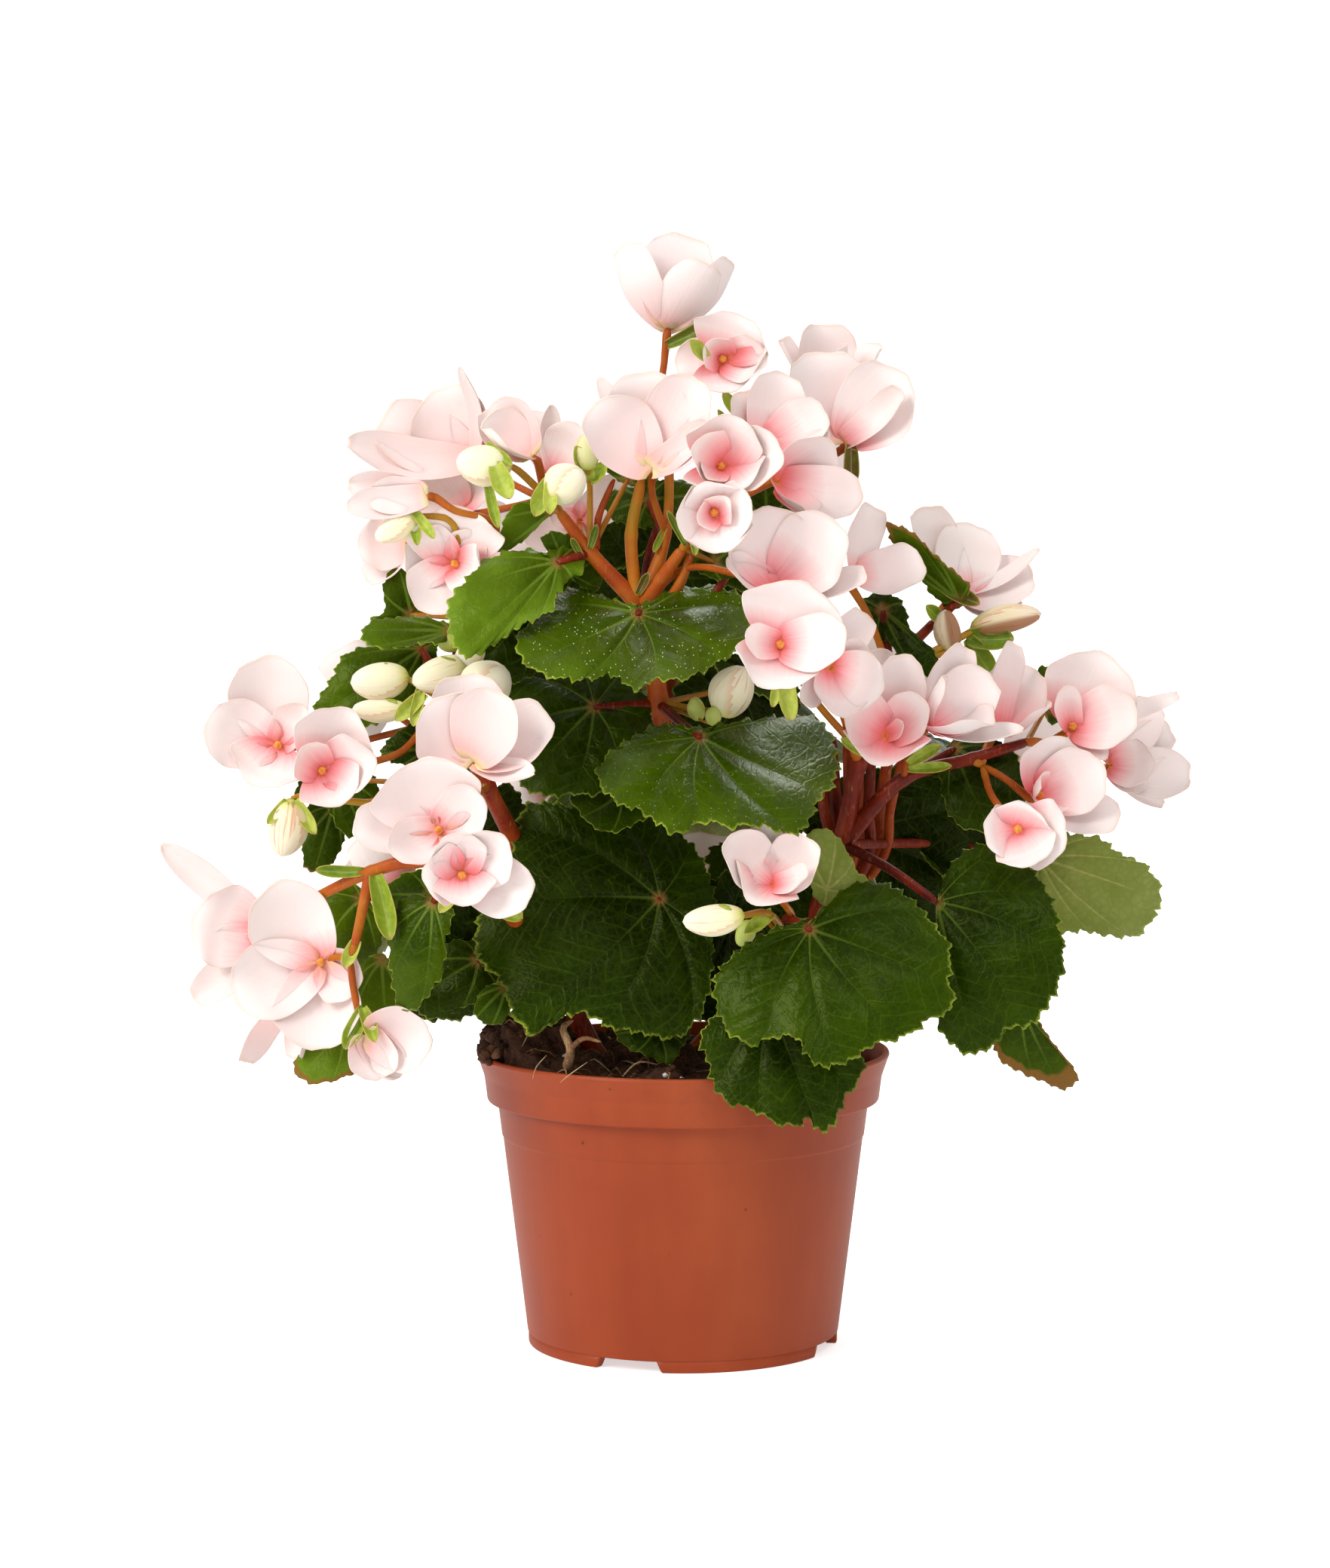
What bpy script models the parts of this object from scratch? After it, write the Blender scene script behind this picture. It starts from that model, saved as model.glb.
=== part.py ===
"""Potted begonia: a plastic pot on four feet, potting soil, branching stems with buds, toothed leaves and
cup-shaped blooms.

Millimetres in the tables, metres in the model. +Z is up, the viewer stands at -Y, and the origin is the
middle of the pot's footprint. A "seen" place is (across, up, toward): across and up are read in the upright
plane through the pot's axis, as the viewer sees them, and toward is how far the point lies before that plane.
"""
import math

import bmesh
import bpy
import numpy as np
from mathutils import Vector
from mathutils.bvhtree import BVHTree

MM = 0.001

# The viewer's eye, which the seen places are read from
EYE = np.array([-5.25, -1100.0, 245.0])

# The pot: a 12 cm nursery pot
RIM_RADIUS = 60.0
RIM_FOOT_RADIUS = 58.2
RIM_HEIGHT = 14.3
POT_HEIGHT = 86.0
WALL_TOP_RADIUS = 54.0
WALL_FOOT_RADIUS = 45.5
WALL = 1.6
EDGE = 0.8
FOOT_HEIGHT = 3.2
FOOT_SUNK = 0.6
FOOT_FLARE = 1.1
FOOT_RADIUS = 43.6
FOOT_WIDTH = 3.4
FOOT_COUNT = 4
FOOT_STEPS = 4
FOOT_SPAN = math.radians(64)
FOOT_FIRST = math.radians(-65.6)
FLOOR = 1.8
DRAIN_COUNT = 4
DRAIN_RADIUS = 4.0
DRAIN_SIDES = 8
DRAIN_RING = 30.0
DRAIN_DEPTH = 8.0
TURN_STEPS = 28

# The soil
SOIL_EDGE_HEIGHT = 80.0
SOIL_MIDDLE_HEIGHT = 84.0
SOIL_RINGS = (0.45, 0.8)

# Between pieces that touch
GAP = 0.35
WELD = 0.02
CLEAR = "_clear"

# Blades and the flared end of a bloom's stalk, which its petals grow from
LEAF_THICKNESS = 0.8
LEAF_FALL = 4.0
PETAL_THICKNESS = 0.8
HEART_RADIUS = 2.8
HEART_BELOW = 3.0
HEART_ABOVE = 1.3
PETAL_SHARE = 0.9
PETAL_BOW = 0.12
PETAL_ROWS = ((0.0, 1), (0.54, 3), (0.93, 2))
WIDEST_AT = 0.62
CLAW_WIDTH = 2.2
TOOTH = 1.8
RING_AT = 0.56
BROAD_LEAF = 38.0
JOINT_SHARE = 0.8

# Each bloom: where its petals meet, the way its cup faces (across, up, toward), then its petals by their
# tips: (across, up, how much nearer than the base, width, cupping)
BLOOMS = {
    "bloom_01": ((-4.5, 295, 2), (0.08, 1, 0.25), [
        (-17, 319.5, 4, 14, 0.5), (1, 321.5, -9, 21, 0.4), (9, 315, 9, 14, 0.5)]),
    "bloom_02": ((11.5, 286.5, 20), (-0.15, 0.1, 1), [
        (17, 299, 3, 22, 0.35), (23.5, 287, 8, 13, 0.45), (15, 277.5, 6, 22, 0.4)]),
    "bloom_03": ((44, 276, 0), (0, 1, 0.3), [
        (39, 297, -2, 19, 0.3), (56, 291.5, 0, 10, 0.3)]),
    "bloom_04": ((46.5, 262.5, 16), (0.15, 0.7, 0.7), [
        (65, 281, 5, 23, 0.3), (62, 268, 8, 13, 0.35), (37, 289, -4, 23, 0.25)]),
    "bloom_05": ((-8, 256.5, 36), (-0.1, 0.45, 0.9), [
        (-27, 270, 8, 24, 0.3), (-12, 283, 0, 22, 0.25), (4, 281, 7, 17, 0.35)]),
    "bloom_06": ((11, 255.5, 52), (0, 0.25, 1), [
        (14, 270, 8, 20, 0.35), (4, 262, 12, 14, 0.4), (28.5, 259, 12, 17, 0.4),
        (14, 248.5, 12, 22, 0.4)]),
    "bloom_07": ((27, 251, 36), (0.7, 0, 0.7), [
        (43.5, 262, 2, 17, 0.35), (51.5, 246.5, 6, 15, 0.3)]),
    "bloom_08": ((9, 242.5, 62), (0, -0.05, 1), [
        (-1.5, 241, 8, 16, 0.35), (6, 249.5, 8, 17, 0.35), (19.5, 242, 8, 17, 0.35),
        (11, 231.5, 8, 18, 0.35)]),
    "bloom_09": ((24, 261, 26), (0.2, 0.6, 0.8), [
        (41.5, 271, 6, 16, 0.35), (28, 283, 0, 15, 0.3)]),
    "bloom_10": ((27.5, 221, 54), (0.1, 0.6, 0.8), [
        (22, 243.5, 2, 23, 0.25), (45, 239, 5, 23, 0.3)]),
    "bloom_11": ((50, 224, 30), (0.6, 0.4, 0.5), [
        (54.5, 245, -2, 13, 0.3), (70, 226, 5, 18, 0.35)]),
    "bloom_12": ((28, 204, 74), (0.1, 0.2, 1), [
        (36, 221.5, 5, 29, 0.3), (47, 206, 12, 15, 0.35), (25, 192, 10, 22, 0.35)]),
    "bloom_13": ((43, 197, 56), (0.4, -0.2, 0.9), [
        (57.5, 191, 7, 17, 0.3), (46, 183.5, 9, 16, 0.3)]),
    "bloom_14": ((59, 177.5, 46), (-0.05, 0.3, 0.95), [
        (65, 201, 6, 14, 0.35), (48, 188, 10, 13, 0.35), (58, 170, 12, 23, 0.4)]),
    "bloom_15": ((71, 180, 46), (0.6, 0.7, 0.4), [
        (82, 204, -4, 12, 0.35), (90, 195, -2, 16, 0.3), (90, 183, 8, 15, 0.35)]),
    "bloom_16": ((90, 178, 22), (0.3, 0.9, 0.3), [
        (101, 198, -4, 16, 0.3), (107, 189, 4, 11, 0.4)]),
    "bloom_17": ((80, 220.5, 8), (0.5, 0.8, 0.2), [
        (69, 244, -3, 12, 0.3), (83, 239, -5, 16, 0.3), (101, 225, 5, 15, 0.4)]),
    "bloom_19": ((113, 180, 18), (0.1, 0.35, 0.95), [
        (123, 201, 4, 25, 0.3), (132, 184, 12, 17, 0.35)]),
    "bloom_20": ((125, 168, -4), (0.9, 0.2, 0.2), [
        (142, 180, -6, 10, 0.3), (147.5, 167, -2, 11, 0.35)]),
    "bloom_21": ((103, 160, 34), (0.5, 0.3, 0.8), [
        (111, 177, 2, 20, 0.3), (123, 167, 6, 18, 0.3), (127, 153, 6, 14, 0.3)]),
    "bloom_22": ((97.5, 150.5, 46), (-0.05, 0.05, 1), [
        (88, 148.5, 6, 13, 0.35), (100, 157.5, 6, 17, 0.35), (112, 147.5, 7, 17, 0.3),
        (104, 140.5, 8, 17, 0.35)]),
    "bloom_23": ((26, 134, 76), (0, 0.45, 0.9), [
        (13, 147, 9, 15, 0.4), (24, 152.5, 2, 17, 0.3), (38.5, 147, 9, 15, 0.35),
        (21, 129, 12, 20, 0.4)]),
    "bloom_24": ((-60, 257, 14), (-0.6, 0.4, 0.7), [
        (-71, 277.5, 0, 22, 0.3), (-90, 268, -2, 17, 0.3), (-95.5, 261, 6, 13, 0.35)]),
    "bloom_26": ((-43.5, 258.5, 34), (-0.55, 0.8, 0.25), [
        (-56, 273.5, -3, 14, 0.7), (-58, 268, 5, 13, 0.7)]),
    "bloom_27": ((-38, 254, 10), (0.2, 0.9, 0.3), [
        (-32, 269, 3, 13, 0.3), (-45, 272, -5, 10, 0.3)]),
    "bloom_28": ((-74, 247, 36), (-1, 0, 0.2), [
        (-95.5, 250, -3, 7, 0.5), (-91, 247, 0, 8, 0.4)]),
    "bloom_29": ((-66, 227.5, 30), (-0.1, 0.05, 1), [
        (-78, 237, 7, 21, 0.3), (-58, 236, 7, 16, 0.3), (-75, 214, 8, 19, 0.3)]),
    "bloom_30": ((-80, 233, 2), (-0.7, 0.1, 0.6), [
        (-94, 233, 4, 14, 0.3), (-86, 243, 0, 12, 0.3)]),
    "bloom_31": ((-30, 240, 0), (0, 0.3, 0.9), [
        (-46, 235, 2, 12, 0.3), (-16, 251, 2, 12, 0.3)]),
    "bloom_32": ((-117.5, 175, 12), (-0.1, 0.05, 1), [
        (-121, 201, 7, 22, 0.3), (-139, 180, 7, 18, 0.3), (-125, 162, 8, 24, 0.3)]),
    "bloom_33": ((-105, 167, 32), (0.1, 0.1, 1), [
        (-98, 185, 8, 22, 0.35), (-111, 174, 9, 12, 0.35), (-89.5, 171, 9, 17, 0.35),
        (-99, 157, 9, 20, 0.35)]),
    "bloom_34": ((-61, 170.5, 60), (0, 0.8, 0.5), [
        (-74, 188, 3, 17, 0.3), (-52, 190, 8, 16, 0.35), (-38, 184, 2, 18, 0.3),
        (-66, 192, -5, 18, 0.25)]),
    "bloom_35": ((-71, 150, 66), (-0.05, 0.2, 1), [
        (-76, 171, 6, 29, 0.3), (-59, 160, 8, 15, 0.3), (-96, 152, 4, 14, 0.3), (-85, 144, 9, 13, 0.3)]),
    "bloom_36": ((-64.5, 137, 80), (0.1, 0, 1), [
        (-75, 137, 7, 16, 0.35), (-67, 149, 7, 15, 0.35), (-52, 147, 7, 16, 0.3), (-44, 132, 5, 16, 0.3),
        (-63, 127, 8, 17, 0.3)]),
    "bloom_37": ((-123, 119, 12), (-0.8, 0.1, 0.3), [
        (-151, 145, -2, 12, 0.4), (-143, 126, 6, 17, 0.35)]),
    "bloom_38": ((-105.5, 111.5, 40), (-0.15, 0.05, 1), [
        (-121, 133.5, 7, 23, 0.3), (-131, 101, 7, 21, 0.3), (-107, 86, 9, 24, 0.3),
        (-95, 104, 7, 15, 0.3)]),
    "bloom_39": ((-115, 100, 22), (-0.2, -0.9, 0.2), [
        (-129, 82, -2, 8, 0.3), (-112, 82.5, 0, 10, 0.3)]),
    "bloom_40": ((-92.5, 91.5, 50), (0.7, -0.5, 0.5), [
        (-74, 89, 3, 16, 0.4), (-88, 77, 4, 11, 0.4)]),
    "bloom_41": ((-64, 243, 10), (-0.5, 0.6, 0.6), [
        (-77, 255.5, 2, 15, 0.3), (-60, 255, 0, 13, 0.3)]),
}

# The blooms behind repeat one in front: (bloom, degrees turned about the upright, where its petals meet)
BACK_BLOOMS = {
    "bloom_51": ("bloom_12", 180, (-8, 206, -74)),
    "bloom_52": ("bloom_35", 205, (-58, 226, -52)),
    "bloom_53": ("bloom_05", 170, (34, 246, -44)),
    "bloom_54": ("bloom_32", 140, (68, 204, -44)),
    "bloom_55": ("bloom_38", 150, (96, 166, -58)),
    "bloom_57": ("bloom_29", 215, (-92, 190, -52)),
    "bloom_58": ("bloom_22", 175, (-40, 166, -80)),
    "bloom_59": ("bloom_21", 165, (30, 158, -78)),
    "bloom_60": ("bloom_33", 210, (-96, 140, -60)),
    "bloom_61": ("bloom_34", 180, (4, 128, -74)),
    "bloom_62": ("bloom_36", 160, (70, 140, -76)),
}

# Each leaf of the front: where its stalk joins it (across, up, toward), how much nearer the blade comes for
# each millimetre right and up, how far its margin falls back, then its outline as seen, point by point
LEAVES = {
    "leaf_01": ((-13, 213, 42), (0, -1.5), 2, [
        (-12, 216), (-5, 219), (4, 221), (12, 220.5), (18, 217), (20.5, 211), (16, 203), (8, 197.5),
        (0, 194), (-8, 194), (-14, 191), (-20, 195), (-30, 194), (-40, 195), (-46, 199), (-49, 204),
        (-44, 212), (-38, 219), (-29, 220), (-20, 217)]),
    "leaf_02": ((-36.5, 228, 38), (-0.15, -0.7), 3, [
        (-38, 231), (-48, 231.5), (-57, 229), (-62, 224), (-68, 217), (-68, 209), (-64, 200.5), (-55, 204),
        (-49, 208.5), (-42, 212), (-38, 214), (-35, 221), (-29, 226), (-29, 231.5), (-34, 234)]),
    "leaf_05": ((5, 177, 52), (0, -1.45), 4, [
        (4, 180), (-3, 181), (-10, 180), (-17, 176), (-23, 171), (-25, 165), (-19, 158), (-12, 155.5),
        (-6, 151), (-1.5, 149), (6, 152.5), (14, 151), (22, 151.5), (30, 149), (36, 151), (39, 158),
        (44, 164), (45, 171), (42, 180), (36, 183.5), (26, 183), (14, 181.5)]),
    "leaf_06": ((-26, 186, 26), (0, -0.7), 3, [
        (-50, 194), (-40, 196), (-28, 194), (-17, 190), (-9, 184), (-11, 176), (-18, 170), (-24, 161),
        (-32, 160.5), (-40, 160), (-47, 163), (-50, 174)]),
    "leaf_08": ((-7, 130, 38), (0, -0.4), 3, [
        (-45, 158), (-30, 157), (-15, 155), (-3, 151), (5, 143), (9, 132), (9, 118), (8, 104), (4, 94),
        (-3, 89), (-12, 90.5), (-21, 92), (-30, 96.5), (-38, 93.5), (-44, 90), (-50, 96), (-53, 105),
        (-60, 113), (-60, 124), (-54, 136), (-49, 148)]),
    "leaf_09": ((37, 121, 66), (0, -0.45), 3, [
        (37, 124), (28, 122), (19, 117), (12, 111), (9, 106), (9.5, 99), (13, 91), (20, 87), (27, 89.5),
        (33, 89), (36, 84), (41, 80.5), (49, 82.5), (56, 87), (65, 89.5), (73, 95), (79, 98), (78, 107),
        (78, 116), (73, 123), (66, 130.5), (58, 135), (49, 134)]),
    "leaf_10": ((74, 129, 50), (-0.1, -0.3), 3, [
        (76, 134), (79, 141), (86, 146), (95, 145), (102, 139), (108, 129), (111, 118), (111, 109),
        (107, 99), (101, 92.5), (95, 92), (91, 87), (84, 84), (79, 87), (75, 92), (76, 101), (79, 110),
        (76, 120)]),
    "leaf_11": ((104, 142, 14), (-0.2, 0.3), 3, [
        (104, 146), (112, 149), (121, 148), (128, 143), (135, 140), (139.5, 132), (137, 124), (132, 119),
        (125, 120), (117, 122.5), (109, 123), (102, 131)]),
    "leaf_12": ((99, 98, 14), (-0.1, 0.3), 1, [
        (98, 100), (105, 96), (111, 88), (117, 79), (112, 74), (106, 76), (99, 78), (93, 82.5), (91, 88),
        (93, 96)]),
    "leaf_13": ((26, 98, 61), (0, -0.2), 1, [
        (14, 99), (5, 90), (7, 83), (9, 75), (13, 70), (20, 68), (26, 64.5), (33, 63), (37, 65), (41, 61),
        (45, 65), (48, 72), (53, 79), (51, 86), (42, 94), (32, 100)]),
    "leaf_15": ((-73, 129, 62), (0.5, -0.1), 2, [
        (-73, 131), (-80, 131), (-85, 126), (-86, 117), (-85, 106), (-83, 98), (-78, 97.5), (-73, 104),
        (-70, 109), (-69, 118), (-67, 127)]),
    "leaf_16": ((-94, 130, 22), (0, 0.2), 2, [
        (-107, 131), (-100, 134), (-94, 133.5), (-89, 124), (-88, 117), (-93, 109), (-99, 110), (-103, 120)]),
    "leaf_18": ((-60, 112, 18), (0, -0.2), 2, [
        (-74, 114), (-79, 104), (-77, 96), (-70, 95), (-62, 99), (-55, 94), (-51, 98), (-52, 108),
        (-58, 116), (-66, 118)]),
    "leaf_22": ((-76, 203, 14), (0, -0.3), 2, [
        (-71, 206), (-80, 205), (-90, 202), (-99, 199), (-102, 193), (-107, 186), (-102, 182), (-93, 181),
        (-84, 184), (-75, 192)]),
    "leaf_25": ((80, 217, 20), (0.2, 0.6), 1, [
        (59, 239), (66, 237), (72, 231), (78, 226), (83, 221), (80, 214.5), (74, 217), (68, 224), (62, 231)]),
    "leaf_27": ((58, 214, 22), (0.2, -0.3), 2, [
        (52, 217), (60, 219), (66, 216), (69, 208), (75, 203), (77, 195), (70, 195), (61, 203), (55, 209)]),
    "leaf_28": ((79, 174, 22), (0, -0.5), 2, [
        (79, 177), (87, 177.5), (95, 174), (100, 166), (99, 156), (91, 150), (81, 151), (76, 158),
        (75, 168)]),
    "leaf_30": ((-10, 246, 18), (0, -0.6), 2, [
        (-23, 247), (-15, 250), (-6, 252), (2, 251), (4, 245), (-4, 239), (-13, 238), (-21, 241)]),
}

# A leaf seen flat, (side, forward) from where its stalk joins it, for the leaves behind
LEAF_PLAN = [
    (1, -3), (8, -11), (19, -14), (29, -8), (33, 4), (29, 17), (20, 28), (8, 37), (-2, 38), (-13, 32),
    (-22, 24), (-27, 12), (-27, 0), (-20, -10), (-9, -11)]

# The leaves behind: where the stalk joins (seen), heading of the tip in degrees from +X towards +Y (away
# from the viewer is 90), how far the tip points down in degrees, size, and roll in degrees
BACK_LEAVES = {
    "leaf_51": ((-4, 194, -50), 92, 28, 1.0, 6),
    "leaf_52": ((24, 184, -52), 66, 24, 0.9, -8),
    "leaf_53": ((-56, 174, -46), 156, 28, 0.85, 8),
    "leaf_54": ((-6, 164, -60), 88, 34, 1.0, -5),
    "leaf_55": ((42, 122, -64), 62, 46, 1.0, 6),
    "leaf_56": ((-40, 122, -64), 110, 44, 1.0, -6),
    "leaf_58": ((76, 136, -14), 6, 44, 0.95, 10),
    "leaf_59": ((-74, 134, -18), 172, 40, 0.9, -8),
    "leaf_60": ((72, 178, -24), 14, 30, 0.8, -10),
    "leaf_62": ((16, 214, -44), 62, 24, 0.7, 0),
}

# Places that the stems pass through, with the stem's radius there
FORKS = {
    "crown": (0, 73, 0, 4.5),
    "foot_middle": (-4, 79, 6, 3.4),
    "foot_right": (21, 79, 5, 3.0),
    "foot_left": (-21, 79, 8, 3.0),
    "foot_back": (-2, 79, -16, 3.0),
    "middle_low": (-6, 120, 8, 3.2),
    "middle_mid": (-7, 158, 12, 3.0),
    "middle_high": (-7, 187, 18, 2.9),
    "middle_top": (-12, 215, 26, 2.6),
    "fan_left": (-27, 231, 29, 2.0),
    "fan_far_left": (-36, 243, 31, 1.5),
    "fan_centre": (-5, 236, 24, 1.5),
    "fan_high": (-4, 262, 12, 1.3),
    "fan_right": (0, 232, 34, 1.5),
    "right_low": (33, 112, 16, 2.8),
    "right_mid": (46, 146, 26, 2.7),
    "right_high": (51, 170, 30, 2.4),
    "right_top": (60, 196, 24, 1.8),
    "right_tip": (73, 211, 14, 1.3),
    "right_arm": (64, 165, 30, 2.0),
    "right_hand": (84, 171, 28, 1.7),
    "right_end": (100, 176, 22, 1.4),
    "left_low": (-36, 108, 14, 2.8),
    "left_mid": (-47, 142, 20, 2.7),
    "left_high": (-57, 163, 32, 2.3),
    "left_top": (-66, 186, 22, 2.0),
    "left_tip": (-64, 212, 18, 1.6),
    "arch_start": (-62, 138, 58, 2.0),
    "arch_top": (-78, 141, 58, 1.9),
    "arch_fork": (-91, 138, 54, 1.7),
    "arch_end": (-108, 130, 42, 1.4),
    "arch_low": (-96, 116, 48, 1.2),
    "back_low": (-2, 120, -30, 3.0),
    "back_mid": (-4, 165, -40, 2.7),
    "back_high": (-4, 206, -36, 2.2),
    "back_left_mid": (-42, 128, -42, 2.5),
    "back_left_high": (-62, 168, -44, 2.0),
    "back_right_mid": (40, 126, -40, 2.5),
    "back_right_high": (58, 164, -42, 2.0),
}

# The stems between those places, by the forks that each one links
STEMS = [
    ("crown", "foot_middle", "middle_low", "middle_mid", "middle_high", "middle_top"),
    ("middle_top", "fan_left", "fan_far_left"),
    ("middle_top", "fan_centre", "fan_high"),
    ("middle_top", "fan_right"),
    ("crown", "foot_right", "right_low", "right_mid", "right_high", "right_top", "right_tip"),
    ("right_mid", "right_arm", "right_hand", "right_end"),
    ("crown", "foot_left", "left_low", "left_mid", "left_high", "left_top", "left_tip"),
    ("left_low", "arch_start", "arch_top", "arch_fork", "arch_end"),
    ("arch_fork", "arch_low"),
    ("crown", "foot_back", "back_low", "back_mid", "back_high"),
    ("foot_back", "back_left_mid", "back_left_high"),
    ("foot_back", "back_right_mid", "back_right_high"),
]

# The sprays: the fork that each one leaves, and its blooms with the places that their stalks pass (seen)
SPRAYS = {
    "spray_top": ("fan_high", {
        "bloom_01": [(-5.5, 284, 3)], "bloom_02": [(3, 276, 14)], "bloom_03": [(20, 262, 2), (34, 268, -2)],
        "bloom_04": [(20, 256, 10), (38, 257, 12)]}),
    "spray_centre": ("fan_centre", {"bloom_05": [(-9, 248, 29)]}),
    "spray_right_of_centre": ("fan_right", {
        "bloom_06": [(5, 246, 42)], "bloom_07": [(14, 245, 34)], "bloom_08": [(5, 238, 50)],
        "bloom_09": [(12, 250, 26)]}),
    "spray_front_right": ("middle_top", {"bloom_10": [(0, 226, 30), (14, 225, 46)]}),
    "spray_right_top": ("right_top", {"bloom_11": [(54, 212, 25)]}),
    "spray_right_front": ("right_high", {
        "bloom_12": [(40, 186, 50), (32, 197, 64)], "bloom_13": [(45, 188, 46)],
        "bloom_14": [(56, 173, 38)]}),
    "spray_right_arm": ("right_arm", {"bloom_15": [(66, 173, 38)]}),
    "spray_right_hand": ("right_hand", {
        "bloom_16": [(88, 174, 24)], "bloom_21": [(94, 165, 32)], "bloom_22": [(90, 160, 36)]}),
    "spray_right_tip": ("right_tip", {"bloom_17": [(76, 216, 10)]}),
    "spray_right_end": ("right_end", {"bloom_19": [], "bloom_20": [(112, 170, 4)]}),
    "spray_low_centre": ("right_low", {"bloom_23": [(32, 124, 46), (30, 128, 64)]}),
    "spray_left_top": ("fan_far_left", {
        "bloom_24": [(-48, 250, 22)], "bloom_26": [], "bloom_27": [(-38, 248, 20)],
        "bloom_41": [(-50, 244, 22)]}),
    "spray_left_tip": ("left_tip", {
        "bloom_28": [(-54, 238, 32), (-66, 243, 35)], "bloom_29": [], "bloom_30": [(-72, 226, 10)]}),
    "spray_fan_left": ("fan_left", {"bloom_31": [(-29, 237, 12)]}),
    "spray_left": ("left_top", {
        "bloom_32": [(-86, 178, 14), (-104, 174, 9)], "bloom_33": [(-84, 172, 26)]}),
    "spray_left_front": ("left_high", {"bloom_34": [(-60, 166, 50)], "bloom_35": [(-65, 154, 52)]}),
    "spray_arch_start": ("arch_start", {"bloom_36": [(-63, 137, 68)]}),
    "spray_arch_end": ("arch_end", {"bloom_37": [(-116, 124, 26)], "bloom_39": [(-113, 112, 28)]}),
    "spray_arch_low": ("arch_low", {"bloom_38": [(-101, 113, 43)], "bloom_40": [(-96, 102, 47)]}),
    "spray_back_high": ("back_high", {
        "bloom_51": [(-6, 206, -60)], "bloom_52": [(-36, 216, -44)], "bloom_53": [(18, 228, -38)]}),
    "spray_back_right": ("back_right_high", {
        "bloom_54": [(62, 188, -44)], "bloom_55": [(80, 166, -50)], "bloom_59": [(44, 158, -64)]}),
    "spray_back_left": ("back_left_high", {"bloom_57": [(-78, 180, -48)], "bloom_58": [(-50, 168, -66)]}),
    "spray_back_left_low": ("back_left_mid", {"bloom_60": [(-72, 136, -50)]}),
    "spray_back_low": ("back_low", {"bloom_61": [(0, 126, -56)]}),
    "spray_back_right_low": ("back_right_mid", {"bloom_62": [(56, 134, -56)]}),
}
SPLIT_REACH = 10.0
SPLIT_SHARE = 0.45

# Each leaf's stalk: the fork it leaves and any places that it passes (seen)
LEAF_STALKS = {
    "leaf_01": ("middle_top", []), "leaf_02": ("fan_left", []), "leaf_05": ("middle_high", [(0, 181, 36)]),
    "leaf_06": ("middle_high", []), "leaf_08": ("middle_low", []),
    "leaf_09": ("right_low", [(30, 124, 44)]), "leaf_10": ("right_mid", [(60, 139, 40)]),
    "leaf_11": ("right_mid", [(76, 146, 16)]), "leaf_12": ("right_low", [(66, 114, 14)]),
    "leaf_13": ("right_low", [(29, 105, 42)]), "leaf_15": ("arch_start", [(-69, 134, 60)]),
    "leaf_16": ("left_mid", [(-74, 134, 28)]), "leaf_18": ("left_low", []), "leaf_22": ("left_top", []),
    "leaf_25": ("right_tip", []), "leaf_27": ("right_top", []), "leaf_28": ("right_arm", []),
    "leaf_30": ("fan_centre", []), "leaf_51": ("back_high", []), "leaf_52": ("back_mid", []),
    "leaf_53": ("back_mid", []), "leaf_54": ("back_mid", []), "leaf_55": ("back_right_mid", []),
    "leaf_56": ("back_left_mid", []), "leaf_58": ("back_right_mid", []), "leaf_59": ("back_left_mid", []),
    "leaf_60": ("back_right_high", []), "leaf_62": ("back_high", []),
}
BLOOM_STALK_RADIUS = 1.0
ROOT_SHARE = 0.2
LEAF_STALK_RADIUS = 1.3

# Buds: middle (seen), half length, half width, the way they point (across, up, toward), the fork they hang
# from and any place the stalk passes
BUDS = {
    "bud_01": ((-57.5, 256.5, 42), 8, 5.5, (-1, 0.1, 0.2), "fan_far_left", [(-47, 254, 38)]),
    "bud_02": ((-34, 250.5, 44), 6.5, 5.5, (0.6, 0.5, 0.2), "fan_far_left", []),
    "bud_03": ((-83, 238.5, 36), 7, 3.5, (-0.8, -0.5, 0.2), "left_tip", [(-66, 238, 32)]),
    "bud_04": ((-88, 194, 28), 8.5, 5.2, (-1, -0.1, 0.2), "left_top", []),
    "bud_05": ((-88, 185.5, 28), 8, 3.4, (-1, 0, 0.1), "left_top", []),
    "bud_06": ((-70.5, 196, 30), 8.5, 4.8, (-1, -0.35, 0.2), "left_top", []),
    "bud_07": ((-57, 192, 40), 8, 7, (0.5, 0.6, 0.2), "left_top", []),
    "bud_08": ((-115.5, 151, 26), 8.5, 5.5, (-0.15, -1, 0.1), "left_high", [(-84, 158, 28), (-110, 160, 24)]),
    "bud_09": ((14.5, 190, 40), 6.5, 5.2, (0.5, 0.8, 0.3), "middle_high", []),
    "bud_11": ((9, 124.3, 80), 8.6, 4.2, (-1, -0.1, 0.1), "right_low", [(26, 125, 60)]),
    "bud_13": ((94, 211, 16), 10, 4.2, (1, 0.2, 0.1), "right_top", [(80, 206, 18)]),
}


def seen(across, up, toward):
    """World place, in mm, of a point that the viewer sees at (across, up) on the axis plane."""
    nearness = 1 - toward / -EYE[1]
    x, z = EYE[0] + (across - EYE[0]) * nearness, EYE[2] + (up - EYE[2]) * nearness
    return np.array([x, -toward, z])


def unit(v):
    return np.asarray(v, float) / np.linalg.norm(v)


def view_direction(across, up, toward):
    return unit((across, -toward, up))


def turned(points, degrees):
    """Points turned about the upright axis through the origin."""
    c, s = math.cos(math.radians(degrees)), math.sin(math.radians(degrees))
    return np.asarray(points) @ np.array([[c, s, 0], [-s, c, 0], [0, 0, 1]])


# Meshes and objects

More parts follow.
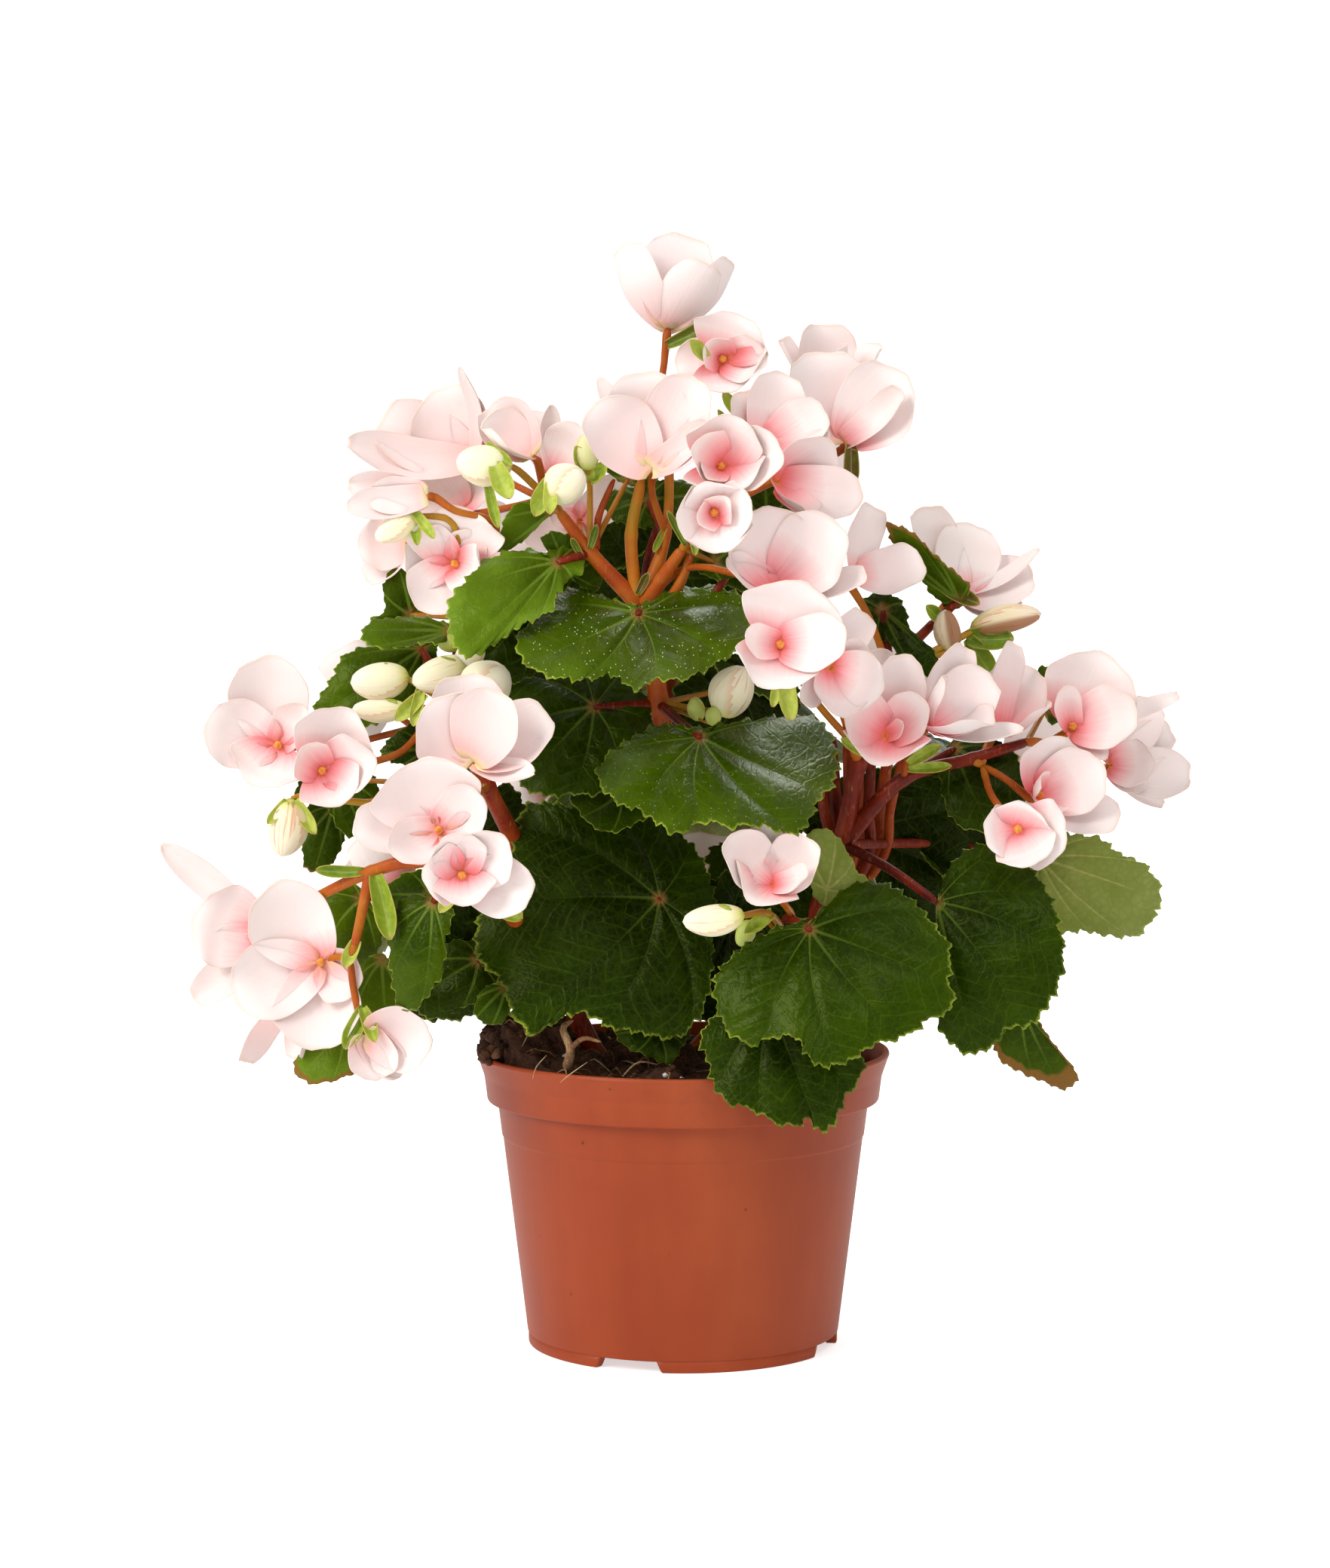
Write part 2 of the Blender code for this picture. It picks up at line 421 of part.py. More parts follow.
def drop(obj):
    bpy.data.objects.remove(obj)


def new_object(name, verts, faces, where):
    mesh = bpy.data.meshes.new(name)
    mesh.from_pydata([Vector(v) * MM for v in verts], [], faces)
    mesh.update()
    obj = bpy.data.objects.new(name, mesh)
    where.objects.link(obj)
    return obj


def settled(obj, where):
    """A plain mesh object with obj's modifiers applied; obj is removed."""
    bpy.context.view_layer.update()
    mesh = bpy.data.meshes.new_from_object(obj.evaluated_get(bpy.context.evaluated_depsgraph_get()))
    mesh.transform(obj.matrix_world)
    name = obj.name
    drop(obj)
    result = bpy.data.objects.new(name, mesh)
    where.objects.link(result)
    return result


def edit(obj, work):
    bm = bmesh.new()
    bm.from_mesh(obj.data)
    work(bm)
    bm.to_mesh(obj.data)
    bm.free()
    obj.data.update()


def joined(name, pieces, where, operation="UNION", target=None):
    """One Boolean of target (or the first piece) with the rest, applied; the pieces are removed."""
    target = target or pieces.pop(0)
    if pieces:
        group = bpy.data.collections.new(name + "_pieces")
        bpy.context.scene.collection.children.link(group)
        for piece in pieces:
            for old in piece.users_collection:
                old.objects.unlink(piece)
            group.objects.link(piece)
        cut = target.modifiers.new("join", "BOOLEAN")
        cut.operation = operation
        cut.operand_type = "COLLECTION"
        cut.collection = group
        cut.solver = "MANIFOLD"
    target.name = name
    result = settled(target, where)
    if pieces:
        for piece in pieces:
            drop(piece)
        bpy.data.collections.remove(group)
    result.name = name
    return result


def cut_clear(obj, cutters, where):
    """obj less each cutter that it meets; the cutters stay."""
    for cutter in cutters:
        if touches(obj, cutter):
            name = obj.name
            cut = obj.modifiers.new("clear", "BOOLEAN")
            cut.operation = "DIFFERENCE"
            cut.solver = "MANIFOLD"
            cut.object = cutter
            obj = settled(obj, where)
            obj.name = name
    return keep_largest(obj)


def keep_largest(obj):
    """Drops loose scraps, so that one body stays."""
    def work(bm):
        todo, shells = set(bm.verts), []
        while todo:
            shell, edge = set(), [todo.pop()]
            while edge:
                v = edge.pop()
                shell.add(v)
                near = {e.other_vert(v) for e in v.link_edges} & todo
                todo -= near
                edge.extend(near)
            shells.append(shell)
        for shell in sorted(shells, key=len)[:-1]:
            bmesh.ops.delete(bm, geom=list(shell), context="VERTS")
    edit(obj, work)
    return obj


def tree(obj):
    bm = bmesh.new()
    bm.from_mesh(obj.data)
    result = BVHTree.FromBMesh(bm)
    bm.free()
    return result


def touches(a, b):
    return bool(tree(a).overlap(tree(b)))


# Petals and blooms

def petal_width(width, t):
    """Width at t along the petal: a narrow claw, a broad middle and a round tip."""
    if t < WIDEST_AT:
        claw = min(CLAW_WIDTH, width)
        return claw + (width - claw) * math.sin(math.pi / 2 * t / WIDEST_AT)
    return width * math.sqrt(max(0.0, 1 - ((t - WIDEST_AT) / (1 - WIDEST_AT)) ** 2))


def petal_object(base, tip, faces, width, cup, grow, where):
    """A petal from base to tip: bowed away from the bloom's axis, its edges cupped towards it."""
    chord = tip - base
    length = np.linalg.norm(chord)
    along = chord / length
    inner = unit(faces - along * np.dot(faces, along))
    side = np.cross(along, inner)
    verts = []
    for t, count in PETAL_ROWS:
        half = 0.5 * petal_width(width, t) + grow
        reach = t * length + (grow if t > 0.9 else 0)
        for u in np.linspace(-1, 1, count) if count > 1 else [0]:
            lift = cup * half * u * u - PETAL_BOW * length * math.sin(math.pi * t)
            verts.append(base + along * reach + side * half * u + inner * lift)
    faces_of_rows = [(0, 2, 1), (0, 3, 2), (1, 2, 4), (2, 5, 4), (2, 3, 5)]
    obj = new_object("petal", verts, faces_of_rows, where)
    thick = obj.modifiers.new("thickness", "SOLIDIFY")
    thick.thickness = (PETAL_THICKNESS + 2 * grow) * MM
    thick.offset = 0
    return obj


def ball(name, middle, radii, pointing, where, segments=4, rings=3):
    """A closed ball, stretched along pointing."""
    obj = new_object(name, [], [], where)
    frame = Vector(pointing).to_track_quat("Z", "Y").to_matrix().to_4x4()

    def work(bm):
        bmesh.ops.create_uvsphere(bm, u_segments=segments, v_segments=rings, radius=1)
        for v in bm.verts:
            v.co = frame @ Vector((v.co.x * radii[0], v.co.y * radii[0], v.co.z * radii[1]))
            v.co = (v.co + Vector(middle)) * MM
    edit(obj, work)
    return obj


def bloom_layout(name):
    """World base, facing and petals (tip, width, cup) of a bloom, front or back."""
    if name in BLOOMS:
        place, faces, petals = BLOOMS[name]
        base = seen(*place)
        tips = [(seen(a, u, place[2] + n), w, c) for a, u, n, w, c in petals]
        return base, view_direction(*faces), tips
    like, turn, place = BACK_BLOOMS[name]
    base, faces, tips = bloom_layout(like)
    here = seen(*place)
    return here, turned(faces, turn), [(here + turned(tip - base, turn), w, c) for tip, w, c in tips]


def spray_split(fork, members):
    """Where a spray's stalk divides: part of the way to the middle of its blooms' first places."""
    start = fork_place(fork)
    firsts = [seen(*passing[0]) if passing else bloom_layout(bloom)[0]
              for bloom, passing in members.items()]
    way = np.mean(firsts, axis=0) - start
    reach = np.linalg.norm(way)
    return start + way / reach * min(SPLIT_REACH, SPLIT_SHARE * reach)


def spray_object(name, grow, where):
    """The blooms that one stalk carries, with their own stalks, as one solid."""
    fork, members = SPRAYS[name.removesuffix(CLEAR)]
    start = fork_place(fork)
    pieces = []
    if len(members) > 1:
        split = spray_split(fork, members)
        pieces.append(stalk([start, split], BLOOM_STALK_RADIUS * 1.2, where, grow))
        start = split
    for bloom, passing in members.items():
        base, faces, petals = bloom_layout(bloom)
        route = [start] + [seen(*p) for p in passing]
        route += [base - faces * HEART_BELOW, base + faces * HEART_ABOVE]
        radii = [BLOOM_STALK_RADIUS] * (len(route) - 1) + [HEART_RADIUS]
        pieces.append(tube("stalk", route, np.array(radii) + grow, where, 0))
        pieces += [petal_object(base, tip, faces, width * PETAL_SHARE, cup, grow, where)
                   for tip, width, cup in petals]
    return joined(name, pieces, where)


# Leaves

def smooth_outline(points, count):
    """count places, evenly spaced along a closed Catmull-Rom curve through the points."""
    p = np.asarray(points, float)
    n = len(p)
    fine = []
    for i in range(n):
        a, b, c, d = p[i - 1], p[i], p[(i + 1) % n], p[(i + 2) % n]
        for t in np.arange(0, 1, 0.1):
            fine.append(0.5 * (2 * b + (c - a) * t + (2 * a - 5 * b + 4 * c - d) * t ** 2
                               + (3 * b - a - 3 * c + d) * t ** 3))
    fine = np.array(fine + [fine[0]])
    run = np.concatenate([[0], np.cumsum(np.linalg.norm(np.diff(fine, axis=0), axis=1))])
    at = np.linspace(0, run[-1], count, endpoint=False)
    return np.stack([np.interp(at, run, fine[:, k]) for k in (0, 1)], axis=1)


def counterclockwise(points):
    p = np.asarray(points, float)
    area = np.sum(p[:, 0] * np.roll(p[:, 1], -1) - np.roll(p[:, 0], -1) * p[:, 1])
    return p if area > 0 else p[::-1]


def leaf_layout(name):
    """Outline in the leaf's own plane, and the function that places a point of it in the world."""
    if name in LEAVES:
        (across, up, toward), (right, rise), fall, outline = LEAVES[name]

        def place(a, b, r):
            near = toward + right * (a - across) + rise * (b - up) - fall * r * r
            return seen(a, b, near)
        return counterclockwise(outline), place
    joint, heading, dip, size, roll = BACK_LEAVES[name]
    here = seen(*joint)
    h, d, q = math.radians(heading), math.radians(dip), math.radians(roll)
    forward = np.array([math.cos(h) * math.cos(d), math.sin(h) * math.cos(d), -math.sin(d)])
    level = np.array([math.sin(h), -math.cos(h), 0.0])
    over = np.cross(level, forward)
    side = level * math.cos(q) + over * math.sin(q)
    top = np.cross(side, forward)

    def place(a, b, r):
        return here + side * a + forward * b - top * LEAF_FALL * r * r
    return counterclockwise(LEAF_PLAN) * size, place


def stalk_end(joint, middle, edge, place):
    """Where the stalk meets the blade: a little in from the joint, on the blade's surface."""
    inward = middle + JOINT_SHARE * (np.asarray(joint) - middle)
    ways = edge - middle
    way = inward - middle
    nearest = np.argmax(ways @ way / np.linalg.norm(ways, axis=1))
    return place(*inward, np.linalg.norm(way) / np.linalg.norm(ways[nearest]))


def leaf_object(name, grow, where):
    """A toothed blade: an outline of teeth, a ring of shallow folds and a middle."""
    outline, place = leaf_layout(name)
    span = np.ptp(outline, axis=0).max()
    ringed = span > BROAD_LEAF
    teeth = 10 if ringed else 9
    edge = smooth_outline(outline, 2 * teeth)
    middle = edge.mean(axis=0)
    verts = [place(*middle, 0)]
    for k, point in enumerate(edge):
        out = unit(point - middle)
        reach = (-TOOTH / 2 if k % 2 == 0 else TOOTH / 2) + grow
        verts.append(place(*(point + out * reach), 1))
    if ringed:
        verts += [place(*(middle + RING_AT * (point - middle)), RING_AT) for point in edge[::2]]
    faces = []
    for k in range(teeth):
        after = (k + 1) % teeth
        a, b, c = 1 + 2 * k, 2 + 2 * k, 1 + 2 * after
        if ringed:
            ring, next_ring = 1 + 2 * teeth + k, 1 + 2 * teeth + after
            faces += [(0, ring, next_ring), (ring, a, b), (ring, b, next_ring), (next_ring, b, c)]
        else:
            faces += [(0, a, b), (0, b, c)]
    obj = new_object(name, verts, faces, where)
    thick = obj.modifiers.new("thickness", "SOLIDIFY")
    thick.thickness = (LEAF_THICKNESS + 2 * grow) * MM
    thick.offset = 0
    fork, passing = LEAF_STALKS[name]
    joint = LEAVES[name][0][:2] if name in LEAVES else (0, 0)
    route = [fork_place(fork)] + [seen(*p) for p in passing] + [stalk_end(joint, middle, edge, place)]
    return joined(name, [settled(obj, where), stalk(route, LEAF_STALK_RADIUS, where, grow)], where)


def outward(obj):
    edit(obj, lambda bm: bmesh.ops.recalc_face_normals(bm, faces=bm.faces))
    return obj


# Stems and buds

def tube(name, points, radii, where, resolution):
    """A closed tube through the points, with a radius at each; it starts a little inside what it leaves."""
    points = [np.asarray(p, float) for p in points]
    points[0] = points[0] - unit(points[1] - points[0]) * radii[0] * ROOT_SHARE
    curve = bpy.data.curves.new(name, "CURVE")
    curve.dimensions = "3D"
    curve.bevel_depth = MM
    curve.bevel_resolution = resolution
    curve.use_fill_caps = True
    line = curve.splines.new("POLY")
    line.points.add(len(points) - 1)
    for target, place, radius in zip(line.points, points, radii):
        target.co = (*(Vector(place) * MM), 1)
        target.radius = radius
    obj = bpy.data.objects.new(name, curve)
    where.objects.link(obj)
    solid = settled(obj, where)
    edit(solid, lambda bm: bmesh.ops.remove_doubles(bm, verts=bm.verts, dist=WELD * MM))
    bpy.data.curves.remove(curve)
    return solid


def fork_place(name):
    return seen(*FORKS[name][:3])


def stalk(points, radius, where, grow):
    """A thin stalk that narrows a little from its fork to its end."""
    taper = np.linspace(1.15, 0.95, len(points))
    return tube("stalk", points, radius * taper + grow, where, 0)


def stem_object(name, grow, where):
    pieces = []
    for route in STEMS:
        points = [fork_place(f) for f in route]
        radii = [FORKS[f][3] + grow for f in route]
        pieces.append(tube("stem", points, radii, where, 1))
    for middle, length, width, pointing, fork, passing in BUDS.values():
        here, along = seen(*middle), view_direction(*pointing)
        route = [fork_place(fork)] + [seen(*p) for p in passing] + [here - along * length * 0.7]
        pieces.append(stalk(route, BLOOM_STALK_RADIUS, where, grow))
        pieces.append(ball("bud", here, (width + grow, length + grow), along, where))
    return joined(name, pieces, where)


# Pot and soil

def turned_solid(name, profile, where):
    """A closed solid: a profile (radius, height), outer side first, turned about the upright axis."""
    edges = [(i, i + 1) for i in range(len(profile) - 1)]
    mesh = bpy.data.meshes.new(name)
    mesh.from_pydata([(r * MM, 0, z * MM) for r, z in profile], edges, [])
    obj = bpy.data.objects.new(name, mesh)
    where.objects.link(obj)
    screw = obj.modifiers.new("turn", "SCREW")
    screw.steps = screw.render_steps = TURN_STEPS
    screw.use_merge_vertices = True
    screw.merge_threshold = 0.00001
    solid = settled(obj, where)
    edit(solid, lambda bm: bmesh.ops.remove_doubles(bm, verts=bm.verts, dist=WELD * MM))
    return outward(solid)


def foot_block(middle, where):
    """One foot: an arc of wall under the pot, its ends sloping out upwards."""
    verts = []
    for level, spread in ((FOOT_HEIGHT + FOOT_SUNK, FOOT_FLARE), (0.0, 1.0)):
        for radius in (FOOT_RADIUS - FOOT_WIDTH / 2, FOOT_RADIUS + FOOT_WIDTH / 2):
            for angle in middle + FOOT_SPAN * spread * np.linspace(-0.5, 0.5, FOOT_STEPS + 1):
                verts.append((radius * math.cos(angle), radius * math.sin(angle), level))
    row = FOOT_STEPS + 1
    top_in, top_out, low_in, low_out = 0, row, 2 * row, 3 * row
    faces = []
    for k in range(FOOT_STEPS):
        for one, other in ((top_in, top_out), (top_out, low_out), (low_out, low_in), (low_in, top_in)):
            faces.append((one + k, one + k + 1, other + k + 1, other + k))
    for k in (0, FOOT_STEPS):
        faces.append((top_in + k, top_out + k, low_out + k, low_in + k))
    return outward(new_object("foot", verts, faces, where))


def drain(angle, where):
    """A cutter for one of the holes in the pot's floor."""
    place = (DRAIN_RING * math.cos(angle) * MM, DRAIN_RING * math.sin(angle) * MM, FOOT_HEIGHT * MM)
    bpy.ops.mesh.primitive_cylinder_add(vertices=DRAIN_SIDES, radius=DRAIN_RADIUS * MM,
                                        depth=DRAIN_DEPTH * MM, location=place)
    obj = bpy.context.object
    for old in obj.users_collection:
        old.objects.unlink(obj)
    where.objects.link(obj)
    return obj


def pot_object(where, tools):
    """The pot's turned shell on its feet, with drain holes in its floor."""
    rim_low = POT_HEIGHT - RIM_HEIGHT
    profile = [
        (RIM_RADIUS - EDGE, POT_HEIGHT), (RIM_RADIUS, POT_HEIGHT - EDGE), (RIM_FOOT_RADIUS, rim_low + EDGE),
        (RIM_FOOT_RADIUS - EDGE, rim_low), (WALL_TOP_RADIUS, rim_low), (WALL_FOOT_RADIUS, FOOT_HEIGHT),
        (0, FOOT_HEIGHT), (0, FOOT_HEIGHT + FLOOR), (WALL_FOOT_RADIUS - WALL, FOOT_HEIGHT + FLOOR),
        (WALL_TOP_RADIUS - WALL, rim_low - EDGE), (RIM_FOOT_RADIUS - WALL, rim_low + WALL),
        (RIM_RADIUS - EDGE, POT_HEIGHT),
    ]
    shell = turned_solid("pot", profile, where)
    feet = [foot_block(FOOT_FIRST + 2 * math.pi * k / FOOT_COUNT, tools) for k in range(FOOT_COUNT)]
    pot = joined("pot", [shell] + feet, where)
    drains = [drain(2 * math.pi * k / DRAIN_COUNT, tools) for k in range(DRAIN_COUNT)]
    return joined("pot", drains, where, "DIFFERENCE", pot)


def soil_object(where):
    """The soil fills the pot and rises a little in the middle."""
    bottom = FOOT_HEIGHT + FLOOR + GAP
    rim_low = POT_HEIGHT - RIM_HEIGHT
    edge = RIM_FOOT_RADIUS - WALL - GAP
    rise = SOIL_MIDDLE_HEIGHT - SOIL_EDGE_HEIGHT
    profile = [(0, SOIL_MIDDLE_HEIGHT)]
    profile += [(edge * share, SOIL_MIDDLE_HEIGHT - rise * share ** 2) for share in SOIL_RINGS]
    profile += [
        (edge, SOIL_EDGE_HEIGHT), (edge - GAP, rim_low + WALL + GAP),
        (WALL_TOP_RADIUS - WALL - 2 * GAP, rim_low - EDGE), (WALL_FOOT_RADIUS - WALL - GAP, bottom),
        (0, bottom),
    ]
    return turned_solid("soil", profile, where)


# Nodes that grow into each other become one

def merged_groups(objects, where):
    """Fuses the objects that meet; the others stay as they are."""
    trees = {o.name: tree(o) for o in objects}
    leader = {o.name: o.name for o in objects}

    def find(n):
        while leader[n] != n:
            n = leader[n]
        return n
    names = sorted(leader)
    for i, a in enumerate(names):
        for b in names[i + 1:]:
            if trees[a].overlap(trees[b]):
                leader[find(b)] = find(a)
    by_name = {o.name: o for o in objects}
    groups = {}
    for n in names:
        groups.setdefault(find(n), []).append(n)
    results = []
    for first, members in groups.items():
        if len(members) == 1:
            results.append(by_name[first])
        else:
            results.append(joined(first, [by_name[m] for m in members], where))
            print("joined", members)
    return results


def colour(obj, name, rgb, roughness):
    material = bpy.data.materials.get(name) or bpy.data.materials.new(name)
    material.use_nodes = True
    shader = material.node_tree.nodes["Principled BSDF"]
    shader.inputs["Base Color"].default_value = (*rgb, 1)
    shader.inputs["Roughness"].default_value = roughness
    obj.data.materials.clear()
    obj.data.materials.append(material)


def main():
    for old in list(bpy.data.objects):
        bpy.data.objects.remove(old)
    plant = bpy.data.collections.new("potted_begonia")
    cutters = bpy.data.collections.new("cutters")
    for group in (plant, cutters):
        bpy.context.scene.collection.children.link(group)

    pot = pot_object(plant, cutters)
    stems = stem_object("stems", 0, plant)
    stems_clear = stem_object("stems_clear", GAP, cutters)
    soil = joined("soil", [stems_clear], plant, "DIFFERENCE", soil_object(plant))
    stems_clear = stem_object("stems_clear", GAP, cutters)

    sprays = [cut_clear(spray_object(n, 0, plant), [stems_clear], plant) for n in SPRAYS]
    sprays = merged_groups(sprays, plant)

    sprays_clear = [spray_object(n + CLEAR, GAP, cutters) for n in SPRAYS]
    leaf_names = (*LEAVES, *BACK_LEAVES)
    leaves = [cut_clear(leaf_object(n, 0, plant), [stems_clear] + sprays_clear, plant) for n in leaf_names]
    leaves = merged_groups(leaves, plant)

    colour(pot, "terracotta plastic", (0.43, 0.09, 0.04), 0.35)
    colour(soil, "potting soil", (0.03, 0.016, 0.01), 0.95)
    colour(stems, "stem", (0.42, 0.13, 0.04), 0.5)
    for spray in sprays:
        colour(spray, "petal", (0.93, 0.7, 0.68), 0.5)
    for leaf in leaves:
        colour(leaf, "leaf", (0.04, 0.12, 0.015), 0.4)
    for used in list(cutters.objects):
        drop(used)
    bpy.data.collections.remove(cutters)


if __name__ == "__main__":
    main()
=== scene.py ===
# %% [markdown]
# # A potted begonia in bloom
# The real plant is about thirty centimetres high: a plastic nursery pot, dark peat, jointed fleshy stems,
# lopsided glossy leaves with toothed margins, and cup-shaped blooms that fade from cream to coral.
# The CAD model is loaded first and kept as a frame. Every piece below stands for a part of it and takes its
# place from the same measurements, so the dressed plant can't drift away from the engineered one.

# %% Load the frame
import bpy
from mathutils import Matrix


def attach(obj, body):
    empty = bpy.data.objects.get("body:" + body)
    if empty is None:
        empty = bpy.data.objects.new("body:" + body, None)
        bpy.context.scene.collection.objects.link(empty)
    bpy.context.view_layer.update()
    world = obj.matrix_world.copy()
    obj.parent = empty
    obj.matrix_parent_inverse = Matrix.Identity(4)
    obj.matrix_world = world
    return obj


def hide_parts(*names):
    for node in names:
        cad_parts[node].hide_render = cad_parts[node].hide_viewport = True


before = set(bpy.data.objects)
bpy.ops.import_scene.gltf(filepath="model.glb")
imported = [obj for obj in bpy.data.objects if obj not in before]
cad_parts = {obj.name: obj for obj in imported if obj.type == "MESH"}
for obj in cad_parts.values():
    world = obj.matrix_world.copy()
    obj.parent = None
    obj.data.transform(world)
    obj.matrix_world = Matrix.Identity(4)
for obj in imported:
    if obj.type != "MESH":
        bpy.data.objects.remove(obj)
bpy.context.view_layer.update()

import math

import bpy
import numpy as np
from mathutils import Vector

MM = 0.001

# %% [markdown]
# ## Places that the viewer sees
# A plant has no drawing to copy, so its places are read as a viewer sees them. A "seen" place is (across,
# up, toward): across and up are millimetres in the upright plane through the pot's axis, and toward is how
# far the point lies before that plane. One formula turns it into a world place, and a table stays readable.

# %% Seen places and directions
# Where the viewer stands, mm, how far down they look, and their lens, mm on a 36 mm wide picture
EYE = np.array([-5.25, -1100.0, 245.0])
VIEW_PITCH = math.radians(4.23)
LENS = 87.02


def seen(across, up, toward):
    """World place in mm: the seen point slides along its line of sight until it is `toward` mm nearer."""
    near = 1 - np.asarray(toward, float) / -EYE[1]
    x = EYE[0] + (across - EYE[0]) * near
    z = EYE[2] + (up - EYE[2]) * near
    return np.stack(np.broadcast_arrays(x, EYE[1] * (1 - near), z), axis=-1)


def unit(v):
    """Vectors of length 1 in the same directions."""
    v = np.asarray(v, float)
    return v / np.linalg.norm(v, axis=-1, keepdims=True)


def pointing(across, up, toward):
    """World direction of (across, up, toward)."""
    return unit((across, -toward, up))


def turned(points, degrees):
    """Points turned about the upright axis: x cos - y sin, x sin + y cos."""
    c, s = math.cos(math.radians(degrees)), math.sin(math.radians(degrees))
    return np.asarray(points) @ np.array([[c, s, 0], [-s, c, 0], [0, 0, 1]])


def dice(name):
    """A random generator of its own for each piece, seeded by the piece's name."""
    return np.random.default_rng(list(name.encode()))


print("The pot's axis at eye height:", seen(0, 245, 0))

# %% [markdown]
# ## The plant's measurements
# The first tables say where the stems fork and which forks each stem links. Then come the sprays of blooms,
# the blooms themselves, the leaves and the buds, each by its number: bloom 1 is the CAD's bloom_01. All are
# seen places in millimetres. Most repeat the CAD source's values, and some petals are shaped further here.

# %% Forks and stems
# Each fork: its seen place and the stem's radius there
FORKS = {
    "crown": (0, 73, 0, 4.5), "foot_middle": (-4, 79, 6, 3.4), "foot_right": (21, 79, 5, 3.0),
    "foot_left": (-21, 79, 8, 3.0), "foot_back": (-2, 79, -16, 3.0), "middle_low": (-6, 120, 8, 3.2),
    "middle_mid": (-7, 158, 12, 3.0), "middle_high": (-7, 187, 18, 2.9), "middle_top": (-12, 215, 26, 2.6),
    "fan_left": (-27, 231, 29, 2.0), "fan_far_left": (-36, 243, 31, 1.5), "fan_centre": (-5, 236, 24, 1.5),
    "fan_high": (-4, 262, 12, 1.3), "fan_right": (0, 232, 34, 1.5), "right_low": (33, 112, 16, 2.8),
    "right_mid": (46, 146, 26, 2.7), "right_high": (51, 170, 30, 2.4), "right_top": (60, 196, 24, 1.8),
    "right_tip": (73, 211, 14, 1.3), "right_arm": (64, 165, 30, 2.0), "right_hand": (84, 171, 28, 1.7),
    "right_end": (100, 176, 22, 1.4), "left_low": (-36, 108, 14, 2.8), "left_mid": (-47, 142, 20, 2.7),
    "left_high": (-57, 163, 32, 2.3), "left_top": (-66, 186, 22, 2.0), "left_tip": (-64, 212, 18, 1.6),
    "arch_start": (-62, 138, 58, 2.0), "arch_top": (-78, 141, 58, 1.9), "arch_fork": (-91, 138, 54, 1.7),
    "arch_end": (-108, 130, 42, 1.4), "arch_low": (-96, 116, 48, 1.2), "back_low": (-2, 120, -30, 3.0),
    "back_mid": (-4, 165, -40, 2.7), "back_high": (-4, 206, -36, 2.2),
    "back_left_mid": (-42, 128, -42, 2.5),
    "back_left_high": (-62, 168, -44, 2.0), "back_right_mid": (40, 126, -40, 2.5),
    "back_right_high": (58, 164, -42, 2.0),
}
STEMS = [
    ("crown", "foot_middle", "middle_low", "middle_mid", "middle_high", "middle_top"),
    ("middle_top", "fan_left", "fan_far_left"),
    ("middle_top", "fan_centre", "fan_high"),
    ("middle_top", "fan_right"),
    ("crown", "foot_right", "right_low", "right_mid", "right_high", "right_top", "right_tip"),
    ("right_mid", "right_arm", "right_hand", "right_end"),
    ("crown", "foot_left", "left_low", "left_mid", "left_high", "left_top", "left_tip"),
    ("left_low", "arch_start", "arch_top", "arch_fork", "arch_end"),
    ("arch_fork", "arch_low"),
    ("crown", "foot_back", "back_low", "back_mid", "back_high"),
    ("foot_back", "back_left_mid", "back_left_high"),
    ("foot_back", "back_right_mid", "back_right_high"),
]
# How red each of those stems is
STEM_RED = (0.6, 0.5, 0.42, 0.5, 0.85, 0.9, 0.75, 0.42, 0.55, 0.6, 0.6, 0.6)


def fork_place(name):
    """World place of a fork."""
    return seen(*FORKS[name][:3])


print(len(FORKS), "forks,", len(STEMS), "stems")

